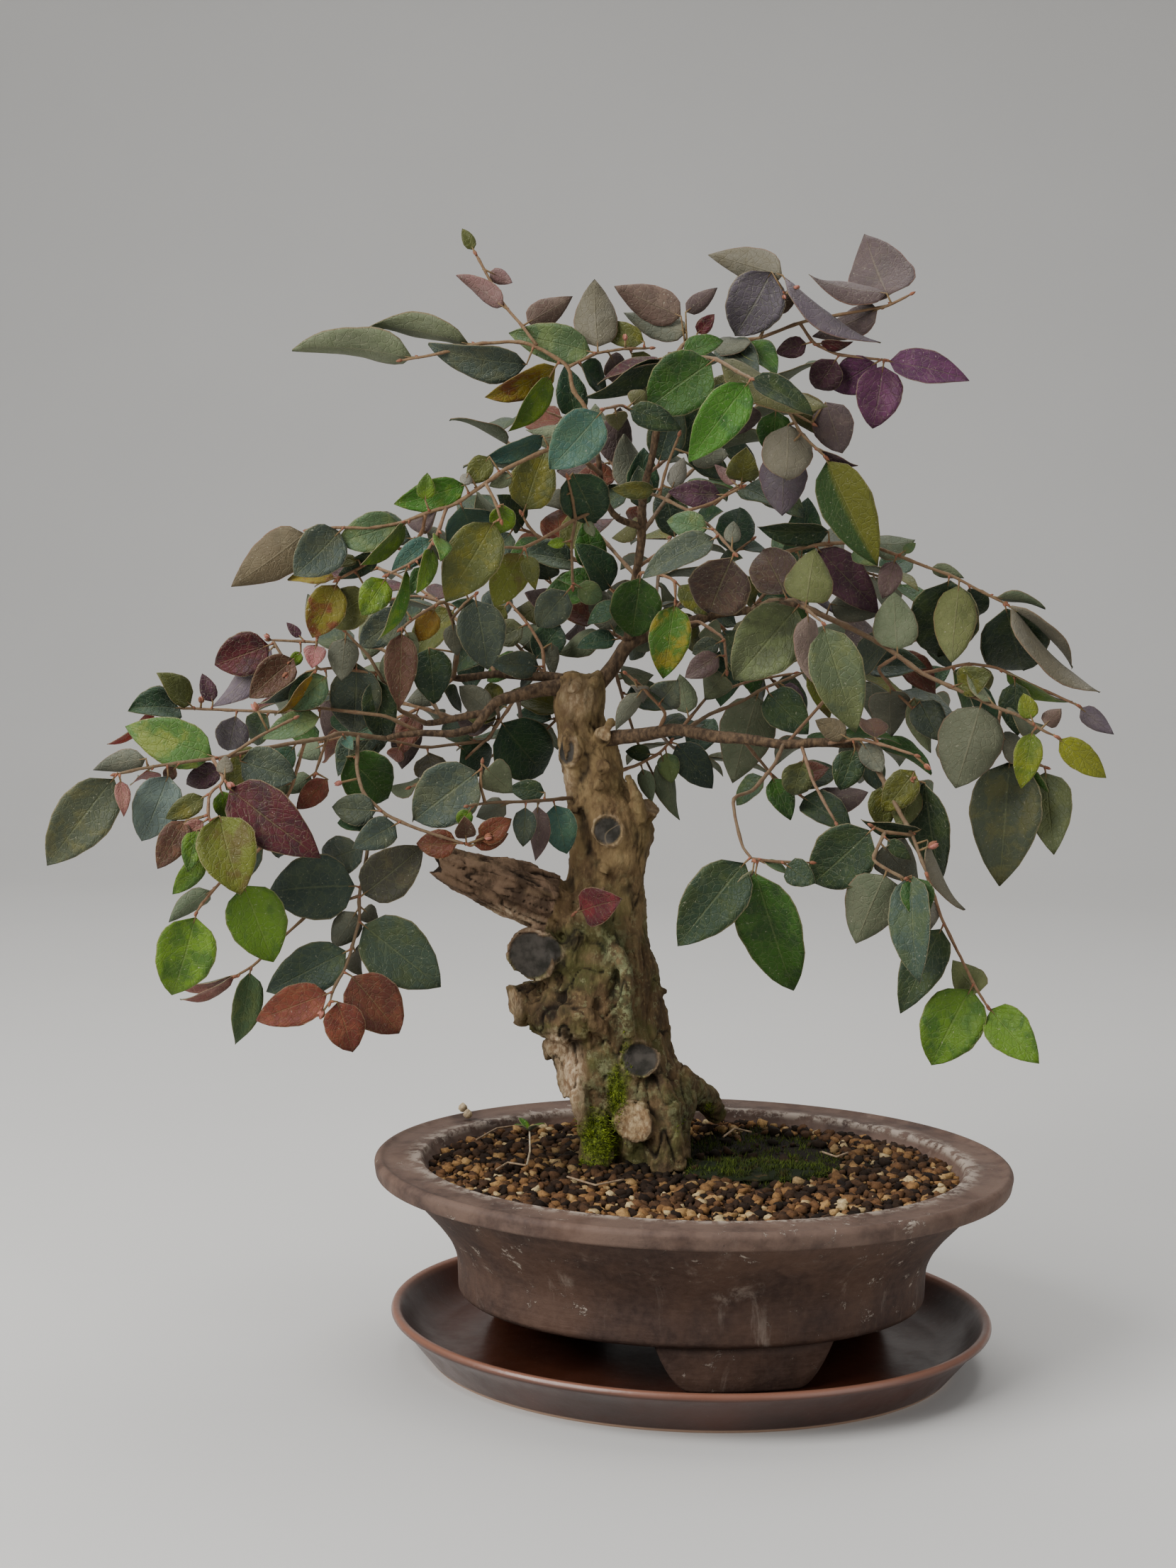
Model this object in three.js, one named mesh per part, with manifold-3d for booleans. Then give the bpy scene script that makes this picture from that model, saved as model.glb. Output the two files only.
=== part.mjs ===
// A Loropetalum (fringe flower) bonsai in training: an old trunk with sealed cuts, long leafy
// shoots, an oval clay pot on cloud feet and a glazed drip saucer. Millimetres, +Z up, the saucer
// stands on z = 0 and the pot's middle is on the Z axis. The front of the tree looks along -Y.
import * as THREE from 'three';
import { mergeVertices } from 'three/addons/utils/BufferGeometryUtils.js';
import Module from 'manifold-3d';

const wasm = await Module();
wasm.setup();

// ---------------------------------------------------------------- driving dimensions
const gap = 0.3; // between pieces that touch
const potLip = { halfX: 160, halfY: 133.7, top: 101.7, width: 23.6, band: 9.5 };
const potBody = { bottomInset: 42.8, bottom: 31.5, wall: 9, floor: 41 };
const foot = { middle: [-75, 45, 140], topHalf: 45, bottomHalf: 27, depth: 15, standsOn: 8 };
const saucer = { halfX: 151.5, halfY: 132.4, rimTop: 25.2, floor: 8, turn: -3.5 };
const soilLevel = 95;
const drainHole = { radius: 7, x: 62 };
const bladeThickness = 0.7;
const bladeClearance = 4.4; // between leaves of different shoots
const twigClearance = 1.7; // between a leaf and a twig of another shoot
const ovalSides = 36;

// ---------------------------------------------------------------- the front sheet
// The tree was measured on a front sheet in perspective: u runs to the right and v down, and a
// depth in mm behind the middle of the pot completes each place. The eye is 1.3 m before the pot.
const eye = [0, -1300, 438];
const sheet = { scale: 3734, u0: 829.5, v0: 1106, down: 0.114, roll: 0.017, pan: 0.043 };
const add = (a, b) => [a[0] + b[0], a[1] + b[1], a[2] + b[2]];
const sub = (a, b) => [a[0] - b[0], a[1] - b[1], a[2] - b[2]];
const times = (a, k) => [a[0] * k, a[1] * k, a[2] * k];
const dot = (a, b) => a[0] * b[0] + a[1] * b[1] + a[2] * b[2];
const cross = (a, b) => [a[1] * b[2] - a[2] * b[1], a[2] * b[0] - a[0] * b[2], a[0] * b[1] - a[1] * b[0]];
const size = (a) => Math.sqrt(dot(a, a));
const unit = (a) => times(a, 1 / size(a));
const mix = (a, b, t) => add(a, times(sub(b, a), t));

const ahead0 = [-Math.sin(sheet.pan), Math.cos(sheet.pan), 0];
const right0 = [Math.cos(sheet.pan), Math.sin(sheet.pan), 0];
const ahead = add(times(ahead0, Math.cos(sheet.down)), [0, 0, -Math.sin(sheet.down)]);
const above0 = add(times(ahead0, Math.sin(sheet.down)), [0, 0, Math.cos(sheet.down)]);
const right = add(times(right0, Math.cos(sheet.roll)), times(above0, Math.sin(sheet.roll)));
const above = sub(times(above0, Math.cos(sheet.roll)), times(right0, Math.sin(sheet.roll)));

function sightLine(u, v) {
  const across = times(right, (u - sheet.u0) / sheet.scale);
  const up = times(above, (sheet.v0 - v) / sheet.scale);
  return unit(add(ahead, add(across, up)));
}
function place(u, v, depth) {
  const line = sightLine(u, v);
  return add(eye, times(line, (depth - eye[1]) / line[1]));
}
function onSheet(p) {
  const d = sub(p, eye);
  const far = dot(d, ahead);
  return [sheet.u0 + (sheet.scale * dot(d, right)) / far, sheet.v0 - (sheet.scale * dot(d, above)) / far];
}

// A repeatable draw of numbers from 0 to 1.
function draws(seed) {
  let state = seed;
  return () => {
    state = (state * 16807) % 2147483647;
    return state / 2147483647;
  };
}

// ---------------------------------------------------------------- solids
function geometryOf(points, faces) {
  const geometry = new THREE.BufferGeometry();
  geometry.setAttribute('position', new THREE.Float32BufferAttribute(points.flat(), 3));
  geometry.setIndex(faces.flat());
  return geometry;
}
function solidOf(geometry) {
  const bare = geometry.clone();
  bare.deleteAttribute('normal');
  bare.deleteAttribute('uv');
  const merged = mergeVertices(bare, 1e-4);
  const position = merged.attributes.position.array;
  const index = new Uint32Array(merged.index.array);
  let volume = 0;
  for (let i = 0; i < index.length; i += 3) {
    const [a, b, c] = [0, 1, 2].map((k) => Array.from(position.slice(3 * index[i + k], 3 * index[i + k] + 3)));
    volume += dot(a, cross(b, c));
  }
  if (volume < 0) {
    for (let i = 0; i < index.length; i += 3) [index[i + 1], index[i + 2]] = [index[i + 2], index[i + 1]];
  }
  return new wasm.Manifold(new wasm.Mesh({ numProp: 3, vertProperties: new Float32Array(position), triVerts: index }));
}
// Rings with the same number of points, joined in order, with a fan over each end.
function loft(rings) {
  const points = [];
  const faces = [];
  const sides = rings[0].length;
  rings.forEach((ring) => points.push(...ring));
  for (let r = 0; r + 1 < rings.length; r += 1) {
    for (let i = 0; i < sides; i += 1) {
      const j = (i + 1) % sides;
      const [a, b, c, d] = [r * sides + i, r * sides + j, (r + 1) * sides + j, (r + 1) * sides + i];
      faces.push([a, b, c], [a, c, d]);
    }
  }
  const last = (rings.length - 1) * sides;
  for (let i = 1; i + 1 < sides; i += 1) {
    faces.push([0, i + 1, i], [last, last + i, last + i + 1]);
  }
  return geometryOf(points, faces);
}
function joined(solids) {
  return wasm.Manifold.union(solids);
}
function ringAt(centre, axis, radius, sides, turn = 0) {
  const side = unit(Math.abs(axis[2]) < 0.9 ? cross(axis, [0, 0, 1]) : cross(axis, [0, 1, 0]));
  const other = cross(side, axis);
  return Array.from({ length: sides }, (_, i) => {
    const angle = turn + (2 * Math.PI * i) / sides;
    return add(centre, add(times(side, radius * Math.cos(angle)), times(other, radius * Math.sin(angle))));
  });
}
// A twig along a line of places, thinner to its end; the section is carried along without a twist.
function twig(line, firstRadius, lastRadius, sides) {
  const rings = [];
  let side = null;
  line.forEach((point, i) => {
    const before = i > 0 ? unit(sub(point, line[i - 1])) : null;
    const after = i + 1 < line.length ? unit(sub(line[i + 1], point)) : null;
    const axis = unit(add(before || after, after || before));
    if (!side) side = Math.abs(axis[2]) < 0.8 ? cross(axis, [0, 0, 1]) : cross(axis, [0, 1, 0]);
    side = unit(sub(side, times(axis, dot(side, axis))));
    const other = cross(side, axis);
    const radius = firstRadius + ((lastRadius - firstRadius) * i) / (line.length - 1);
    rings.push(Array.from({ length: sides }, (_, k) => {
      const angle = (2 * Math.PI * (k + 0.5)) / sides;
      return add(point, add(times(side, radius * Math.cos(angle)), times(other, radius * Math.sin(angle))));
    }));
  });
  return solidOf(loft(rings));
}
function meshOf(name, solid, colour, roughness, metalness = 0) {
  const made = solid.getMesh();
  const geometry = new THREE.BufferGeometry();
  geometry.setAttribute('position', new THREE.BufferAttribute(new Float32Array(made.vertProperties), 3));
  geometry.setIndex(new THREE.BufferAttribute(new Uint32Array(made.triVerts), 1));
  geometry.computeVertexNormals();
  const mesh = new THREE.Mesh(geometry, new THREE.MeshStandardMaterial({ color: colour, roughness, metalness }));
  mesh.name = name;
  return mesh;
}

// ---------------------------------------------------------------- oval ware
// A turned profile whose round rings are drawn in along Y, by as much at each height.
function ovalWare(profile, drawnIn, turn = 0) {
  const lathe = new THREE.LatheGeometry(profile.map(([r, z]) => new THREE.Vector2(r, z)), ovalSides);
  lathe.rotateX(Math.PI / 2);
  const position = lathe.attributes.position;
  const near = 70;
  for (let i = 0; i < position.count; i += 1) {
    const x = position.getX(i);
    const y = position.getY(i);
    const r = Math.hypot(x, y);
    const narrow = r > near ? (r - drawnIn) / r : (near - drawnIn) / near;
    position.setY(i, y * narrow);
  }
  lathe.rotateZ((turn * Math.PI) / 180);
  return solidOf(lathe);
}

function potSolid() {
  const { halfX: a, top, width, band } = potLip;
  const drawnIn = a - potLip.halfY;
  const { bottom, wall, floor } = potBody;
  const low = a - potBody.bottomInset;
  const outer = [
    [0, bottom], [low - 3, bottom], [low, bottom + 2.5], [low + 0.6, bottom + 20], [low + 4, bottom + 28.5],
    [low + 10.5, bottom + 37.5], [low + 18, bottom + 45.5], [low + 24.5, bottom + 52.5], [a - 14, top - band - 1.6],
    [a - 1.2, top - band], [a, top - 2.4], [a - 2.6, top],
  ];
  const inner = [
    [a - 6, top - 1.6], [a - width, top - 0.8], [a - width - 2.2, top - 5],
    [low - wall, bottom + 34], [low - wall - 3, floor], [0, floor],
  ];
  let body = ovalWare([...outer, ...inner], drawnIn);
  const feet = foot.middle.map((degrees) => footSolid(degrees, low - 5, low - 5 - drawnIn));
  body = joined([body, ...feet]);
  const hole = new THREE.CylinderGeometry(drainHole.radius, drainHole.radius, 20, 12);
  hole.rotateX(Math.PI / 2);
  const holes = [-1, 1].map((s) => solidOf(hole.clone().translate(s * drainHole.x, 0, (bottom + floor) / 2)));
  return body.subtract(joined(holes));
}
// One cloud foot: it follows the pot's lower edge and hollows away at both ends.
function footSolid(degrees, halfX, halfY) {
  const { topHalf, bottomHalf, depth, standsOn } = foot;
  const height = potBody.bottom - standsOn - gap;
  const middle = (degrees * Math.PI) / 180;
  const perRadian = Math.hypot(halfX * Math.sin(middle), halfY * Math.cos(middle));
  const along = [[-topHalf, 0.04], [-38, 0.42], [-32, 0.8], [-bottomHalf, 1], [-9, 1], [9, 1], [bottomHalf, 1], [32, 0.8],
    [38, 0.42], [topHalf, 0.04]];
  const rings = along.map(([s, deep]) => {
    const t = middle + s / perRadian;
    const low = potBody.bottom - height * deep;
    const high = potBody.bottom + 3;
    const taper = 2.5 * deep;
    const at = (inset, z) => [(halfX - inset) * Math.cos(t), (halfY - inset) * Math.sin(t), z];
    return [at(taper, low), at(0, high), at(depth, high), at(depth - taper, low)];
  });
  return solidOf(loft(rings));
}

function saucerSolid() {
  const { halfX: a, rimTop, floor } = saucer;
  const profile = [
    [0, 0], [a - 20, 0], [a - 6, rimTop - 8], [a, rimTop - 3], [a - 1.6, rimTop],
    [a - 4.4, rimTop - 0.4], [a - 13.5, floor + 5], [a - 22, floor], [0, floor],
  ];
  return ovalWare(profile, a - saucer.halfY, saucer.turn);
}

// ---------------------------------------------------------------- soil and moss
// The soil fills the pot; its top is relief of granules. The trunk and the seedling stand in holes.
function soilSolid(trunkBase) {
  const a = potLip.halfX;
  const drawnIn = a - potLip.halfY;
  const low = a - potBody.bottomInset - potBody.wall;
  const innerTop = a - potLip.width - 2.2;
  const innerLow = low;
  const rise = (soilLevel - 1 - potBody.bottom - 34) / (potLip.top - 5 - potBody.bottom - 34);
  const wallAtTop = innerLow + (innerTop - innerLow) * rise - 0.4;
  const draw = draws(71);
  const rings = [[0.5, potBody.floor + gap], [low - 3.6, potBody.floor + gap], [low - 0.5, potBody.bottom + 34]];
  const profile = rings.map(([r, z]) => [r, z, 0]);
  [[wallAtTop - 0.3, 0.3], [wallAtTop - 9, 1.8], [wallAtTop - 22, 1.9], [wallAtTop - 40, 1.7], [wallAtTop - 62, 1.4],
    [wallAtTop - 90, 1]].forEach(([r, grain]) => profile.push([r, soilLevel - 1, grain]));
  profile.push([0.5, soilLevel + 0.5, 0]);
  const solids = profile.map(([r, z, grain]) => Array.from({ length: ovalSides }, (_, i) => {
    const angle = (2 * Math.PI * (i + (grain > 1 ? 0.35 * draw() : 0))) / ovalSides;
    const high = grain ? z + grain * (draw() * 2 - 1) : z;
    const narrow = r > 70 ? (r - drawnIn) / r : (70 - drawnIn) / 70;
    return [r * Math.cos(angle), r * narrow * Math.sin(angle), high];
  }));
  return solidOf(loft(solids)).subtract(trunkBase);
}
// A low moss cushion that has crept over the granules to the right of the trunk.
const moss = { middle: [1062, 1642], halfX: 42, halfY: 20, height: 4.2, depth: 6 };
function mossSolid() {
  const draw = draws(19);
  const centre = place(moss.middle[0], moss.middle[1], 2);
  const sides = 18;
  const rings = [[0.94, 0], [1, 0.5], [0.8, 0.95], [0.45, 1.1], [0.05, 1.14]].map(([k, rise]) =>
    Array.from({ length: sides }, (_, i) => {
      const angle = (2 * Math.PI * i) / sides;
      const wave = 1 + 0.09 * Math.sin(3 * angle + 0.7) + 0.06 * Math.sin(5 * angle);
      const bump = rise > 0.4 ? 0.9 * (draw() - 0.5) : 0;
      return [centre[0] + moss.halfX * k * wave * Math.cos(angle), centre[1] + moss.halfY * k * wave * Math.sin(angle),
        soilLevel + 1.3 + moss.height * rise * 0.8 + bump];
    }));
  return solidOf(loft(rings));
}

// ---------------------------------------------------------------- trunk
// Rings of the trunk on the front sheet: height v, left edge, right edge.
const trunkRings = [
  [1640, 832, 974], [1610, 826, 976], [1580, 818, 978], [1552, 812, 984], [1524, 796, 974], [1497, 780, 953],
  [1470, 777, 944], [1440, 770, 940], [1400, 768, 930], [1359, 776, 926], [1307, 785, 912], [1249, 800, 912],
  [1200, 808, 919], [1172, 808, 924], [1134, 802, 908], [1106, 796, 884], [1078, 789, 878], [1045, 785, 866],
  [1015, 783, 852], [985, 779, 853], [957, 785, 852],
];
const trunkDepth = 30;
const trunkSides = 12;
const trunkFoot = 84; // the lowest root stands in the soil down to here
function trunkRing(v, left, right_, z, grow = 0) {
  const middle = place((left + right_) / 2, v, trunkDepth);
  const half = (size(sub(place(right_, v, trunkDepth), place(left, v, trunkDepth)))) / 2;
  const height = z === undefined ? middle[2] : z;
  return Array.from({ length: trunkSides }, (_, i) => {
    const angle = (2 * Math.PI * i) / trunkSides;
    const bark = 1 + 0.035 * Math.sin(3 * angle + height / 23) + 0.025 * Math.sin(5 * angle - height / 31);
    return [middle[0] + (half * bark + grow) * Math.cos(angle), middle[1] + (half * 0.9 * bark + grow) * Math.sin(angle), height];
  });
}
// A sealed cut: a short stub with a rolled lip of bark round a sunken face.
function cut(u, v, depth, facing, radius, length, root = 0.96) {
  const axis = unit(facing);
  const face = place(u, v, depth);
  const rings = [[-length, root], [-1.4, 1.12], [0, 1], [-1.1, 0.72]].map(([at, k]) =>
    ringAt(add(face, times(axis, at)), axis, radius * k, 9));
  return solidOf(loft(rings));
}
function limb(route, firstRadius, lastRadius, sides = 5) {
  return twig(route.map(([u, v, y]) => place(u, v, y)), firstRadius, lastRadius, sides);
}
const limbs = {
  leftLow: { route: [[806, 970, 28], [755, 972, 24], [730, 981, 20], [700, 991, 14], [684, 1007, 10], [665, 1030, 6]], radius: [5, 2.4] },
  forkBack: { route: [[684, 1007, 10], [650, 1012, 12], [600, 1020, 16]], radius: [2.2, 1.8] },
  forkFront: { route: [[665, 1030, 6], [640, 1036, 2], [600, 1032, 0], [545, 1042, -4]], radius: [2.3, 1.7] },
  leftHigh: { route: [[812, 965, 30], [770, 953, 32], [700, 952, 34], [640, 956, 34]], radius: [3.2, 2] },
  leader: { route: [[846, 966, 33], [866, 938, 36], [885, 905, 38], [925, 893, 44], [960, 882, 50], [1000, 868, 54],
    [1060, 860, 52], [1130, 853, 40]], radius: [4.4, 2.2] },
  crown: { route: [[885, 905, 38], [893, 860, 32], [900, 800, 26], [905, 740, 20], [912, 670, 12], [928, 605, 4],
    [938, 555, 0], [945, 500, -4]], radius: [3, 1.7] },
  crownLeft: { route: [[905, 745, 20], [870, 733, 12], [852, 700, 4], [842, 640, -6]], radius: [2, 1.5] },
  right: { route: [[850, 1046, 24], [871, 1041, 20], [921, 1033, 14], [959, 1030, 4], [1048, 1044, -10], [1110, 1049, -16],
    [1206, 1049, -22]], radius: [4.4, 2.2] },
};
const roots = [
  { route: [[950, 1520, 30], [975, 1538, 50], [998, 1553, 72], [1014, 1570, 90]], radius: [9, 5.5] }, // to the back right
  { route: [[915, 1560, 12], [932, 1600, 5], [942, 1652, 3]], radius: [12, 9.5] }, // swelling under the foot cut
  { route: [[850, 1560, 14], [842, 1610, 7], [838, 1658, 5]], radius: [10, 7.5] }, // mossy, to the front left
];
function brokenLimb() {
  const stations = [[806, 1288, 26, 13], [775, 1275, 24, 14.4], [745, 1262, 22, 15], [714, 1250, 20, 14.4], [683, 1240, 17, 12],
    [653, 1230, 14, 10.4], [628, 1220, 12, 8.6]];
  const places = stations.map(([u, v, y]) => place(u, v, y));
  const axis = unit(sub(places[6], places[0]));
  const draw = draws(5);
  const rings = stations.map(([, , , radius], i) => ringAt(places[i], axis, radius, 9).map((p) =>
    add(places[i], times(sub(p, places[i]), 0.94 + 0.12 * draw()))));
  // The torn end: splinters of different lengths round a hollow middle.
  const torn = ringAt(places[6], axis, 6.8, 9).map((p) => add(p, times(axis, 2 + 7 * draw())));
  const hollow = ringAt(places[6], axis, 3.4, 9);
  return solidOf(loft([...rings, torn, hollow]));
}
function trunkSolid() {
  const rings = [trunkRing(1640, 836, 970, trunkFoot), ...trunkRings.map(([v, l, r]) => trunkRing(v, l, r))];
  // The chopped top is uneven.
  const draw = draws(11);
  const top = rings[rings.length - 1].map((p) => {
    const middle = place(818, 957, trunkDepth);
    return [middle[0] + (p[0] - middle[0]) * 0.8, middle[1] + (p[1] - middle[1]) * 0.8, p[2] + 1 + 3.4 * draw()];
  });
  const parts = [solidOf(loft([...rings, top])), brokenLimb(),
    cut(857, 1172, 9.4, [0, -1, 0.1], 7.8, 7), // round sealed cut, high on the front
    cut(799, 1058, 17, [-0.82, -0.57, 0], 8.2, 7), // on the left edge
    cut(920, 1136, 22, [0.55, -0.45, 0.7], 5, 12), // stub on the right shoulder
    cut(748, 1348, 7, [-0.3, -0.95, 0.03], 12.8, 26), // the large dark cut below the broken limb
    cut(722, 1417, 21, [-0.93, -0.36, -0.04], 9.8, 34, 1.4), // broad stub to the left
    cut(903, 1494, 2.5, [0.05, -0.86, 0.5], 9.5, 10), // dark cut low on the front
    cut(894, 1583, -7, [-0.22, -0.97, 0.05], 10.6, 18), // the largest cut, at the foot
    cut(853, 1035, 13.5, [0.2, -0.9, 0.4], 4.2, 8), // knob under the chopped top
    ...roots.map(({ route, radius }) => limb(route, radius[0], radius[1], 8)),
    limb([[790, 1462, 26], [770, 1476, 24], [776, 1494, 24]], 4.5, 2, 5), // dead bark flap
    limb([[928, 1396, 30], [941, 1399, 30]], 2.4, 0.8, 5), // thorn
    ...Object.values(limbs).map(({ route, radius }) => limb(route, radius[0], radius[1]))];
  return joined(parts);
}

// ---------------------------------------------------------------- the leafy shoots
// on: the piece that carries the shoot; deeper: how much further back its end lies than written.
// main: the twig from the collar to its end; side: twigs that leave it; radius: at both ends.
// leaves: foot u v, tip u v, width seen, side that shows, colour. buds: u v size, on short stalks.
const shoots = [
  { name: 'crown_bright', on: 'trunk', deeper: -25, radius: [1.3, 0.9],
    main: [[945, 500, -4], [1010, 506, -22], [1045, 527, -34], [1060, 534, -38]],
    leaves: `
      1062 536 971 652 66 top brightGreen
      1010 508 912 578 88 top green
      1056 522 1148 585 36 top forest
      1014 500 1166 577 44 under olive
      930 506 829 563 32 top forest
      935 510 842 541 14 top burgundy` },
  { name: 'crown_front', on: 'trunk', deeper: -30, radius: [1.1, 0.8],
    main: [[930, 600, 4], [900, 585, -14], [877, 571, -22], [851, 577, -28]],
    leaves: `
      854 579 775 662 72 top blueSage
      880 574 962 606 38 top forest` },
  { name: 'crown_left', on: 'trunk', deeper: 25, radius: [1.4, 0.8],
    main: [[842, 640, -6], [826, 573, -14], [808, 552, -16], [803, 517, -18], [766, 494, -20], [740, 483, -22], [718, 482, -24],
      [672, 485, -26], [615, 500, -28], [568, 508, -30]],
    side: [[[757, 487, -21], [737, 460, -16], [712, 432, -12], [694, 400, -8], [672, 360, -5]],
      [[803, 517, -18], [841, 498, -12], [880, 492, -8], [916, 491, -4]]],
    leaves: `
      783 518 684 562 40 top mottledYellow
      775 532 718 610 34 top lime
      841 496 717 470 55 top sage
      742 514 603 487 50 top slate
      843 490 839 395 62 under cream
      587 498 413 490 46 under pale
      668 482 516 460 34 under pale
      714 440 645 387 28 under pink
      745 455 807 419 40 under rose
      908 482 836 458 34 top olive`,
    buds: '882 478 6' },
  { name: 'top_right', on: 'trunk', deeper: 20, radius: [1.3, 0.8],
    main: [[942, 522, -2], [966, 482, 8], [1010, 482, 12], [1070, 478, 12], [1128, 455, 10], [1205, 440, 6], [1252, 432, 3],
      [1283, 416, 0]],
    side: [[[1072, 477, 12], [1085, 448, 8], [1100, 420, 4], [1118, 408, 2]]],
    leaves: `
      1088 384 1036 474 82 top plumGrey
      1253 418 1221 333 97 under taupe
      1107 392 1240 487 24 under lilac
      1103 388 1001 359 50 under cream
      1250 414 1140 390 28 under taupe
      1248 438 1148 476 40 under taupe
      960 446 867 404 52 under rose
      968 468 880 442 40 under silver`,
    buds: '1106 418 5, 1123 406 5' },
  { name: 'purple_spray', on: 'top_right', radius: [1, 0.8],
    main: [[1128, 455, 10], [1147, 484, 18], [1180, 500, 19], [1247, 508, 15]],
    leaves: `
      1246 517 1231 605 65 top purple
      1240 514 1175 550 54 top purple
      1250 504 1368 536 46 top purple
      1185 505 1150 549 48 top plum` },
  { name: 'crown_right', on: 'trunk', deeper: 4, radius: [1.2, 0.8],
    main: [[937, 562, 0], [1000, 572, -4], [1060, 563, -6], [1100, 572, -8], [1145, 597, -10]],
    side: [[[1112, 579, -8], [1130, 612, -16], [1163, 643, -20]]],
    leaves: `
      1095 575 1090 641 50 top green
      1163 645 1238 799 75 top greenYellow
      1112 600 1108 678 72 under cream
      1104 640 1103 727 68 under lilac
      1112 560 1191 627 44 under olive
      1165 568 1188 640 58 under taupe
      1060 568 1040 612 46 under taupe` },
  { name: 'inner_fan', on: 'trunk', deeper: -25, radius: [1.2, 0.8],
    main: [[908, 712, 17], [893, 690, 2], [930, 700, -14], [970, 720, -24], [1005, 745, -32], [1036, 780, -40]],
    side: [[[970, 720, -24], [1000, 712, -18], [1022, 700, -14], [1045, 688, -12]],
      [[930, 700, -14], [940, 660, -12], [957, 616, -12]]],
    leaves: `
      1035 784 1000 866 90 top taupePlum
      1008 762 905 815 44 top slate
      938 692 862 690 26 top olive
      1022 694 942 694 40 top plum
      1004 748 940 735 40 top sage
      972 640 1028 642 40 under silver
      1050 682 1052 632 46 top olive` },
  { name: 'dark_heart', on: 'trunk', radius: [1.2, 0.8],
    main: [[853, 702, 4], [832, 724, -8], [812, 732, -14], [765, 760, -22], [740, 773, -28], [705, 772, -32]],
    side: [[[812, 732, -14], [808, 706, -18], [801, 676, -22]], [[812, 732, -14], [806, 765, -8], [808, 826, -2]],
      [[762, 761, -22], [745, 742, -26], [737, 727, -28]]],
    leaves: `
      808 668 842 738 72 top darkGreen
      738 722 770 632 66 top olive
      740 780 697 856 54 top yellowOlive
      800 835 758 885 52 top slate` },
  { name: 'left_upper', on: 'trunk', deeper: -20, radius: [1.4, 0.8],
    main: [[847, 668, -2], [812, 640, -30], [775, 633, -40], [715, 660, -46], [685, 682, -48], [640, 713, -48], [612, 720, -48],
      [565, 738, -46], [520, 745, -44], [480, 744, -42], [437, 748, -40]],
    side: [[[685, 682, -48], [700, 710, -50], [706, 732, -52]]],
    leaves: `
      696 738 628 850 78 top olive
      645 705 672 763 78 top blueSage
      655 684 555 712 46 top leafGreen
      765 615 680 650 30 top blueSage
      568 729 475 765 56 top sage
      580 738 510 798 24 top lime
      436 750 327 827 66 under tan
      485 750 415 812 70 top slate` },
  { name: 'left_yellow', on: 'left_upper', radius: [1, 0.8],
    main: [[600, 725, -48], [596, 752, -40], [575, 775, -38], [550, 773, -38], [515, 797, -40], [478, 817, -42]],
    leaves: `
      478 814 405 817 24 top mottledYellow
      482 824 440 900 56 top mottledRed
      545 783 475 816 30 top forest
      520 838 458 878 60 top olive` },
  { name: 'left_lime', on: 'left_upper', radius: [1, 0.8],
    main: [[630, 716, -48], [618, 752, -58], [600, 782, -60], [576, 797, -61], [548, 810, -62]],
    leaves: `
      612 754 552 805 36 top blueSage
      612 766 588 838 26 top lime
      550 812 510 868 46 top lime
      578 800 534 905 20 top leafGreen`,
    buds: '611 800 4' },
  { name: 'left_mid', on: 'trunk', deeper: 15, radius: [1.5, 0.8],
    main: [[640, 956, 34], [648, 905, 14], [628, 846, -4], [590, 868, -14], [567, 886, -20]],
    side: [[[637, 873, 4], [655, 852, -2], [670, 839, -8]]],
    leaves: `
      672 840 688 945 70 top slate
      568 888 563 1000 48 top brown
      618 857 590 905 36 top amber
      605 915 612 993 58 top forest
      572 862 505 912 50 top slate` },
  { name: 'left_slate', on: 'trunk', radius: [1.4, 0.8],
    main: [[600, 1020, 16], [560, 1000, 6], [540, 960, -4], [520, 925, -12], [488, 892, -18]],
    side: [[[534, 950, -6], [470, 942, -12], [445, 945, -16], [447, 902, -18]]],
    leaves: `
      484 888 482 960 44 under silver
      503 937 497 1036 74 top slate
      530 950 543 1052 50 top forest
      440 948 393 1008 18 top amber
      432 948 365 995 16 top slate
      460 955 407 1000 50 top sage`,
    buds: '446 876 8' },
  { name: 'left_plum', on: 'trunk', deeper: 30, radius: [1.2, 0.8],
    main: [[626, 1016, 14], [592, 962, 32], [540, 915, 28], [480, 908, 22], [430, 905, 18], [382, 903, 12]],
    side: [[[385, 905, 12], [410, 944, 8]]],
    leaves: `
      381 911 302 938 62 top burgundy
      383 914 302 998 40 under lilac
      414 930 352 985 52 top brown`,
    buds: '378 899 6, 405 951 7' },
  { name: 'left_long', on: 'trunk', deeper: 25, radius: [1.2, 0.8],
    main: [[590, 1032, 0], [545, 1010, -10], [445, 998, -16], [400, 1005, -18], [330, 1002, -20], [280, 1000, -22], [218, 997, -24]],
    leaves: `
      335 1003 322 1060 48 top plumGrey
      222 1000 152 1052 14 top red
      450 1012 370 1042 36 top sage`,
    buds: '284 989 7' },
  { name: 'far_left', on: 'trunk', deeper: -25, radius: [1.5, 0.8],
    main: [[545, 1042, -4], [500, 1036, -12], [478, 1034, -16], [462, 1041, -22], [420, 1047, -30], [365, 1057, -38],
      [318, 1068, -44], [260, 1075, -48], [205, 1083, -52], [165, 1092, -54]],
    side: [[[462, 1041, -22], [445, 1090, -20]], [[322, 1067, -44], [370, 1036, -40], [414, 1014, -36]]],
    leaves: `
      163 1100 65 1222 80 top slateOlive
      237 1095 199 1187 68 top silverSlate
      205 1070 132 1085 32 under silver
      308 1062 176 1024 68 top veinedGreen
      340 1074 418 1097 62 top slate
      312 1083 262 1107 36 top plum
      462 1100 418 1142 34 top copper`,
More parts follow.
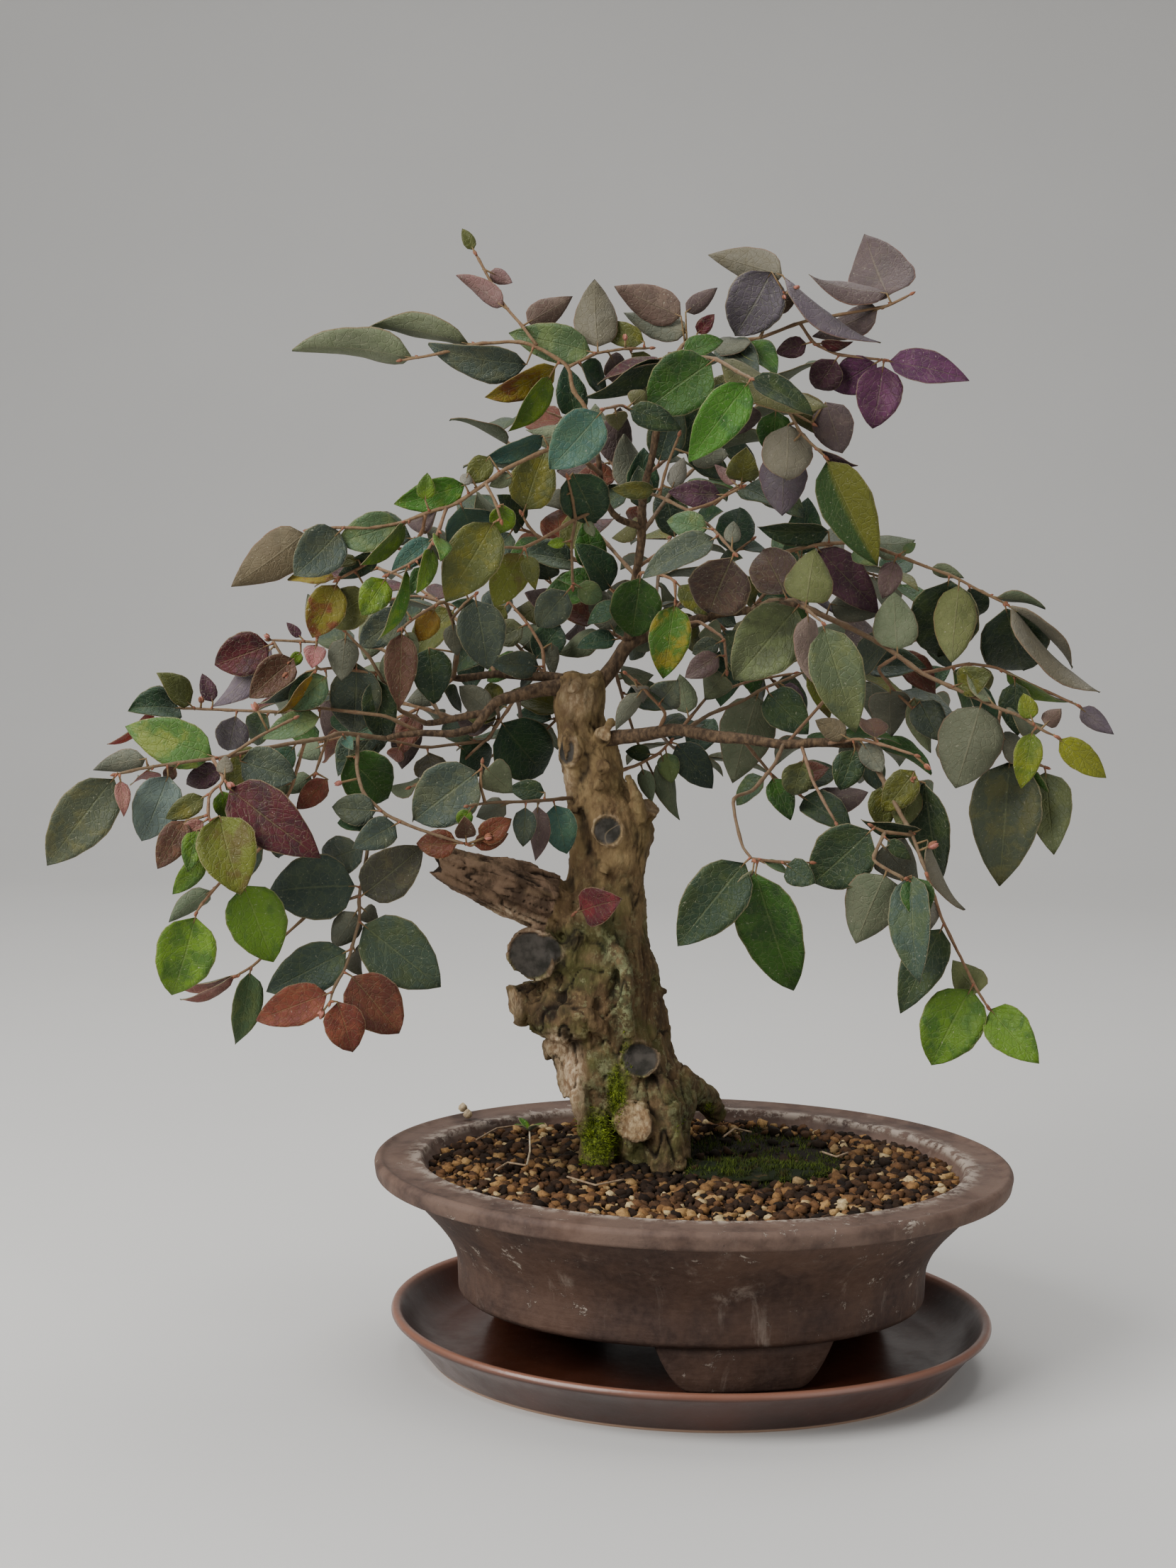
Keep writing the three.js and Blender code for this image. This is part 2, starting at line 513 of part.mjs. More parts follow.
    buds: '362 1000 8' },
  { name: 'left_burgundy', on: 'far_left', radius: [1, 0.8],
    main: [[300, 1070, -46], [318, 1102, -54], [295, 1118, -58], [293, 1150, -62], [300, 1168, -64]],
    leaves: `
      302 1172 313 1217 46 top pinkMottled
      310 1152 340 1262 84 top yellowOlive
      325 1113 452 1210 84 top burgundy
      278 1172 265 1230 34 top limeGreen
      288 1208 243 1262 32 top limeGreen
      262 1158 222 1226 44 top brown
      310 1108 325 1155 36 top limeGreen
      293 1120 233 1155 32 top olive`,
    buds: '323 1106 7' },
  { name: 'left_lime_low', on: 'far_left', deeper: -20, radius: [1, 0.8],
    main: [[430, 1045, -28], [412, 1110, -20], [370, 1195, -30], [310, 1245, -44], [285, 1275, -48], [278, 1286, -49]],
    leaves: `
      278 1290 242 1405 84 top limeGreen
      344 1250 386 1358 84 top limeGreen
      300 1248 238 1300 30 under mint` },
  { name: 'left_down', on: 'far_left', radius: [1.2, 0.8],
    main: [[505, 1037, -11], [503, 1085, -26], [512, 1120, -32], [545, 1150, -34], [585, 1168, -34], [622, 1180, -32],
      [658, 1191, -30]],
    leaves: `
      490 1068 548 1128 76 top green
      540 1142 468 1138 46 top slate
      565 1160 498 1197 46 top slate
      652 1193 587 1190 42 top rust
      676 1184 722 1155 36 top rust`,
    buds: '686 1181 7, 480 1104 7' },
  { name: 'left_copper', on: 'left_down', deeper: -20, radius: [1.2, 0.8],
    main: [[545, 1150, -34], [520, 1187, -26], [514, 1230, -18], [506, 1265, -20], [508, 1295, -24], [497, 1335, -28],
      [488, 1365, -30], [470, 1395, -32], [466, 1412, -32]],
    side: [[[506, 1264, -20], [440, 1285, -10], [385, 1335, -12], [357, 1363, -16], [334, 1376, -18]]],
    leaves: `
      462 1398 360 1440 58 top copper
      476 1414 497 1485 58 top copper
      497 1378 563 1459 78 top copperBrown
      510 1266 597 1194 72 top slateBrown
      500 1250 378 1258 94 top darkSlate
      512 1302 622 1393 92 top slateGreen
      503 1280 470 1336 42 under silver
      490 1336 375 1400 70 top slateGreen
      518 1192 455 1218 56 top slate
      355 1366 333 1475 42 top sage
      334 1377 240 1392 12 top rose
      338 1378 255 1412 14 top rose`,
    buds: '455 1428 8' },
  { name: 'stub_left', on: 'trunk', deeper: -25, radius: [1.2, 0.8],
    main: [[812, 1125, 26], [770, 1129, 8], [740, 1131, 0], [690, 1132, -8], [661, 1137, -12]],
    side: [[[684, 1132, -9], [677, 1105, -10], [680, 1078, -10]]],
    leaves: `
      672 1084 583 1158 90 top slate
      680 1072 722 1117 50 under pale
      780 1136 800 1205 50 top blueSage
      742 1136 738 1195 34 top slate
      760 1136 756 1215 30 under taupe
      722 1136 672 1152 34 under silver` },
  { name: 'inner_left', on: 'trunk', deeper: 10, radius: [1.2, 0.8],
    main: [[700, 991, 14], [704, 1012, 36], [690, 1045, 44], [640, 1050, 40], [600, 1055, 34], [548, 1044, 26], [500, 1037, 20]],
    leaves: `
      702 1014 768 1092 90 top darkGreen
      642 1052 690 1082 56 top darkGreen
      602 1058 610 1096 50 top slateBrown
      690 1002 648 968 40 under silver` },
  { name: 'left_high_back', on: 'trunk', deeper: 20, radius: [1.1, 0.8],
    main: [[768, 953, 32], [766, 915, 30], [745, 880, 26], [712, 842, 22]],
    leaves: `
      760 940 690 935 40 top slate
      745 880 695 902 40 top slateOlive` },
  { name: 'centre_front', on: 'trunk', deeper: -15, radius: [1.1, 0.8],
    main: [[897, 830, 29], [903, 807, 14], [930, 810, 3], [952, 818, -3], [953, 846, 2]],
    leaves: `
      948 852 935 958 60 top greenYellow
      905 808 890 899 74 top green
      955 820 998 868 30 top olive` },
  { name: 'centre_back', on: 'trunk', deeper: 10, radius: [1.1, 0.8],
    main: [[960, 882, 50], [985, 876, 26], [1022, 900, 8], [1025, 945, 2]],
    leaves: `
      1022 945 995 986 46 under sage
      1014 925 966 956 36 top taupe` },
  { name: 'mid_right', on: 'trunk', deeper: -30, radius: [1.3, 0.8],
    main: [[1060, 860, 52], [1088, 846, 22], [1122, 846, -10], [1136, 858, -18], [1160, 878, -22]],
    leaves: `
      1136 864 1148 966 36 under creamPink
      1126 856 1035 960 95 top oliveSage
      1165 884 1207 1035 76 top oliveSage
      1138 855 1150 776 70 under limeSage
      1112 842 1075 775 70 top taupePlum` },
  { name: 'upper_right', on: 'trunk', deeper: 15, radius: [1.5, 0.8],
    main: [[1000, 868, 54], [1060, 815, 36], [1110, 778, 22], [1155, 768, 14], [1215, 764, 6], [1265, 783, 0], [1300, 797, -4],
      [1345, 813, -8], [1372, 828, -10], [1417, 851, -12]],
    leaves: `
      1337 815 1322 928 98 top forest
      1417 855 1443 948 98 top forest
      1152 776 1240 866 60 top plum
      1168 750 1068 745 34 top forest
      1127 784 1190 872 18 under lilac
      1262 790 1245 845 34 top taupe
      1400 838 1475 857 16 under sage
      1428 858 1548 980 24 under cream
      1425 856 1515 940 14 under cream
      1352 822 1342 936 60 under limeSage` },
  { name: 'right_long', on: 'trunk', deeper: -10, radius: [1.9, 0.8],
    main: [[1130, 853, 40], [1160, 868, 26], [1200, 886, 14], [1240, 906, 4], [1268, 926, -4], [1300, 950, -10], [1340, 968, -16],
      [1380, 986, -20], [1410, 1000, -24], [1440, 1010, -26], [1470, 1030, -28], [1488, 1038, -29]],
    leaves: `
      1383 992 1348 1112 92 under paleTaupe
      1268 922 1262 836 64 under pale
      1456 1034 1440 1113 40 top yellowGreen
      1492 1040 1561 1098 40 top yellow
      1172 852 1240 868 40 under silver
      1344 966 1398 950 44 top olive
      1404 996 1363 943 16 under pale` },
  { name: 'right_tip', on: 'right_long', deeper: 15, radius: [1, 0.8],
    main: [[1300, 950, -10], [1335, 943, 0], [1365, 936, 2], [1405, 941, 0], [1460, 968, -4], [1518, 994, -8]],
    leaves: `
      1412 946 1512 992 18 top lime
      1520 996 1571 1036 28 under lilac` },
  { name: 'right_twin', on: 'right_long', deeper: 10, radius: [1, 0.8],
    main: [[1266, 925, -4], [1237, 943, 12], [1262, 975, 18], [1300, 1012, 20], [1322, 1040, 20]],
    leaves: `
      1262 962 1257 1037 60 under silver
      1290 985 1312 1062 34 under pale
      1298 990 1325 1045 50 top slate` },
  { name: 'mid_back', on: 'trunk', deeper: 15, radius: [1.3, 0.8],
    main: [[965, 1031, 3], [1000, 1008, 22], [1050, 988, 26], [1075, 972, 26], [1100, 962, 26], [1135, 948, 26]],
    leaves: `
      1073 980 1034 1104 80 under paleSage
      1085 978 1140 1035 60 top forest
      1140 952 1172 1015 26 top yellowOlive` },
  { name: 'right_low_a', on: 'trunk', deeper: -10, radius: [1.1, 0.8],
    main: [[1168, 1049, -20], [1212, 1042, -34], [1250, 1052, -38], [1290, 1065, -40]],
    leaves: `
      1206 1058 1185 1115 46 top forest
      1212 1040 1245 1090 34 under silver
      1200 1040 1150 1016 32 under tan`,
    buds: '1306 1080 7' },
  { name: 'right_low_b', on: 'trunk', deeper: -35, radius: [1.8, 0.9],
    main: [[1206, 1049, -22], [1239, 1087, -28], [1268, 1144, -34], [1287, 1178, -38], [1306, 1230, -40]],
    side: [[[1255, 1117, -31], [1286, 1100, -36]], [[1287, 1178, -38], [1248, 1174, -44], [1232, 1166, -46]],
      [[1248, 1174, -44], [1230, 1213, -50], [1250, 1226, -52], [1277, 1240, -54]]],
    leaves: `
      1250 1230 1208 1330 82 under paleSage
      1232 1170 1145 1247 88 top forest
      1290 1088 1245 1146 48 top olive
      1287 1106 1270 1170 46 under limeSage
      1290 1238 1298 1298 48 top green
      1286 1236 1296 1388 60 top slateGreen
      1298 1170 1214 1158 22 top forest
      1308 1186 1358 1285 18 under cream
      1305 1105 1328 1240 62 top forest
      1244 1190 1295 1248 60 under silver`,
    buds: '1312 1194 9' },
  { name: 'right_low_c', on: 'right_low_b', radius: [1, 0.8],
    main: [[1306, 1230, -40], [1318, 1265, -38], [1330, 1300, -36], [1355, 1350, -38], [1376, 1393, -40], [1392, 1418, -42]],
    leaves: `
      1368 1390 1313 1503 88 top limeGreen
      1396 1422 1465 1500 62 top limeGreen
      1384 1408 1345 1356 50 under limeSage
      1328 1306 1270 1430 62 top forest` },
  { name: 'right_green', on: 'right_long', deeper: 10, radius: [1, 0.8],
    main: [[1412, 1001, -24], [1405, 1040, -8], [1430, 1066, 0], [1474, 1082, 0]],
    leaves: `
      1430 1070 1432 1185 100 top green
      1474 1084 1487 1205 66 top oliveSage
      1424 1076 1410 1250 100 top slateOlive` },
  { name: 'hanging', on: 'trunk', deeper: -30, radius: [1.2, 0.8],
    main: [[1106, 1049, -16], [1092, 1080, -30], [1062, 1116, -38], [1033, 1125, -42], [1038, 1159, -44], [1048, 1197, -46],
      [1062, 1212, -48]],
    side: [[[1062, 1212, -48], [1100, 1216, -46], [1142, 1217, -44]]],
    leaves: `
      1050 1218 955 1335 86 top forest
      1066 1232 1120 1400 90 top green
      1062 1228 1040 1288 20 under pale
      1102 1224 1150 1246 40 top forest` },
  { name: 'hanging_bare', on: 'trunk', deeper: -10, radius: [1, 0.8],
    main: [[1130, 1049, -17], [1146, 1101, -28], [1178, 1159, -34]],
    leaves: `
      1136 1062 1118 1123 46 top oliveSage` },
  { name: 'centre_small', on: 'trunk', deeper: 10, radius: [1.1, 0.8],
    main: [[862, 1092, 28], [900, 1079, 42], [930, 1063, 46], [945, 1047, 46]],
    leaves: `
      955 1050 1005 1113 50 top darkSlate
      938 1066 957 1157 30 under sage` },
  { name: 'centre_up', on: 'trunk', deeper: -15, radius: [1.1, 0.8],
    main: [[928, 1032, 13], [940, 1006, 4], [905, 968, -4], [884, 951, -8]],
    leaves: `
      930 994 955 960 50 top slate
      902 976 868 1030 26 under silver` },
  { name: 'leaf_on_trunk', on: 'trunk', radius: [0.9, 0.8],
    main: [[856, 1250, 15], [836, 1264, 5.5], [812, 1287, 4.5]],
    leaves: `
      807 1291 876 1269 56 top red` },
];
// Shoots on the far side, each with its leaves set by rule: alternate, with the upper side up.
const rearShoots = [
  { name: 'rear_left_low', on: 'trunk', radius: [1.3, 0.8],
    main: [[640, 1013, 13], [600, 1000, 50], [540, 985, 80], [470, 975, 100], [410, 985, 112]], count: 7, seed: 101 },
  { name: 'rear_left_high', on: 'trunk', radius: [1.3, 0.8],
    main: [[700, 952, 34], [670, 900, 70], [620, 850, 95], [560, 810, 115], [510, 795, 125]], count: 7, seed: 202 },
  { name: 'rear_crown_left', on: 'trunk', radius: [1.3, 0.8],
    main: [[899, 815, 27], [850, 760, 60], [790, 700, 85], [740, 650, 100], [705, 610, 110]], count: 7, seed: 303 },
  { name: 'rear_crown_right', on: 'trunk', radius: [1.3, 0.8],
    main: [[904, 755, 21], [950, 690, 55], [1000, 640, 80], [1050, 590, 95], [1085, 555, 100]], count: 7, seed: 404 },
  { name: 'rear_right_high', on: 'trunk', radius: [1.3, 0.8],
    main: [[1030, 864, 53], [1070, 822, 85], [1130, 800, 110], [1200, 800, 125], [1260, 820, 130]], count: 7, seed: 505 },
  { name: 'rear_right_low', on: 'trunk', radius: [1.3, 0.8],
    main: [[1090, 857, 48], [1120, 900, 85], [1190, 940, 105], [1260, 970, 118], [1330, 1000, 125]], count: 7, seed: 606 },
  { name: 'rear_mid_right', on: 'trunk', radius: [1.3, 0.8],
    main: [[1090, 1046, -13], [1120, 1052, 40], [1160, 1040, 80], [1205, 1035, 100], [1260, 1050, 110]], count: 6, seed: 707 },
  { name: 'rear_centre', on: 'trunk', radius: [1.3, 0.8],
    main: [[930, 892, 45], [925, 850, 80], [930, 800, 110], [945, 760, 130]], count: 6, seed: 808 },
  { name: 'rear_mid_left', on: 'trunk', radius: [1.3, 0.8],
    main: [[730, 981, 20], [735, 1015, 60], [720, 1045, 90], [690, 1070, 105], [650, 1090, 112]], count: 6, seed: 909 },
  { name: 'rear_centre_low', on: 'trunk', radius: [1.3, 0.8],
    main: [[940, 1031, 10], [935, 1040, 60], [950, 1055, 90], [985, 1068, 108]], count: 5, seed: 1010 },
];

// ---------------------------------------------------------------- the leaf plan
const bladeProfile = (t) => Math.pow(Math.sin(Math.PI * Math.pow(t, 0.85)), 0.7);
function bladePoints(leaf) {
  const points = [];
  const steps = Math.max(3, Math.ceil(leaf.length / 4.2));
  for (let i = 0; i <= steps; i += 1) {
    const t = i / steps;
    const middle = add(leaf.foot, add(times(leaf.axis, leaf.length * t), times(leaf.upper, leaf.arch * 4 * t * (1 - t))));
    const half = 0.5 * leaf.width * (t > 0 && t < 1 ? bladeProfile(t) : 0.06);
    const across = Math.ceil(half / 4.2);
    for (let j = -across; j <= across; j += 1) {
      points.push(add(middle, times(leaf.side, across ? (half * j) / across : 0)));
    }
  }
  return points;
}
function segmentDistance(p, a, b) {
  const ab = sub(b, a);
  const t = Math.min(1, Math.max(0, dot(sub(p, a), ab) / dot(ab, ab)));
  return size(sub(p, add(a, times(ab, t))));
}
// The place on a twig that is nearest to the line of sight through (u, v).
function footOnTwig(lines, u, v) {
  const line = sightLine(u, v);
  let best = null;
  lines.forEach((points, l) => {
    for (let i = 0; i + 1 < points.length; i += 1) {
      for (let k = 0; k <= 16; k += 1) {
        if (l === 0 && i === 0 && k < 5) continue;
        const p = mix(points[i], points[i + 1], k / 16);
        const d = sub(p, eye);
        const off = size(sub(d, times(line, dot(d, line))));
        if (!best || off < best.off - 1e-9) best = { off, point: p, along: unit(sub(points[i + 1], points[i])) };
      }
    }
  });
  return best;
}
// A stalk starts past the twig's middle, further where it runs on along the twig.
function sunk(root, along, towards) {
  const out = unit(sub(towards, root));
  return sub(root, times(out, 0.4 + 0.6 * Math.abs(dot(out, along))));
}
function cellOf(p) {
  return `${Math.floor(p[0] / 5)},${Math.floor(p[1] / 5)},${Math.floor(p[2] / 5)}`;
}
// How far along a shoot's main twig a place of the sheet lies, from 0 to 1.
function alongMain(shoot, [u, v]) {
  let best = null;
  const last = shoot.main.length - 1;
  for (let i = 0; i < last; i += 1) {
    const [u0, v0] = shoot.main[i];
    const [u1, v1] = shoot.main[i + 1];
    const t = Math.min(1, Math.max(0, ((u - u0) * (u1 - u0) + (v - v0) * (v1 - v0)) / ((u1 - u0) ** 2 + (v1 - v0) ** 2)));
    const off = Math.hypot(u - u0 - (u1 - u0) * t, v - v0 - (v1 - v0) * t);
    if (!best || off < best.off - 1e-6) best = { off, at: (i + t) / last };
  }
  return best.at;
}
function planFoliage() {
  const space = new Map(); // blade points by 5 mm cell
  const front = new Map(); // deepest earlier blade by 10-step cell of the sheet
  const twigs = [];
  Object.values(limbs).forEach(({ route, radius }) => {
    const points = route.map(([u, v, y]) => place(u, v, y));
    points.slice(1).forEach((p, i) => twigs.push({ a: points[i], b: p, radius: radius[0], owner: 'trunk' }));
  });
  trunkRings.slice(1).forEach(([v, l, r], i) => {
    const [v0, l0, r0] = trunkRings[i];
    const a = place((l0 + r0) / 2, v0, trunkDepth);
    const b = place((l + r) / 2, v, trunkDepth);
    twigs.push({ a, b, radius: 0.36 * 0.5 * (r - l), owner: 'trunk' });
  });
  const all = [...shoots, ...rearShoots];
  all.forEach((shoot) => {
    // The main twig lies deeper in step with how far along it is; what it carries goes with it.
    const last = shoot.main.length - 1;
    const parent = all.find((other) => other.name === shoot.on);
    shoot.whole = parent ? parent.whole + parent.deeper * alongMain(parent, shoot.main[0]) : 0;
    shoot.deeper = shoot.deeper || 0;
    const main = shoot.main.map(([u, v, y], i) => [u, v, y + shoot.whole + (shoot.deeper * i) / last]);
    const side = [];
    (shoot.side || []).forEach((route) => {
      const under = side.find((other) => other.some(([u, v]) => u === route[0][0] && v === route[0][1]));
      const from = under ? under.from : shoot.whole + shoot.deeper * alongMain(shoot, route[0]);
      side.push(Object.assign(route.map(([u, v, y]) => [u, v, y + from]), { from }));
    });
    shoot.routes = [main, ...side].map((route) => route.map(([u, v, y]) => place(u, v, y)));
  });
  all.forEach((shoot) => {
    shoot.lines = shoot.routes.map((route) => route.map((p) => [...p]));
    const main = shoot.lines[0];
    main[0] = mix(main[0], main[1], 0.02);
    shoot.lines.forEach((points) => points.slice(1).forEach((p, i) =>
      twigs.push({ a: points[i], b: p, radius: shoot.radius[0], owner: shoot.name })));
  });
  const check = (leaf, owner) => {
    const points = bladePoints(leaf);
    let others = 99;
    let own = 99;
    let ahead_ = 0;
    const reach = leaf.length + 12;
    const near = twigs.filter((s) => s.owner !== owner && segmentDistance(leaf.foot, s.a, s.b) < reach);
    points.forEach((p, k) => {
      near.forEach((s) => {
        const d = segmentDistance(p, s.a, s.b) - s.radius - twigClearance + bladeClearance;
        if (d < others) others = d;
      });
      const [x, y, z] = p.map((c) => Math.floor(c / 5));
      for (let i = x - 1; i <= x + 1; i += 1) for (let j = y - 1; j <= y + 1; j += 1) for (let m = z - 1; m <= z + 1; m += 1) {
        const cell = space.get(`${i},${j},${m}`);
        if (!cell) continue;
        cell.forEach(([q, whose]) => {
          const d = size(sub(p, q));
          if (whose !== owner) { if (d < others) others = d; } else if (k > 2 && d < own) own = d;
        });
      }
      const [u, v] = onSheet(p);
      const deepest = front.get(`${Math.floor(u / 10)},${Math.floor(v / 10)}`);
      if (deepest !== undefined && p[1] < deepest) ahead_ += 1;
    });
    return { points, others, own, ahead: ahead_ / points.length };
  };
  const keep = (leaf, points, owner) => {
    points.forEach((p) => {
      const key = cellOf(p);
      if (!space.has(key)) space.set(key, []);
      space.get(key).push([p, owner]);
      const [u, v] = onSheet(p);
      const place_ = `${Math.floor(u / 10)},${Math.floor(v / 10)}`;
      if (!front.has(place_) || front.get(place_) < p[1]) front.set(place_, p[1]);
    });
  };
  shoots.forEach((shoot) => {
    shoot.foliage = shoot.leaves.trim().split('\n').map((row) => {
      const [u0, v0, u1, v1, seen, side, colour] = row.trim().split(/\s+/);
      const { point: root, along } = footOnTwig(shoot.lines, +u0, +v0);
      let foot_ = place(+u0, +v0, root[1]);
      const flatTip = place(+u1, +v1, root[1]);
      if (size(sub(foot_, root)) < 3) foot_ = add(root, times(unit(sub(flatTip, root)), 3));
      const perStep = size(sub(foot_, eye)) / sheet.scale;
      const wide = seen * perStep;
      const flat = size(sub(flatTip, foot_));
      const least = Math.max(0.1 * flat, Math.sqrt(Math.max(0, 1.69 * wide * wide - flat * flat)));
      let best = null;
      [1, 1.8, 2.6, 0.5, 3.6, 4.8].forEach((k, order) => [1, -1].forEach((sign) => [1, -1].forEach((roll) => {
        const deep = Math.min(34, least * k) * sign;
        const tip = place(+u1, +v1, root[1] + deep);
        const length = size(sub(tip, foot_));
        const axis = unit(sub(tip, foot_));
        const view = unit(sub(foot_, eye));
        const flatSide = unit(cross(axis, view));
        const towards = cross(flatSide, axis); // along the sheet's depth
        const width = Math.max(wide, 0.44 * length);
        const angle = Math.acos(Math.min(1, wide / width)) * roll;
        const across = add(times(flatSide, Math.cos(angle)), times(towards, Math.sin(angle)));
        const normal = cross(across, axis);
        const facing = dot(normal, view) < 0 ? normal : times(normal, -1);
        const upper = side === 'top' ? facing : times(facing, -1);
        const leaf = { root: sunk(root, along, foot_), foot: foot_, axis, side: across, upper, length, width, arch: 0.07 * length,
          colour, face: side };
        const { points, others, own, ahead: before } = check(leaf, shoot.name);
        const score = (others < bladeClearance ? 100 * (bladeClearance - others) + 50 : 0)
          + (own < 3 ? 8 * (3 - own) : 0) + 12 * before + 0.6 * order + (roll < 0 ? 0.1 : 0) + (sign < 0 ? 0.05 : 0);
        if (!best || score < best.score - 1e-6) best = { score, leaf, points };
      })));
      keep(best.leaf, best.points, shoot.name);
      best.leaf.score = best.score;
      return best.leaf;
    });
  });
  rearShoots.forEach((shoot) => {
    const draw = draws(shoot.seed);
    const line = shoot.lines[0];
    shoot.foliage = [];
    for (let n = 0; n < shoot.count; n += 1) {
      const at = 0.16 + (0.84 * (n + 1)) / shoot.count;
      const where = at * (line.length - 1);
      const i = Math.min(line.length - 2, Math.floor(where));
      const root = mix(line[i], line[i + 1], Math.min(1, where - i));
      const along = unit(sub(line[i + 1], line[i]));
      const level = unit(cross(along, [0, 0, 1]));
      const rise = cross(level, along);
      const length = 30 + 12 * draw();
      const turn0 = (n % 2 ? Math.PI : 0) + 0.7 * (draw() - 0.5);
      const tilt = 0.7 * (draw() - 0.5);
      let best = null;
      for (let k = 0; k < 9; k += 1) {
        const turn = turn0 + (k % 2 ? 1 : -1) * Math.ceil(k / 2) * 0.42;
        const out = add(times(level, Math.cos(turn)), times(rise, Math.sin(turn)));
        let axis = add(times(along, 0.6), times(out, 0.8));
        axis = unit([axis[0], axis[1], axis[2] - 0.25]);
        const flatSide = unit(cross(axis, [0, 0, 1]));
        const upright = cross(flatSide, axis);
        const across = add(times(flatSide, Math.cos(tilt)), times(upright, Math.sin(tilt)));
        let upper = cross(across, axis);
        if (upper[2] < 0) upper = times(upper, -1);
        const foot_ = add(root, times(axis, 3));
        const leaf = { root: sunk(root, along, foot_), foot: foot_, axis, side: across, upper, length, width: 0.52 * length, arch: 0.07 * length,
          colour: ['forest', 'green', 'slate', 'olive', 'burgundy'][Math.floor(5 * draw())], face: 'top' };
        const { points, others, own } = check(leaf, shoot.name);
        if (others < bladeClearance || own < 2) continue;
        best = { leaf, points };
        break;
      }
      if (best) {
        keep(best.leaf, best.points, shoot.name);
        shoot.foliage.push(best.leaf);
      }
    }
  });
  return all;
}

// ---------------------------------------------------------------- leaves and shoots as solids
function bladeSolid(leaf, twigRadius) {
  const large = leaf.width > 21;
  const at = (t, k) => {
    const middle = add(leaf.foot, add(times(leaf.axis, leaf.length * t), times(leaf.upper, leaf.arch * 4 * t * (1 - t))));
    return [add(middle, times(leaf.side, 0.5 * leaf.width * k)), add(middle, times(leaf.side, -0.5 * leaf.width * k))];
  };
  // Where the stalk meets the blade, the outline is square to the bend between them.
  const bend = unit(add(unit(sub(leaf.foot, leaf.root)), leaf.axis));
  const square = cross(leaf.upper, bend);
  const neck = times(unit(square), dot(square, leaf.side) < 0 ? -0.7 : 0.7);
  const rows = large ? [[add(leaf.foot, neck), sub(leaf.foot, neck)], at(0.24, 0.86), at(0.6, 0.98)]
    : [at(0.27, 0.9), at(0.64, 0.92)];
  const tip = add(leaf.foot, times(leaf.axis, leaf.length));
  const outline = [leaf.root, ...rows.map((r) => r[0]), tip, ...rows.map((r) => r[1]).reverse()];
  const lift = times(leaf.upper, bladeThickness / 2);
  const n = outline.length;
  // The stalk tapers to one point, numbered 0 above and below.
  const points = [...outline.map((p, i) => (i ? add(p, lift) : p)), ...outline.map((p, i) => (i ? sub(p, lift) : p))];
  const under = (i) => (i ? n + i : 0);
  const faces = [];
  const last = rows.length;
  const strip = [[0, 1, n - 1]];
  for (let i = 1; i < last; i += 1) strip.push([i, i + 1, n - i - 1], [i, n - i - 1, n - i]);
  strip.push([last, last + 1, last + 2]);
  strip.forEach(([a, b, c]) => faces.push([a, b, c], [under(a), under(c), under(b)]));
  for (let i = 0; i < n; i += 1) {
    const j = (i + 1) % n;
    if (i) faces.push([i, under(i), under(j)]);
    if (j) faces.push([i, under(j), j]);
  }
  return solidOf(geometryOf(points, faces));
}
function budSolid(lines, u, v, wide) {
  const { point: root } = footOnTwig(lines, u, v);
  const end = place(u, v, root[1] - 1);
  const axis = unit(sub(end, root));
  const radius = 0.36 * wide;
  const rings = [[0, 0.7], [size(sub(end, root)) - radius, 0.7], [size(sub(end, root)), radius], [size(sub(end, root)) + radius, 0.5 * radius]];
  return solidOf(loft(rings.map(([s, r]) => ringAt(add(root, times(axis, s)), axis, r, 5))));
}
// A twig runs on past its last leaf into a small end bud.
function longer(line, by) {
  const [before, end] = line.slice(-2);
  return [...line.slice(0, -1), add(end, times(unit(sub(end, before)), by))];
}
function shootTwigs(shoot, grow = 0) {
  return shoot.lines.map((line, l) => twig(longer(line, 1 + grow), (l ? shoot.radius[1] * 1.1 : shoot.radius[0]) + grow,
    shoot.radius[1] + grow, l ? 3 : 4));
}
// What a shoot keeps clear of where it starts: the bark of the trunk and limbs, or of another shoot.
function carrierSolid(name) {
  if (name !== 'trunk') return joined(shootTwigs(planned.find((shoot) => shoot.name === name), gap * 1.42));
  return joined([solidOf(loft(trunkRings.map(([v, l, r]) => trunkRing(v, l, r, undefined, gap * 1.1)))),
    ...Object.values(limbs).map(({ route, radius }) => twig(longer(route.map(([u, v, y]) => place(u, v, y)), gap),
      radius[0] + gap * 1.24, radius[1] + gap * 1.24, 5))]);
}
function shootSolid(shoot) {
  const parts = shootTwigs(shoot);
  shoot.foliage.forEach((leaf) => parts.push(bladeSolid(leaf)));
  (shoot.buds || '').split(',').filter((b) => b.trim()).forEach((bud) => {
    const [u, v, wide] = bud.trim().split(/\s+/).map(Number);
    parts.push(budSolid(shoot.lines, u, v, wide));
  });
  return parts;
}
// ---------------------------------------------------------------- assembly
const bonsai = new THREE.Group();
const planned = planFoliage();

const trunk = trunkSolid().simplify(0.05);
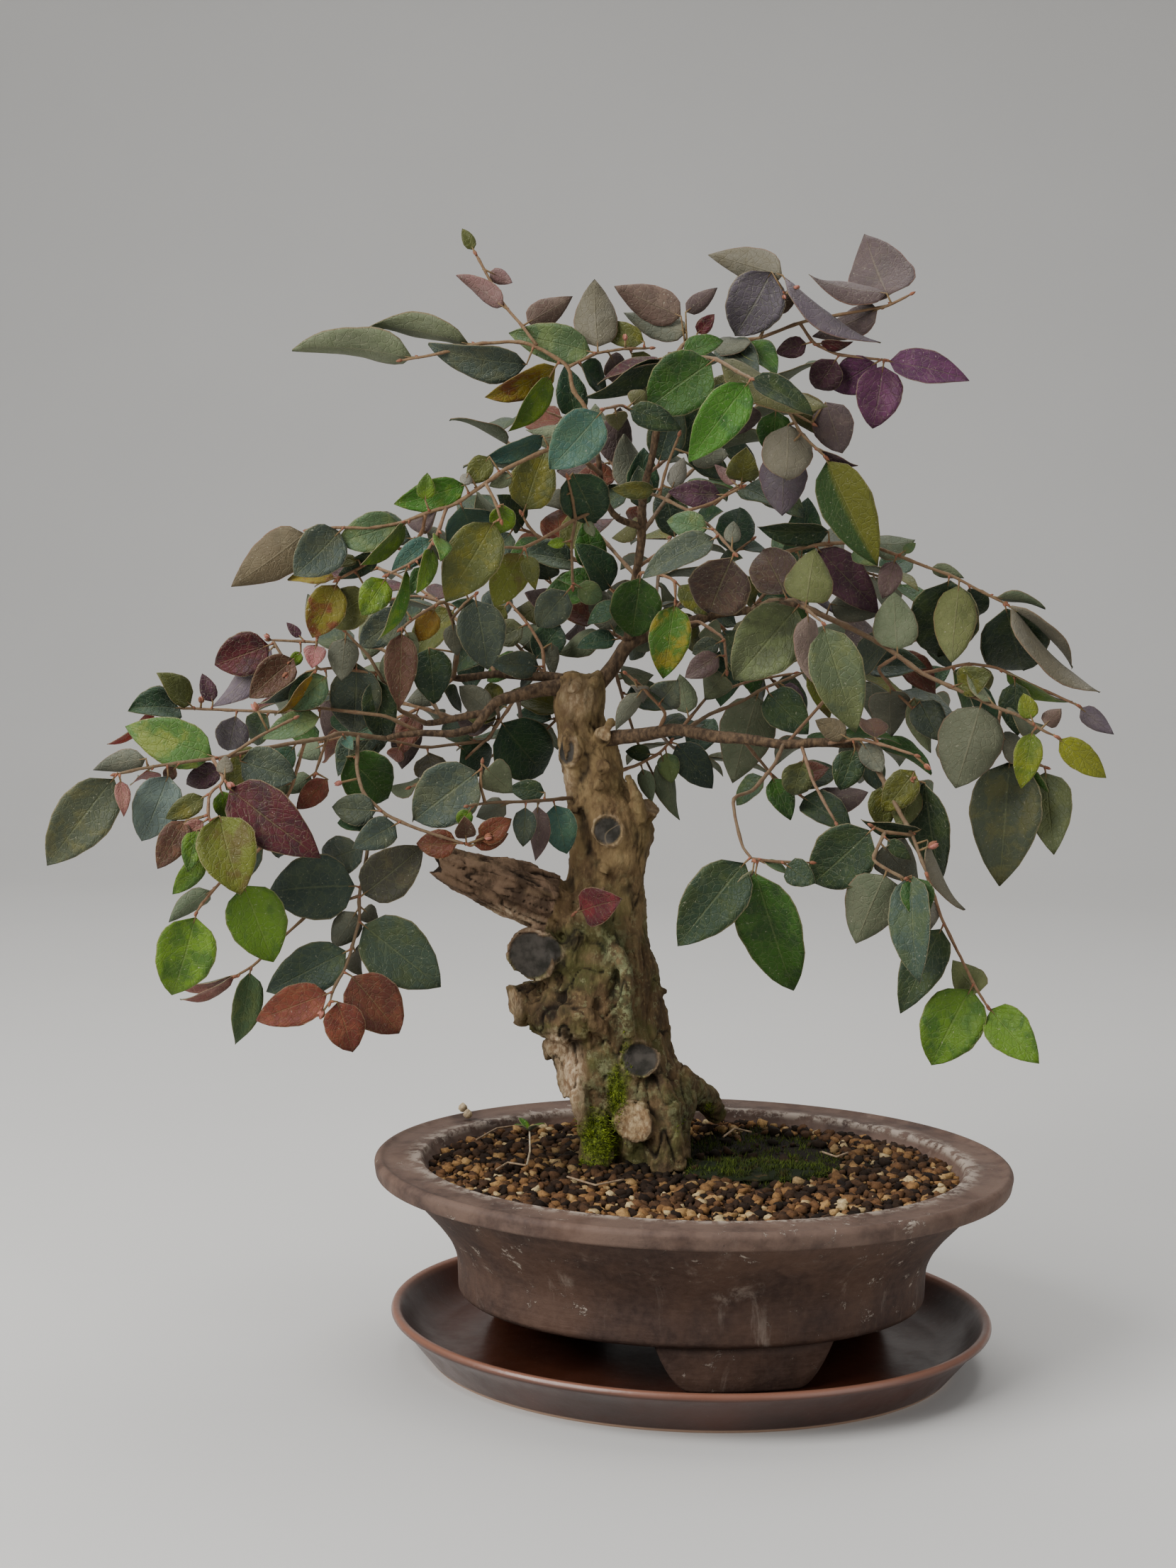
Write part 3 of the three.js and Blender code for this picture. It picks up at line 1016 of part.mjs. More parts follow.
// The hole in the soil: the trunk's foot and its roots, all a little wider and deeper.
const holeRings = [trunkFoot - gap, 92, 130].map((z) => trunkRing(1640, 832, 974, z, 1.4));
const socket = joined([solidOf(loft(holeRings)), ...roots.map(({ route, radius }) => {
  const [before, end] = route.slice(-2).map(([u, v, y]) => place(u, v, y));
  const on_ = add(end, times(unit(sub(end, before)), 0.5));
  const line = [...route.slice(0, -1).map(([u, v, y]) => place(u, v, y)), on_];
  return twig(line, radius[0] + 0.5, radius[1] + 0.5, 8);
})]);
bonsai.add(meshOf('saucer', saucerSolid(), 0x4a2a20, 0.25));
bonsai.add(meshOf('pot', potSolid(), 0x6e5448, 0.85));
bonsai.add(meshOf('soil', soilSolid(socket), 0x8a6a48, 0.95));
bonsai.add(meshOf('moss', mossSolid().subtract(socket), 0x3c4a24, 1));
bonsai.add(meshOf('trunk', trunk, 0x6b4f38, 0.9));
const carriers = {};
const leafColour = { top: 0x44582f, under: 0x8c9a72 };
planned.forEach((shoot) => {
  if (!carriers[shoot.on]) carriers[shoot.on] = carrierSolid(shoot.on);
  // Scraps on the far side of the limb are dropped.
  const bodies = joined(shootSolid(shoot)).subtract(carriers[shoot.on]).simplify(0.03).decompose();
  const solid = bodies.reduce((a, b) => (b.volume() > a.volume() ? b : a));
  if (bodies.some((b) => b !== solid && b.volume() > 0.5)) throw new Error(`${shoot.name} has a loose leaf`);
  bonsai.add(meshOf(shoot.name === 'leaf_on_trunk' ? shoot.name : `shoot_${shoot.name}`, solid, leafColour[shoot.foliage[0].face], 0.6));
});

export default bonsai;
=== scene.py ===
import bpy
import math
import numpy as np
from mathutils import Matrix, Vector, noise


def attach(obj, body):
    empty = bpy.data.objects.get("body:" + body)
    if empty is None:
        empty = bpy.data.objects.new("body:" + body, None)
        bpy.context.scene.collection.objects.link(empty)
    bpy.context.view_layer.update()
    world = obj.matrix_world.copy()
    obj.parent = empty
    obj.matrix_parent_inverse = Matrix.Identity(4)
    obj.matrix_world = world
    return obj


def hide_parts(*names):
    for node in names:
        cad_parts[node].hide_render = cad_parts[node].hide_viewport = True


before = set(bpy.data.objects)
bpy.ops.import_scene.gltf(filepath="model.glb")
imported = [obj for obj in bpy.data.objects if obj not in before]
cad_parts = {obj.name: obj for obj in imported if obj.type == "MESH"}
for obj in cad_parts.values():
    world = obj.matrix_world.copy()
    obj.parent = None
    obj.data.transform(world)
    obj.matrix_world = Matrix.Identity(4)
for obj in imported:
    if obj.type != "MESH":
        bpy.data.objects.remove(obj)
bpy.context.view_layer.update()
print("frame loaded:", len(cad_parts), "nodes")

# The tree is measured on a front sheet in perspective: u to the right, v down, and a depth in mm
# behind the middle of the pot. Everything here is worked out in mm and made in metres.
sheet = {"scale": 3734.0, "u0": 829.5, "v0": 1106.0, "down": 0.114, "roll": 0.017, "pan": 0.043}
eye = np.array([0.0, -1300.0, 438.0])
upright = np.array([0.0, 0.0, 1.0])
gap = 0.3
metres = 0.001
# A noise vector differs from run to run unless it is seeded.
noise.seed_set(7)


def lengthOf(a):
    return math.sqrt(a @ a)


def unit(a):
    return a / lengthOf(a)


def mix(a, b, t):
    return a + (b - a) * t


def swung(a, b, angle):
    return a * math.cos(angle) + b * math.sin(angle)


def circle(sides, shift=0.0):
    return 2 * math.pi * (np.arange(sides) + shift) / sides


def noiseAt(*spot):
    return noise.noise(Vector(spot))


ahead0 = np.array([-math.sin(sheet["pan"]), math.cos(sheet["pan"]), 0.0])
right0 = np.array([math.cos(sheet["pan"]), math.sin(sheet["pan"]), 0.0])
above0 = swung(upright, ahead0, sheet["down"])
sheetAhead = swung(ahead0, -upright, sheet["down"])
sheetRight = swung(right0, above0, sheet["roll"])
sheetAbove = swung(above0, -right0, sheet["roll"])


def sightLine(u, v):
    across = sheetRight * ((u - sheet["u0"]) / sheet["scale"])
    up = sheetAbove * ((sheet["v0"] - v) / sheet["scale"])
    return unit(sheetAhead + (across + up))


def place(u, v, depth):
    line = sightLine(u, v)
    return eye + line * ((depth - eye[1]) / line[1])


def atHeight(u, v, z):
    line = sightLine(u, v)
    return eye + line * ((z - eye[2]) / line[2])


def onSheet(points):
    d = points - eye
    far = d @ sheetAhead
    return (sheet["u0"] + sheet["scale"] * (d @ sheetRight) / far,
            sheet["v0"] - sheet["scale"] * (d @ sheetAbove) / far)


def draws(seed):
    state = [seed]

    def draw():
        state[0] = (state[0] * 16807) % 2147483647
        return state[0] / 2147483647
    return draw


# Meshes
def linked(name, mesh):
    piece = bpy.data.objects.new(name, mesh)
    bpy.context.scene.collection.objects.link(piece)
    return piece


def makePiece(name, points, faces):
    mesh = bpy.data.meshes.new(name)
    mesh.from_pydata([tuple(p * metres) for p in points], [], faces)
    mesh.update()
    mesh.validate()
    mesh.polygons.foreach_set("use_smooth", [True] * len(mesh.polygons))
    return linked(name, mesh)


def applied(piece):
    depsgraph = bpy.context.evaluated_depsgraph_get()
    mesh = bpy.data.meshes.new_from_object(piece.evaluated_get(depsgraph))
    piece.modifiers.clear()
    old = piece.data
    piece.data = mesh
    bpy.data.meshes.remove(old)
    mesh.name = piece.name


def giveColour(mesh, name, values):
    layer = mesh.attributes.new(name, "FLOAT_COLOR", "POINT")
    layer.data.foreach_set("color", np.hstack([values, np.ones((len(values), 1))]).ravel())


def giveValue(mesh, name, values):
    layer = mesh.attributes.new(name, "FLOAT", "POINT")
    layer.data.foreach_set("value", np.asarray(values, dtype=np.float64))


def giveUv(mesh, values):
    layer = mesh.uv_layers.new(name="bladeUv")
    corner = np.empty(len(mesh.loops), dtype=np.int32)
    mesh.loops.foreach_get("vertex_index", corner)
    layer.data.foreach_set("uv", values[corner].ravel())


def finishPiece(piece, material, slotName, *nodes):
    piece.data.materials.clear()
    piece.data.materials.append(material)
    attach(piece, "root")
    if nodes:
        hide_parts(*nodes)


def linear(hexColour):
    parts = [int(hexColour[i:i + 2], 16) / 255 for i in (0, 2, 4)]
    return tuple(c / 12.92 if c <= 0.04045 else ((c + 0.055) / 1.055) ** 2.4 for c in parts)


def hued(value):
    return (*linear(value), 1.0) if isinstance(value, str) else value


# Node trees
def reckoned(operation, swapped=False):
    def result(self, other=0.0):
        a, b = (other, self) if swapped else (self, other)
        return self.graph.out("ShaderNodeMath", 0, {0: a, 1: b}, operation=operation)
    return result


class Wire:
    # What comes out of a node, to be reckoned with like a number.
    def __init__(self, graph, socket):
        self.graph = graph
        self.socket = socket

    __add__, __radd__ = reckoned("ADD"), reckoned("ADD", True)
    __sub__, __rsub__ = reckoned("SUBTRACT"), reckoned("SUBTRACT", True)
    __mul__, __pow__ = reckoned("MULTIPLY"), reckoned("POWER")
    most, absolute, fraction, sine = (reckoned(kind) for kind in ("MAXIMUM", "ABSOLUTE", "FRACT", "SINE"))

    def step(self, low, high):
        ends = {"Value": self, "From Min": low, "From Max": high}
        return self.graph.out("ShaderNodeMapRange", "Result", ends, interpolation_type="SMOOTHSTEP",
                              clamp=True)


class Graph:
    # A node tree that is wired up by calls.
    def __init__(self, tree):
        self.tree = tree

    def feed(self, value, socket):
        if isinstance(value, Wire):
            self.tree.links.new(value.socket, socket)
        else:
            socket.default_value = value

    def node(self, kind, sockets={}, **settings):
        made = self.tree.nodes.new(kind)
        for key, value in settings.items():
            setattr(made, key, value)
        for key, value in sockets.items():
            self.feed(value, made.inputs[key])
        return made

    def out(self, kind, output, sockets={}, **settings):
        return Wire(self, self.node(kind, sockets, **settings).outputs[output])


class Paint(Graph):
    # A material in the making: its colour is laid on in coats.
    def __init__(self, name):
        self.material = bpy.data.materials.new(name)
        self.material.use_nodes = True
        super().__init__(self.material.node_tree)
        self.place = self.out("ShaderNodeTexCoord", "Object")

    def split(self, vector):
        made = self.node("ShaderNodeSeparateXYZ", {"Vector": vector})
        return [Wire(self, socket) for socket in made.outputs]

    def given(self, name, output="Fac"):
        return self.out("ShaderNodeAttribute", output, attribute_name=name)

    def noise(self, scale, detail=4.0, roughness=0.55, distortion=0.0, stretch=None):
        spot = self.place
        if stretch:
            spot = self.out("ShaderNodeMapping", "Vector", {"Vector": spot, "Scale": stretch})
        return self.out("ShaderNodeTexNoise", "Fac", {"Vector": spot, "Scale": scale, "Detail": detail,
                                                      "Roughness": roughness, "Distortion": distortion})

    def net(self, scale, width):
        cells = self.out("ShaderNodeTexVoronoi", "Distance", {"Vector": self.place, "Scale": scale},
                         feature="DISTANCE_TO_EDGE")
        return 1 - cells.step(0.0, width)

    def blend(self, factor, a, b, mode="MIX"):
        return self.out("ShaderNodeMix", 2, {0: factor, 6: hued(a), 7: hued(b)}, data_type="RGBA",
                        blend_type=mode)

    def coat(self, factor, tone):
        self.colour = self.blend(factor, self.colour, tone)

    def finish(self, roughness, specular, height=None, distance=0.0, strength=0.0, more={}):
        ends = {"Base Color": self.colour, "Roughness": roughness, "Specular IOR Level": specular, **more}
        if height:
            relief = {"Height": height, "Distance": distance, "Strength": strength}
            ends["Normal"] = self.out("ShaderNodeBump", "Normal", relief)
        for name, value in ends.items():
            self.feed(value, self.tree.nodes["Principled BSDF"].inputs[name])
        return self.material


class Growth(Graph):
    # A Geometry Nodes tree in the making, with named inputs.
    def __init__(self, name, inputs):
        super().__init__(bpy.data.node_groups.new(name, "GeometryNodeTree"))
        add = self.tree.interface.new_socket
        add("Geometry", in_out="INPUT", socket_type="NodeSocketGeometry")
        for label, value in inputs.items():
            kind = "NodeSocketBool" if value is True else "NodeSocketFloat"
            made = add(label, in_out="INPUT", socket_type=kind)
            made.default_value = value if value is True else value * metres
        add("Geometry", in_out="OUTPUT", socket_type="NodeSocketGeometry")
        start = self.tree.nodes.new("NodeGroupInput")
        self.given = {socket.name: Wire(self, socket) for socket in start.outputs}
        self.end = self.tree.nodes.new("NodeGroupOutput")

    def vector(self, operation, *inputs, output=0):
        return self.out("ShaderNodeVectorMath", output, dict(enumerate(inputs)), operation=operation)

    def scaled(self, vector, scale):
        return self.out("ShaderNodeVectorMath", 0, {0: vector, "Scale": scale}, operation="SCALE")

    def random(self, low, high, seed):
        kind, first, output = ("FLOAT_VECTOR", 0, 0) if isinstance(low, tuple) else ("FLOAT", 2, 1)
        return self.out("FunctionNodeRandomValue", output, {first: low, first + 1: high, "Seed": seed},
                        data_type=kind)

    def sown(self, spacing, density, cover, seed):
        factor = self.out("GeometryNodeInputNamedAttribute", "Attribute", {"Name": cover}, data_type="FLOAT")
        spread = self.node("GeometryNodeDistributePointsOnFaces",
                           {"Mesh": self.given["Geometry"], "Distance Min": spacing, "Density Max": density,
                            "Density Factor": factor, "Seed": seed}, distribute_method="POISSON")
        return [Wire(self, spread.outputs[name]) for name in ("Points", "Rotation")]

    def toned(self, instances, name, seed):
        return self.out("GeometryNodeStoreNamedAttribute", 0,
                        {"Geometry": instances, "Name": name, "Value": self.random(0.0, 1.0, seed)},
                        data_type="FLOAT", domain="INSTANCE")

    def joined(self, kind, *parts):
        made = self.node(kind)
        for part in parts:
            self.feed(part, made.inputs[0])
        return Wire(self, made.outputs[0])

    def finish(self, instances, base, material, smooth):
        real = self.out("GeometryNodeRealizeInstances", 0, {"Geometry": instances})
        whole = self.joined("GeometryNodeJoinGeometry", real, base)
        if smooth:
            whole = self.out("GeometryNodeSetShadeSmooth", 0, {"Geometry": whole})
        painted = self.out("GeometryNodeSetMaterial", 0, {"Geometry": whole, "Material": material})
        self.feed(painted, self.end.inputs[0])
        return self


def grow(piece, growth, values):
    modifier = piece.modifiers.new("grown", "NODES")
    modifier.node_group = growth.tree
    for item in growth.tree.interface.items_tree:
        if item.item_type == "SOCKET" and item.in_out == "INPUT" and item.name in values:
            value = values[item.name]
            modifier[item.identifier] = value if isinstance(value, bool) else value * metres
    applied(piece)


# Lofts and tubes
def outward(points, faces):
    volume = 0.0
    for face in faces:
        for j in range(1, len(face) - 1):
            volume += points[face[0]] @ np.cross(points[face[j]], points[face[j + 1]])
    return faces if volume > 0 else [tuple(reversed(face)) for face in faces]


def loft(rings, capped=True):
    points = np.concatenate(rings)
    sides = len(rings[0])
    last = len(points) - sides
    faces = []
    for a in range(0, last, sides):
        for i in range(sides):
            j = (i + 1) % sides
            faces.append((a + i, a + j, a + sides + j, a + sides + i))
    if capped:
        faces += [tuple(range(sides - 1, -1, -1)), tuple(range(last, last + sides))]
    return points, outward(points, faces)


def ringAt(centre, axis, radius, sides):
    side = unit(np.cross(axis, upright) if abs(axis[2]) < 0.9 else np.cross(axis, [0.0, 1.0, 0.0]))
    other = np.cross(side, axis)
    angle = circle(sides)
    return centre + radius * (np.outer(np.cos(angle), side) + np.outer(np.sin(angle), other))


def tube(line, radii, sides):
    rings = []
    side = None
    angle = circle(sides, 0.5)
    for i, point in enumerate(line):
        before = unit(point - line[i - 1]) if i else None
        after = unit(line[i + 1] - point) if i + 1 < len(line) else None
        axis = unit((before if before is not None else after) + (after if after is not None else before))
        if side is None:
            side = np.cross(axis, upright) if abs(axis[2]) < 0.8 else np.cross(axis, [0.0, 1.0, 0.0])
        side = unit(side - axis * (side @ axis))
        other = np.cross(side, axis)
        rings.append(point + radii[i] * (np.outer(np.cos(angle), side) + np.outer(np.sin(angle), other)))
    return loft(rings)


def egg(foot, axis, length, radius, sides=6):
    stations = ((0.0, 0.5), (0.3, 1.0), (0.65, 0.85), (1.0, 0.12))
    return loft([ringAt(foot + axis * length * at, axis, radius * k, sides) for at, k in stations])


def gather(parts):
    faces = []
    count = 0
    for points, ownFaces in parts:
        faces += [tuple(k + count for k in face) for face in ownFaces]
        count += len(points)
    return np.concatenate([points for points, _ in parts]), faces


def rounded(line, reach=3.0):
    points = [line[0]]
    for before, at, after in zip(line, line[1:], line[2:]):
        back, on = at - before, after - at
        r = min(reach, 0.3 * lengthOf(back), 0.3 * lengthOf(on))
        points += [at - unit(back) * r, at - unit(back) * r * 0.3 + unit(on) * r * 0.3, at + unit(on) * r]
    return points + [line[-1]]


def closer(points, step):
    made = [points[0]]
    for a, b in zip(points, points[1:]):
        count = max(1, round(lengthOf(b - a) / step))
        made += [a + (b - a) * k / count for k in range(1, count + 1)]
    return made


# Trunk and limbs, on the front sheet
def spotsOf(text):
    return [tuple(float(x) for x in spot.split()) for spot in text.split(",")]


# Rings of the trunk: v, left u, right u.
trunkRings = spotsOf("""
    1640 832 974, 1610 826 976, 1580 818 978, 1552 812 984, 1524 796 974, 1497 780 953, 1470 777 944,
    1440 770 940, 1400 768 930, 1359 776 926, 1307 785 912, 1249 800 912, 1200 808 919, 1172 808 924,
    1134 802 908, 1106 796 884, 1078 789 878, 1045 785 866, 1015 783 852, 985 779 853, 957 785 852""")
trunkDepth = 30
trunkFoot = 84
# Limbs: the route, u v depth, and the radius at its root and at its tip.
limbs = {
    "leftLow": (spotsOf("""
        806 970 28, 755 972 24, 730 981 20, 700 991 14, 684 1007 10, 665 1030 6"""), (5, 2.4)),
    "forkBack": (spotsOf("684 1007 10, 650 1012 12, 600 1020 16"), (2.2, 1.8)),
    "forkFront": (spotsOf("665 1030 6, 640 1036 2, 600 1032 0, 545 1042 -4"), (2.3, 1.7)),
    "leftHigh": (spotsOf("812 965 30, 770 953 32, 700 952 34, 640 956 34"), (3.2, 2)),
    "leader": (spotsOf("""
        846 966 33, 866 938 36, 885 905 38, 925 893 44, 960 882 50, 1000 868 54, 1060 860 52,
        1130 853 40"""), (4.4, 2.2)),
    "crown": (spotsOf("""
        885 905 38, 893 860 32, 900 800 26, 905 740 20, 912 670 12, 928 605 4,
        938 555 0, 945 500 -4"""), (3, 1.7)),
    "crownLeft": (spotsOf("905 745 20, 870 733 12, 852 700 4, 842 640 -6"), (2, 1.5)),
    "right": (spotsOf("""
        850 1046 24, 871 1041 20, 921 1033 14, 959 1030 4, 1048 1044 -10, 1110 1049 -16,
        1206 1049 -22"""), (4.4, 2.2)),
}
roots = [
    (spotsOf("950 1520 30, 975 1538 50, 998 1553 72, 1014 1570 90"), (9, 5.5)),
    (spotsOf("915 1560 12, 932 1600 5, 942 1652 3"), (12, 9.5)),
    (spotsOf("850 1560 14, 842 1610 7, 838 1658 5"), (10, 7.5)),
]
# Sealed cuts: u v depth, which way the face looks, radius, length, how dark the seal is, and how
# wide the stub is where it leaves the trunk.
cuts = spotsOf("""
    857 1172 9.4 0 -1 0.1 7.8 7 1 0.96, 799 1058 17 -0.82 -0.57 0 8.2 7 1 0.96,
    920 1136 22 0.55 -0.45 0.7 5 12 0.6 0.96, 748 1348 7 -0.3 -0.95 0.03 12.8 26 1 0.96,
    722 1417 21 -0.93 -0.36 -0.04 9.8 34 0.1 1.4, 903 1494 2.5 0.05 -0.86 0.5 9.5 10 1 0.96,
    892 1583 -7 -0.22 -0.97 0.05 10.4 18 0.1 0.96, 853 1035 13.5 0.2 -0.9 0.4 4.2 8 0.2 0.96,
    771 1341 5.4 -0.12 -0.98 0.03 8.2 18 1 0.96""")
# The broken limb: u v depth, radius, and where its splits run.
brokenStations = spotsOf("""
    806 1288 26 13, 775 1275 24 14.4, 745 1262 22 15, 714 1250 20 14.4, 683 1240 17 12,
    653 1230 14 10.4, 628 1220 12 8.6""")
brokenSplits = (0.3, 1.15, 2.1, 2.9, 3.7, 4.5, 5.4)
# The outline of the crown, and fine twigs inside it, u v depth.
crownEdge = spotsOf("""
    950 475, 780 520, 620 600, 470 730, 400 800, 330 880, 240 930, 170 990, 200 1120, 300 1270,
    470 1290, 520 1150, 600 1110, 700 1090, 770 1000, 765 930, 880 930, 930 1010, 960 1130, 1100 1150,
    1250 1230, 1370 1230, 1470 1150, 1490 1010, 1450 900, 1330 790, 1200 700, 1180 560, 1240 470,
    1150 420""")
innerRoutes = """
    925 893 44, 960 850 60, 1010 800 66, 1060 762 64
    1000 868 54, 1040 905 72, 1090 960 74, 1130 1010 66
    893 860 32, 850 820 48, 800 780 58, 750 750 60, 690 740 58
    900 800 26, 960 760 44, 1020 700 52, 1080 660 50
    905 740 20, 900 700 45, 860 650 60, 820 600 56, 770 580 50
    912 670 12, 950 640 34, 1000 600 44, 1060 570 40
    770 953 32, 720 900 50, 660 860 60, 590 840 58, 520 850 50
    885 905 38, 840 880 62, 800 840 76, 760 810 80
    866 938 36, 880 990 56, 900 1050 66, 930 1110 64
    959 1030 4, 1000 980 34, 1060 960 50, 1120 950 52
    1048 1044 -10, 1090 1095 16, 1140 1130 26
    730 981 20, 690 1040 44, 640 1085 52, 580 1110 46
    1110 1049 -16, 1170 980 20, 1230 930 34, 1300 900 36
    640 956 34, 590 1000 54, 520 1030 60, 440 1050 54
    1060 860 52, 1110 800 64, 1170 770 60
    850 965 33, 790 1010 62, 740 1060 66, 700 1110 60"""

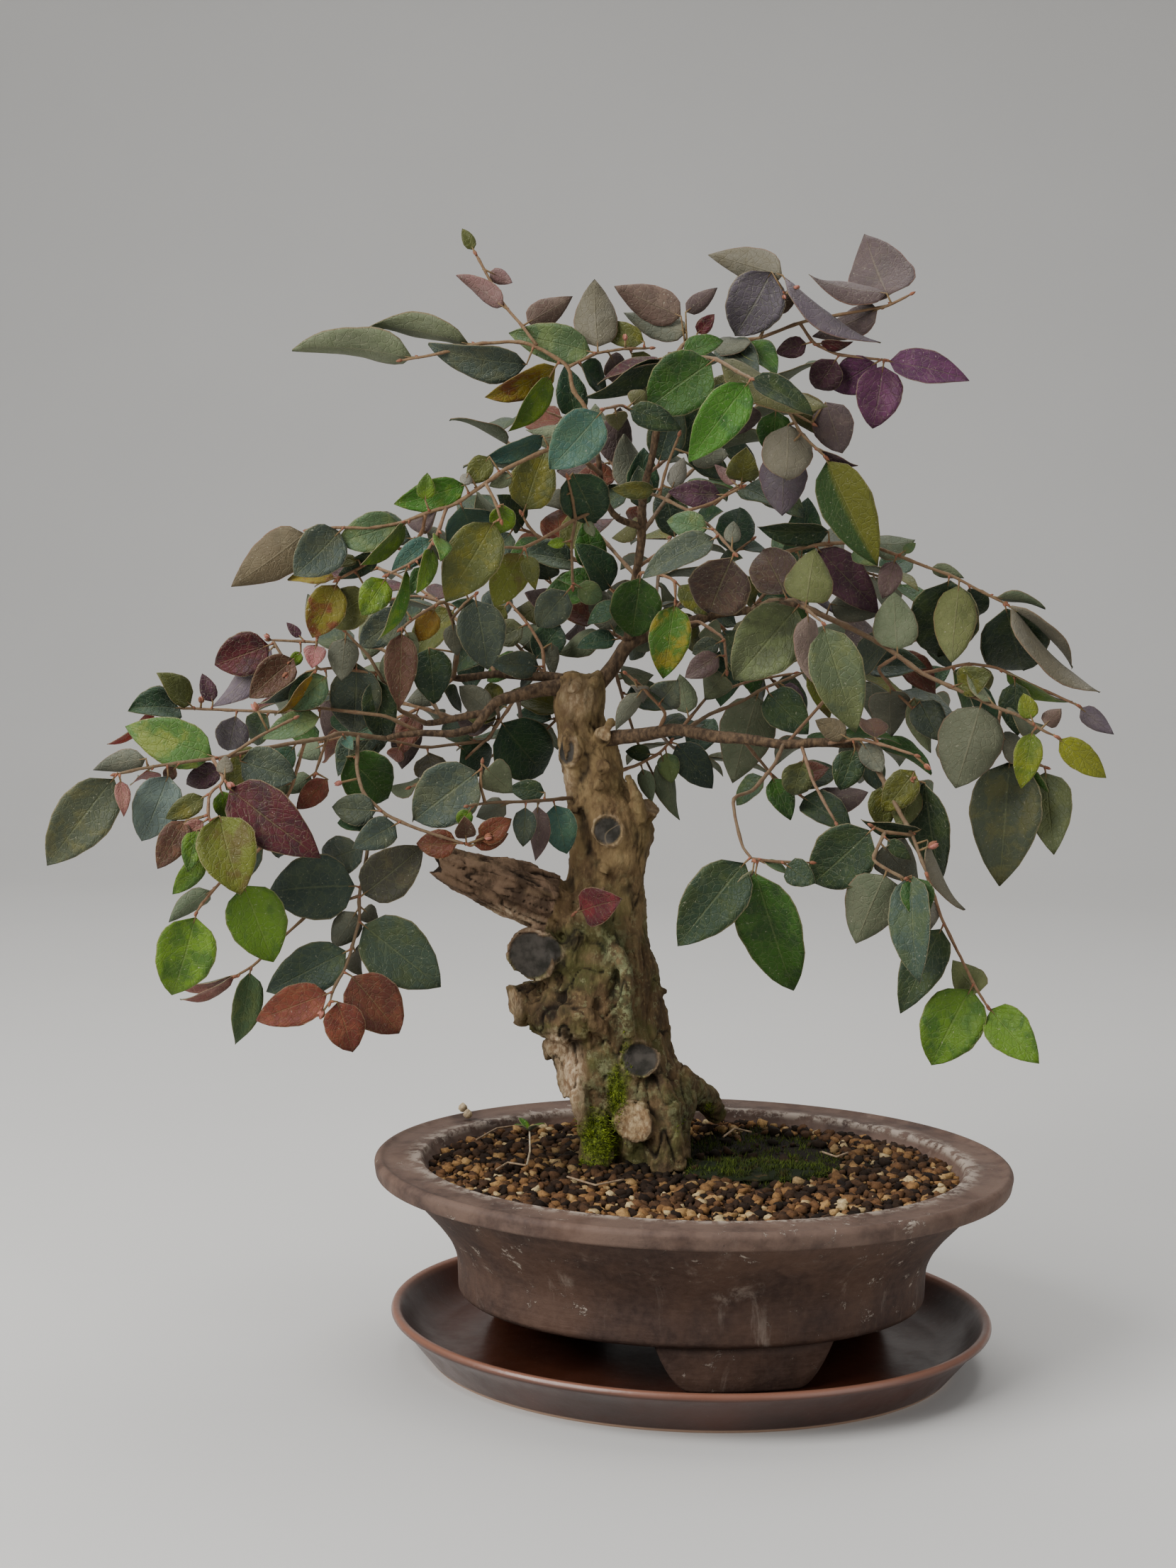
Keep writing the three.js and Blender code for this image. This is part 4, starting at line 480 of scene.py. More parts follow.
# The leafy shoots. A shoot's first row has its name, what it is on, how much deeper its tip lies, and
# its radius at root and tip. Then come | its routes, the main twig first, u v depth; its leaves: foot
# u v, tip u v, width seen, colour, and under where the underside is seen; + leaves too small for the
# solids, and * buds: u v, width.
shootTable = """
crown_bright trunk -25 1.3 0.9
| 945 500 -4, 1010 506 -22, 1045 527 -34, 1060 534 -38
1062 536 971 652 66 brightGreen
1010 508 912 578 88 green
1056 522 1148 585 36 forest
1014 500 1166 577 44 olive under
930 506 829 563 32 forest
935 510 842 541 14 burgundy
crown_front trunk -30 1.1 0.8
| 930 600 4, 900 585 -14, 877 571 -22, 851 577 -28
854 579 775 662 72 blueSage
880 574 962 606 38 forest
+ 868 578 872 607 32 olive under
+ 885 574 912 552 30 olive under
crown_left trunk 25 1.4 0.8
| 842 640 -6, 826 573 -14, 808 552 -16, 803 517 -18, 766 494 -20, 740 483 -22, 718 482 -24,\
 672 485 -26, 615 500 -28, 568 508 -30
| 757 487 -21, 737 460 -16, 712 432 -12, 694 400 -8, 672 360 -5
| 803 517 -18, 841 498 -12, 880 492 -8, 916 491 -4
783 518 684 562 40 mottledYellow
775 532 718 610 34 lime
841 496 717 470 55 sage
742 514 603 487 50 slate
843 490 839 395 62 cream under
587 498 413 490 46 pale under
668 482 516 460 34 pale under
714 440 645 387 28 pink under
745 455 807 419 40 rose under
908 482 836 458 34 olive
+ 688 376 723 399 22 pink under
+ 672 358 652 322 18 olive
* 882 478 6
top_right trunk 20 1.3 0.8
| 942 522 -2, 966 482 8, 1010 482 12, 1070 478 12, 1128 455 10, 1205 440 6, 1252 432 3, 1283 416 0
| 1072 477 12, 1085 448 8, 1100 420 4, 1118 408 2
1088 384 1036 474 82 plumGrey
1253 418 1221 333 97 taupe under
1107 392 1240 487 24 lilac under
1103 388 1001 359 50 cream under
1250 414 1140 390 28 taupe under
1248 438 1148 476 40 taupe under
960 446 867 404 52 rose under
968 468 880 442 40 silver under
+ 1090 446 1128 405 26 rose under
+ 968 440 1012 406 26 taupe under
+ 984 470 1008 443 22 burgundy
* 1106 418 5
* 1123 406 5
purple_spray top_right 0 1 0.8
| 1128 455 10, 1147 484 18, 1180 500 19, 1247 508 15
1246 517 1231 605 65 purple
1240 514 1175 550 54 purple
1250 504 1368 536 46 purple
1185 505 1150 549 48 plum
+ 1150 484 1203 483 16 burgundy
+ 1143 484 1094 498 30 plum
crown_right trunk 4 1.2 0.8
| 937 562 0, 1000 572 -4, 1060 563 -6, 1100 572 -8, 1145 597 -10
| 1112 579 -8, 1130 612 -16, 1163 643 -20
1095 575 1090 641 50 green
1163 645 1238 799 75 halfYellow
1112 600 1108 678 72 cream under
1104 640 1103 727 68 lilac under
1112 560 1191 627 44 olive under
1165 568 1188 640 58 taupe under
1060 568 1040 612 46 taupe under
+ 1155 628 1210 658 14 plum
inner_fan trunk -25 1.2 0.8
| 908 712 17, 893 690 2, 930 700 -14, 970 720 -24, 1005 745 -32, 1036 780 -40
| 970 720 -24, 1000 712 -18, 1022 700 -14, 1045 688 -12
| 930 700 -14, 940 660 -12, 957 616 -12
1035 784 1000 866 90 taupePlum
1008 762 905 815 44 slate
938 692 862 690 26 olive
1022 694 942 694 40 plum
1004 748 940 735 40 sage
972 640 1028 642 40 silver under
1050 682 1052 632 46 olive
+ 1045 690 1008 655 18 pink under
+ 948 688 965 645 26 white under
+ 1035 772 1035 735 24 silver under
dark_heart trunk 0 1.2 0.8
| 853 702 4, 832 724 -8, 812 732 -14, 765 760 -22, 740 773 -28, 705 772 -32
| 812 732 -14, 808 706 -18, 801 676 -22
| 812 732 -14, 806 765 -8, 808 826 -2
| 762 761 -22, 745 742 -26, 737 727 -28
808 668 842 738 72 darkGreen
738 722 770 632 66 olive
740 780 697 856 54 yellowOlive
800 835 758 885 52 slate
+ 800 697 768 712 26 silver under
+ 824 728 838 757 16 pale under
+ 744 785 755 832 26 olive
+ 800 762 772 768 16 lime
+ 812 822 850 846 34 sage
left_upper trunk -20 1.4 0.8
| 847 668 -2, 812 640 -30, 775 633 -40, 715 660 -46, 685 682 -48, 640 713 -48, 612 720 -48,\
 565 738 -46, 520 745 -44, 480 744 -42, 437 748 -40
| 685 682 -48, 700 710 -50, 706 732 -52
696 738 628 850 78 olive
645 705 672 763 78 blueSage
655 684 555 712 46 leafGreen
765 615 680 650 30 blueSage
568 729 475 765 56 sage
580 738 510 798 24 lime
436 750 327 827 66 tan under
485 750 415 812 70 slate
+ 690 645 660 682 36 olive
+ 710 712 707 753 38 lime
+ 600 705 603 667 26 lime
+ 660 668 655 684 18 white under
+ 722 672 690 686 22 pale under
+ 800 600 742 608 16 sage under
left_yellow left_upper 0 1 0.8
| 600 725 -48, 596 752 -40, 575 775 -38, 550 773 -38, 515 797 -40, 478 817 -42
478 814 405 817 24 mottledYellow
482 824 440 900 56 mottledRed
545 783 475 816 30 forest
520 838 458 878 60 olive
+ 505 790 458 798 18 olive
left_lime left_upper 0 1 0.8
| 630 716 -48, 618 752 -58, 600 782 -60, 576 797 -61, 548 810 -62
612 754 552 805 36 blueSage
612 766 588 838 26 lime
550 812 510 868 46 lime
578 800 534 905 20 leafGreen
+ 622 752 622 790 26 leafGreen
+ 593 800 580 838 20 green
* 611 800 4
left_mid trunk 15 1.5 0.8
| 640 956 34, 648 905 14, 628 846 -4, 590 868 -14, 567 886 -20
| 637 873 4, 655 852 -2, 670 839 -8
672 840 688 945 70 slate
568 888 563 1000 48 brown
618 857 590 905 36 amber
605 915 612 993 58 forest
572 862 505 912 50 slate
+ 572 890 590 921 20 pale under
+ 634 872 645 925 30 silver under
left_slate trunk 0 1.4 0.8
| 600 1020 16, 560 1000 6, 540 960 -4, 520 925 -12, 488 892 -18
| 534 950 -6, 470 942 -12, 445 945 -16, 447 902 -18
484 888 482 960 44 silver under
503 937 497 1036 74 slate
530 950 543 1052 50 forest
440 948 393 1008 18 amber
432 948 365 995 16 slate
460 955 407 1000 50 sage
+ 447 900 441 942 32 pink
* 446 876 8
left_plum trunk 30 1.2 0.8
| 626 1016 14, 592 962 32, 540 915 28, 480 908 22, 430 905 18, 382 903 12
| 385 905 12, 410 944 8
381 911 302 938 62 burgundy
383 914 302 998 40 lilac under
414 930 352 985 52 brown
+ 430 903 404 878 14 plum
+ 424 920 410 940 18 lime
* 378 899 6
* 405 951 7
left_long trunk 25 1.2 0.8
| 590 1032 0, 545 1010 -10, 445 998 -16, 400 1005 -18, 330 1002 -20, 280 1000 -22, 218 997 -24
335 1003 322 1060 48 plumGrey
222 1000 152 1052 14 red
450 1012 370 1042 36 sage
+ 300 990 285 950 24 plum
* 284 989 7
far_left trunk -25 1.5 0.8
| 545 1042 -4, 500 1036 -12, 478 1034 -16, 462 1041 -22, 420 1047 -30, 365 1057 -38, 318 1068 -44,\
 260 1075 -48, 205 1083 -52, 165 1092 -54
| 462 1041 -22, 445 1090 -20
| 322 1067 -44, 370 1036 -40, 414 1014 -36
163 1100 65 1222 80 slateOlive
237 1095 199 1187 68 silverSlate
205 1070 132 1085 32 silver under
308 1062 176 1024 68 veinedGreen
340 1074 418 1097 62 slate
312 1083 262 1107 36 plum
462 1100 418 1142 34 copper
+ 214 1078 195 1098 20 red
+ 170 1102 175 1152 22 rose
+ 482 1038 498 1058 18 blueSage
+ 443 1094 402 1120 28 mint under
+ 456 1048 420 1066 34 mint under
+ 256 1084 232 1100 20 brown
* 362 1000 8
left_burgundy far_left 0 1 0.8
| 300 1070 -46, 318 1102 -54, 295 1118 -58, 293 1150 -62, 300 1168 -64
302 1172 313 1217 46 pinkMottled
310 1152 340 1262 84 yellowOlive
325 1113 452 1210 84 burgundy
278 1172 265 1230 34 limeGreen
288 1208 243 1262 32 limeGreen
262 1158 222 1226 44 brown
310 1108 325 1155 36 limeGreen
293 1120 233 1155 32 olive
+ 297 1154 250 1183 26 rose
+ 252 1165 238 1212 28 silver under
+ 320 1098 318 1066 24 cream under
* 323 1106 7
left_lime_low far_left -20 1 0.8
| 430 1045 -28, 412 1110 -20, 370 1195 -30, 310 1245 -44, 285 1275 -48, 278 1286 -49
278 1290 242 1405 84 limeGreen
344 1250 386 1358 84 limeGreen
300 1248 238 1300 30 mint under
left_down far_left 0 1.2 0.8
| 505 1037 -11, 503 1085 -26, 512 1120 -32, 545 1150 -34, 585 1168 -34, 622 1180 -32, 658 1191 -30
490 1068 548 1128 76 green
540 1142 468 1138 46 slate
565 1160 498 1197 46 slate
652 1193 587 1190 42 rust
676 1184 722 1155 36 rust
+ 668 1192 718 1176 28 rust
+ 662 1184 655 1152 30 brown
* 686 1181 7
* 480 1104 7
left_copper left_down -20 1.2 0.8
| 545 1150 -34, 520 1187 -26, 514 1230 -18, 506 1265 -20, 508 1295 -24, 497 1335 -28, 488 1365 -30,\
 470 1395 -32, 466 1412 -32
| 506 1264 -20, 440 1285 -10, 385 1335 -12, 357 1363 -16, 334 1376 -18
462 1398 360 1440 58 copper
476 1414 497 1485 58 copper
497 1378 563 1459 78 copperBrown
510 1266 597 1194 72 slateBrown
500 1250 378 1258 94 darkSlate
512 1302 622 1393 92 slateGreen
503 1280 470 1336 42 silver under
490 1336 375 1400 70 slateGreen
518 1192 455 1218 56 slate
355 1366 333 1475 42 sage
334 1377 240 1392 12 rose
338 1378 255 1412 14 rose
+ 508 1278 533 1300 28 silver under
+ 499 1334 510 1376 30 silver under
* 455 1428 8
stub_left trunk -25 1.2 0.8
| 812 1125 26, 770 1129 8, 740 1131 0, 690 1132 -8, 661 1137 -12
| 684 1132 -9, 677 1105 -10, 680 1078 -10
672 1084 583 1158 90 slate
680 1072 722 1117 50 pale under
780 1136 800 1205 50 blueSage
742 1136 738 1195 34 slate
760 1136 756 1215 30 taupe under
722 1136 672 1152 34 silver under
+ 768 1118 718 1112 32 forest
+ 668 1138 647 1165 24 limeGreen
inner_left trunk 10 1.2 0.8
| 700 991 14, 704 1012 36, 690 1045 44, 640 1050 40, 600 1055 34, 548 1044 26, 500 1037 20
702 1014 768 1092 90 darkGreen
642 1052 690 1082 56 darkGreen
602 1058 610 1096 50 slateBrown
690 1002 648 968 40 silver under
+ 566 1050 555 1072 26 copper
+ 702 1004 692 962 30 olive
left_high_back trunk 20 1.1 0.8
| 768 953 32, 766 915 30, 745 880 26, 712 842 22
760 940 690 935 40 slate
745 880 695 902 40 slateOlive
+ 778 908 780 955 22 silver under
+ 716 850 690 882 30 olive
centre_front trunk -15 1.1 0.8
| 897 830 29, 903 807 14, 930 810 3, 952 818 -3, 953 846 2
948 852 935 958 60 greenYellow
905 808 890 899 74 green
955 820 998 868 30 olive
centre_back trunk 10 1.1 0.8
| 960 882 50, 985 876 26, 1022 900 8, 1025 945 2
1022 945 995 986 46 sage under
1014 925 966 956 36 taupe
+ 988 880 1016 904 36 pale under
+ 1020 904 976 922 30 slate
mid_right trunk -30 1.3 0.8
| 1060 860 52, 1088 846 22, 1122 846 -10, 1136 858 -18, 1160 878 -22
1136 864 1148 966 36 creamPink under
1126 856 1035 960 95 oliveSage
1165 884 1207 1035 76 oliveSage
1138 855 1150 776 70 limeSage under
1112 842 1075 775 70 taupePlum
upper_right trunk 15 1.5 0.8
| 1000 868 54, 1060 815 36, 1110 778 22, 1155 768 14, 1215 764 6, 1265 783 0, 1300 797 -4, 1345 813 -8,\
 1372 828 -10, 1417 851 -12
1337 815 1322 928 98 forest
1417 855 1443 948 98 forest
1152 776 1240 866 60 plum
1168 750 1068 745 34 forest
1127 784 1190 872 18 lilac under
1262 790 1245 845 34 taupe
1400 838 1475 857 16 sage under
1428 858 1548 980 24 cream under
1425 856 1515 940 14 cream under
1352 822 1342 936 60 limeSage under
+ 1205 770 1238 796 40 sage
+ 1303 802 1360 815 20 sage under
+ 1268 780 1292 766 14 sage
right_long trunk -10 1.9 0.8
| 1130 853 40, 1160 868 26, 1200 886 14, 1240 906 4, 1268 926 -4, 1300 950 -10, 1340 968 -16,\
 1380 986 -20, 1410 1000 -24, 1440 1010 -26, 1470 1030 -28, 1488 1038 -29
1383 992 1348 1112 92 paleTaupe under
1268 922 1262 836 64 pale under
1456 1034 1440 1113 40 yellowGreen
1492 1040 1561 1098 40 yellow
1172 852 1240 868 40 silver under
1344 966 1398 950 44 olive
1404 996 1363 943 16 pale under
+ 1456 1026 1443 978 28 yellowGreen
+ 1298 944 1338 928 36 teal
+ 1470 1026 1497 1000 26 rose under
right_tip right_long 15 1 0.8
| 1300 950 -10, 1335 943 0, 1365 936 2, 1405 941 0, 1460 968 -4, 1518 994 -8
1412 946 1512 992 18 lime
1520 996 1571 1036 28 lilac under
+ 1366 940 1395 975 36 olive
right_twin right_long 10 1 0.8
| 1266 925 -4, 1237 943 12, 1262 975 18, 1300 1012 20, 1322 1040 20
1262 962 1257 1037 60 silver under
1290 985 1312 1062 34 pale under
1298 990 1325 1045 50 slate
mid_back trunk 15 1.3 0.8
| 965 1031 3, 1000 1008 22, 1050 988 26, 1075 972 26, 1100 962 26, 1135 948 26
1073 980 1034 1104 80 paleSage under
1085 978 1140 1035 60 forest
1140 952 1172 1015 26 yellowOlive
+ 1100 966 1135 986 20 plum under
right_low_a trunk -10 1.1 0.8
| 1168 1049 -20, 1212 1042 -34, 1250 1052 -38, 1290 1065 -40
1206 1058 1185 1115 46 forest
1212 1040 1245 1090 34 silver under
1200 1040 1150 1016 32 tan under
+ 1240 1046 1222 1014 36 brown
* 1306 1080 7
right_low_b trunk -35 1.8 0.9
| 1206 1049 -22, 1239 1087 -28, 1268 1144 -34, 1287 1178 -38, 1306 1230 -40
| 1255 1117 -31, 1286 1100 -36
| 1287 1178 -38, 1248 1174 -44, 1232 1166 -46
| 1248 1174 -44, 1230 1213 -50, 1250 1226 -52, 1277 1240 -54
1250 1230 1208 1330 82 paleSage under
1232 1170 1145 1247 88 forest
1290 1088 1245 1146 48 olive
1287 1106 1270 1170 46 limeSage under
1290 1238 1298 1298 48 green
1286 1236 1296 1388 60 slateGreen
1298 1170 1214 1158 22 forest
1308 1186 1358 1285 18 cream under
1305 1105 1328 1240 62 forest
1244 1190 1295 1248 60 silver under
+ 1296 1102 1310 1136 34 mint under
+ 1252 1182 1285 1213 22 forest
+ 1268 1238 1288 1265 12 sage under
* 1312 1194 9
right_low_c right_low_b 0 1 0.8
| 1306 1230 -40, 1318 1265 -38, 1330 1300 -36, 1355 1350 -38, 1376 1393 -40, 1392 1418 -42
1368 1390 1313 1503 88 limeGreen
1396 1422 1465 1500 62 limeGreen
1384 1408 1345 1356 50 limeSage under
1328 1306 1270 1430 62 forest
+ 1320 1262 1305 1320 26 white under
right_green right_long 10 1 0.8
| 1412 1001 -24, 1405 1040 -8, 1430 1066 0, 1474 1082 0
1430 1070 1432 1185 100 green
1474 1084 1487 1205 66 oliveSage
1424 1076 1410 1250 100 slateOlive
hanging trunk -30 1.2 0.8
| 1106 1049 -16, 1092 1080 -30, 1062 1116 -38, 1033 1125 -42, 1038 1159 -44, 1048 1197 -46, 1062 1212 -48
| 1062 1212 -48, 1100 1216 -46, 1142 1217 -44
1050 1218 955 1335 86 forest
1066 1232 1120 1400 90 green
1062 1228 1040 1288 20 pale under
1102 1224 1150 1246 40 forest
+ 1070 1208 1116 1236 12 sage
hanging_bare trunk -10 1 0.8
| 1130 1049 -17, 1146 1101 -28, 1178 1159 -34
1136 1062 1118 1123 46 oliveSage
centre_small trunk 10 1.1 0.8
| 862 1092 28, 900 1079 42, 930 1063 46, 945 1047 46
955 1050 1005 1113 50 darkSlate
938 1066 957 1157 30 sage under
+ 936 1052 948 1105 32 sage
+ 906 1082 920 1132 24 mint under
+ 925 1064 882 1060 24 forest
centre_up trunk -15 1.1 0.8
| 928 1032 13, 940 1006 4, 905 968 -4, 884 951 -8
930 994 955 960 50 slate
902 976 868 1030 26 silver under
+ 890 966 908 990 22 white under
leaf_on_trunk trunk 0 0.9 0.8
| 856 1250 15, 836 1264 5.5, 812 1287 4.5
807 1291 876 1269 56 darkRed"""
# Shoots on the far side: name, leaves and seed, and the route. Their leaves are set by rule: alternate,
# with the upper side up.
rearTable = """
rear_left_low 7 101: 640 1013 13, 600 1000 50, 540 985 80, 470 975 100, 410 985 112
rear_left_high 7 202: 700 952 34, 670 900 70, 620 850 95, 560 810 115, 510 795 125
rear_crown_left 7 303: 899 815 27, 850 760 60, 790 700 85, 740 650 100, 705 610 110
rear_crown_right 7 404: 904 755 21, 950 690 55, 1000 640 80, 1050 590 95, 1085 555 100
rear_right_high 7 505: 1030 864 53, 1070 822 85, 1130 800 110, 1200 800 125, 1260 820 130
rear_right_low 7 606: 1090 857 48, 1120 900 85, 1190 940 105, 1260 970 118, 1330 1000 125
rear_mid_right 6 707: 1090 1046 -13, 1120 1052 40, 1160 1040 80, 1205 1035 100, 1260 1050 110
rear_centre 6 808: 930 892 45, 925 850 80, 930 800 110, 945 760 130
rear_mid_left 6 909: 730 981 20, 735 1015 60, 720 1045 90, 690 1070 105, 650 1090 112
rear_centre_low 5 1010: 940 1031 10, 935 1040 60, 950 1055 90, 985 1068 108"""


def readShoots(text):
    made = []
    for line in text.strip().splitlines():
        mark, row = line[0], line.lstrip("|+*").strip()
        if mark.isalpha():
            name, on, deeper, *radius = row.split()
            made.append({"name": name, "on": on, "deeper": float(deeper),
                         "radius": [float(r) for r in radius], "routes": [], "leaves": [],
                         "smallLeaves": [], "buds": [], "foliage": []})
        elif mark == "|":
            made[-1]["routes"] += [spotsOf(row)]
        elif mark == "*":
            made[-1]["buds"] += spotsOf(row)
        else:
            made[-1]["smallLeaves" if mark == "+" else "leaves"].append(row.split())
    return made


rearRows = [line.split(":") for line in rearTable.strip().splitlines()]
rearRules = [[int(x) for x in head.split()[1:]] for head, _ in rearRows]
shoots = readShoots(shootTable)
rearShoots = readShoots("\n".join(f"{head.split()[0]} trunk 0 1.3 0.8\n|{route}"
                                  for head, route in rearRows))
innerTwigs = readShoots("\n".join(f"inner_{n} trunk 0 1.1 0.7\n|{route}"
                                  for n, route in enumerate(innerRoutes.strip().splitlines(), 1)))


# The leaf plan: which way each leaf lies, so that no two shoots meet
clearance = {"blade": 4.4, "twig": 1.7, "cell": 10, "samples": 4.2}


def bladeProfile(t):
    return math.pow(math.sin(math.pi * math.pow(t, 0.85)), 0.7)


def bladePoints(laid):
    points = []
    steps = max(3, math.ceil(laid["length"] / clearance["samples"]))
    for i in range(steps + 1):
        t = i / steps
        bow = laid["upper"] * (laid["arch"] * 4 * t * (1 - t))
        middle = laid["foot"] + (laid["axis"] * (laid["length"] * t) + bow)
        half = 0.5 * laid["width"] * (bladeProfile(t) if 0 < t < 1 else 0.06)
        across = math.ceil(half / clearance["samples"])
        offsets = half * np.arange(-across, across + 1)[:, None] / max(across, 1)
        points.append(middle + laid["side"] * offsets)
    return np.concatenate(points)


def segmentDistances(points, starts, ends):
    along = ends - starts
    t = ((points[:, None, :] - starts) * along).sum(2) / (along * along).sum(1)
    nearest = starts + along * np.clip(t, 0, 1)[:, :, None]
    return np.sqrt(((points[:, None, :] - nearest) ** 2).sum(2))


def fromAxis(points, start, axis):
    d = points - start
    along = d @ axis
    return along, np.sqrt(((d - np.outer(along, axis)) ** 2).sum(1))


def footOnTwig(lines, u, v):
    line = sightLine(u, v)
    least = None
    for k, points in enumerate(lines):
        for i, (start, end) in enumerate(zip(points, points[1:])):
            # A shoot's first stretch carries no leaves.
            t = np.arange(0 if k or i else 5, 17) / 16
            places = start + (end - start) * t[:, None]
            for p, o in zip(places, fromAxis(places, eye, line)[1]):
                if least is None or o < least - 1e-9:
                    least = o
                    best = (p, unit(end - start))
    return best


def alongMain(shoot, at):
    best = None
    main = shoot["routes"][0]
    for i, ((u0, v0, _), (u1, v1, _)) in enumerate(zip(main, main[1:])):
        t = ((at[0] - u0) * (u1 - u0) + (at[1] - v0) * (v1 - v0)) / ((u1 - u0) ** 2 + (v1 - v0) ** 2)
        t = min(1, max(0, t))
        off = math.hypot(at[0] - u0 - (u1 - u0) * t, at[1] - v0 - (v1 - v0) * t)
        if best is None or off < best[0] - 1e-6:
            best = (off, (i + t) / (len(main) - 1))
    return best[1]


def runShoots(every):
    byName = {shoot["name"]: shoot for shoot in every}
    for shoot in every:
        main, *sides = shoot["routes"]
        parent = byName.get(shoot["on"])
        whole = parent["whole"] + parent["deeper"] * alongMain(parent, main[0]) if parent else 0
        shoot["whole"] = whole
        moved = [[(u, v, y + whole + shoot["deeper"] * i / (len(main) - 1))
                  for i, (u, v, y) in enumerate(main)]]
        started = []
        for route in sides:
            under = [back for other, back in started if any(p[:2] == route[0][:2] for p in other)]
            back = under[0] if under else whole + shoot["deeper"] * alongMain(shoot, route[0])
            started.append((route, back))
            moved.append([(u, v, y + back) for u, v, y in route])
        shoot["lines"] = [np.array([place(*p) for p in route]) for route in moved]
        first = shoot["lines"][0]
        first[0] = mix(first[0], first[1], 0.02)


class Foliage:
    # All that has been laid so far: the twigs, and the points of every leaf with its owner.
    def __init__(self, every):
        self.points = np.empty((0, 3))
        self.owners = np.empty(0, dtype=int)
        self.front = {}
        self.numbers = {}
        self.twigs = []
        for route, (radius, _) in limbs.values():
            points = [place(*p) for p in route]
            self.twigs += [(a, b, radius, -1) for a, b in zip(points, points[1:])]
        for (v0, l0, r0), (v1, l1, r1) in zip(trunkRings, trunkRings[1:]):
            ends = (place((left + right) / 2, v, trunkDepth)
                    for v, left, right in ((v0, l0, r0), (v1, l1, r1)))
            self.twigs.append((*ends, 0.18 * (r1 - l1), -1))
        self.addTwigs(every)

    def addTwigs(self, every):
        for shoot in every:
            number = self.numbers.setdefault(shoot["name"], len(self.numbers))
            for line in shoot["lines"]:
                self.twigs += [(a, b, shoot["radius"][0], number) for a, b in zip(line, line[1:])]
        columns = (np.array(column) for column in zip(*self.twigs))
        self.starts, self.ends, self.radii, self.twigOwners = columns

    def cells(self, points):
        return list(zip(*(np.floor(at / clearance["cell"]).astype(int).tolist() for at in onSheet(points))))

    def check(self, laid, shoot):
        me = self.numbers[shoot["name"]]
        points = bladePoints(laid)
        others = own = 99.0
        away = segmentDistances(laid["foot"][None, :], self.starts, self.ends)[0]
        near = (away < laid["length"] + 12) & (self.twigOwners != me)
        if near.any():
            clear = segmentDistances(points, self.starts[near], self.ends[near]) - self.radii[near]
            others = min(others, (clear - clearance["twig"] + clearance["blade"]).min())
        reach = ((self.points - laid["foot"]) ** 2).sum(1) < (laid["length"] + 0.6 * laid["width"] + 8) ** 2
        if reach.any():
            mine = self.owners[reach] == me
            apart = np.sqrt(((points[:, None, :] - self.points[reach]) ** 2).sum(2))
            if (~mine).any():
                others = min(others, apart[:, ~mine].min())
            if mine.any():
                own = min(own, apart[3:, mine].min())
        before = sum(p[1] < self.front.get(cell, -1e9) for p, cell in zip(points, self.cells(points)))
        return points, others, own, before / len(points)

    def keep(self, laid, points, shoot):
        shoot["foliage"].append(laid)
        self.points = np.concatenate([self.points, points])
        self.owners = np.concatenate([self.owners, np.full(len(points), self.numbers[shoot["name"]])])
        for p, cell in zip(points, self.cells(points)):
            self.front[cell] = max(self.front.get(cell, -1e9), p[1])


def leafAt(root, along, foot, axis, across, upper, length, width, colour, face):
    out = unit(foot - root)
    sunk = root - out * (0.4 + 0.6 * abs(out @ along))
    return {"root": sunk, "foot": foot, "axis": axis, "side": across, "upper": upper, "length": length,
            "width": width, "arch": 0.07 * length, "colour": colour, "face": face}


def layLeaf(foliage, shoot, row):
    u0, v0, u1, v1, seen = (float(x) for x in row[:5])
    colour, face = row[5], "under" if "under" in row else "top"
    root, along = footOnTwig(shoot["lines"], u0, v0)
    foot = place(u0, v0, root[1])
    flatTip = place(u1, v1, root[1])
    if lengthOf(foot - root) < 3:
        foot = root + unit(flatTip - root) * 3
    wide = seen * lengthOf(foot - eye) / sheet["scale"]
    flat = lengthOf(flatTip - foot)
    least = max(0.1 * flat, math.sqrt(max(0, 1.69 * wide * wide - flat * flat)))
    view = unit(foot - eye)
    best = None
    for order, k in enumerate((1, 1.8, 2.6, 0.5, 3.6, 4.8)):
        for sign in (1, -1):
            for roll in (1, -1):
                tip = place(u1, v1, root[1] + min(34, least * k) * sign)
                length = lengthOf(tip - foot)
                axis = unit(tip - foot)
                flatSide = unit(np.cross(axis, view))
                width = max(wide, 0.44 * length)
                across = swung(flatSide, np.cross(flatSide, axis), math.acos(min(1, wide / width)) * roll)
                normal = np.cross(across, axis)
                facing = normal if normal @ view < 0 else -normal
                laid = leafAt(root, along, foot, axis, across, facing if face == "top" else -facing, length,
                              width, colour, face)
                points, others, own, before = foliage.check(laid, shoot)
                score = 100 * (clearance["blade"] - others) + 50 if others < clearance["blade"] else 0
                score += (8 * (3 - own) if own < 3 else 0) + 12 * before + 0.6 * order
                score += (0.1 if roll < 0 else 0) + (0.05 if sign < 0 else 0)
                if best is None or score < best[0] - 1e-6:
                    best = (score, laid, points)
    return best


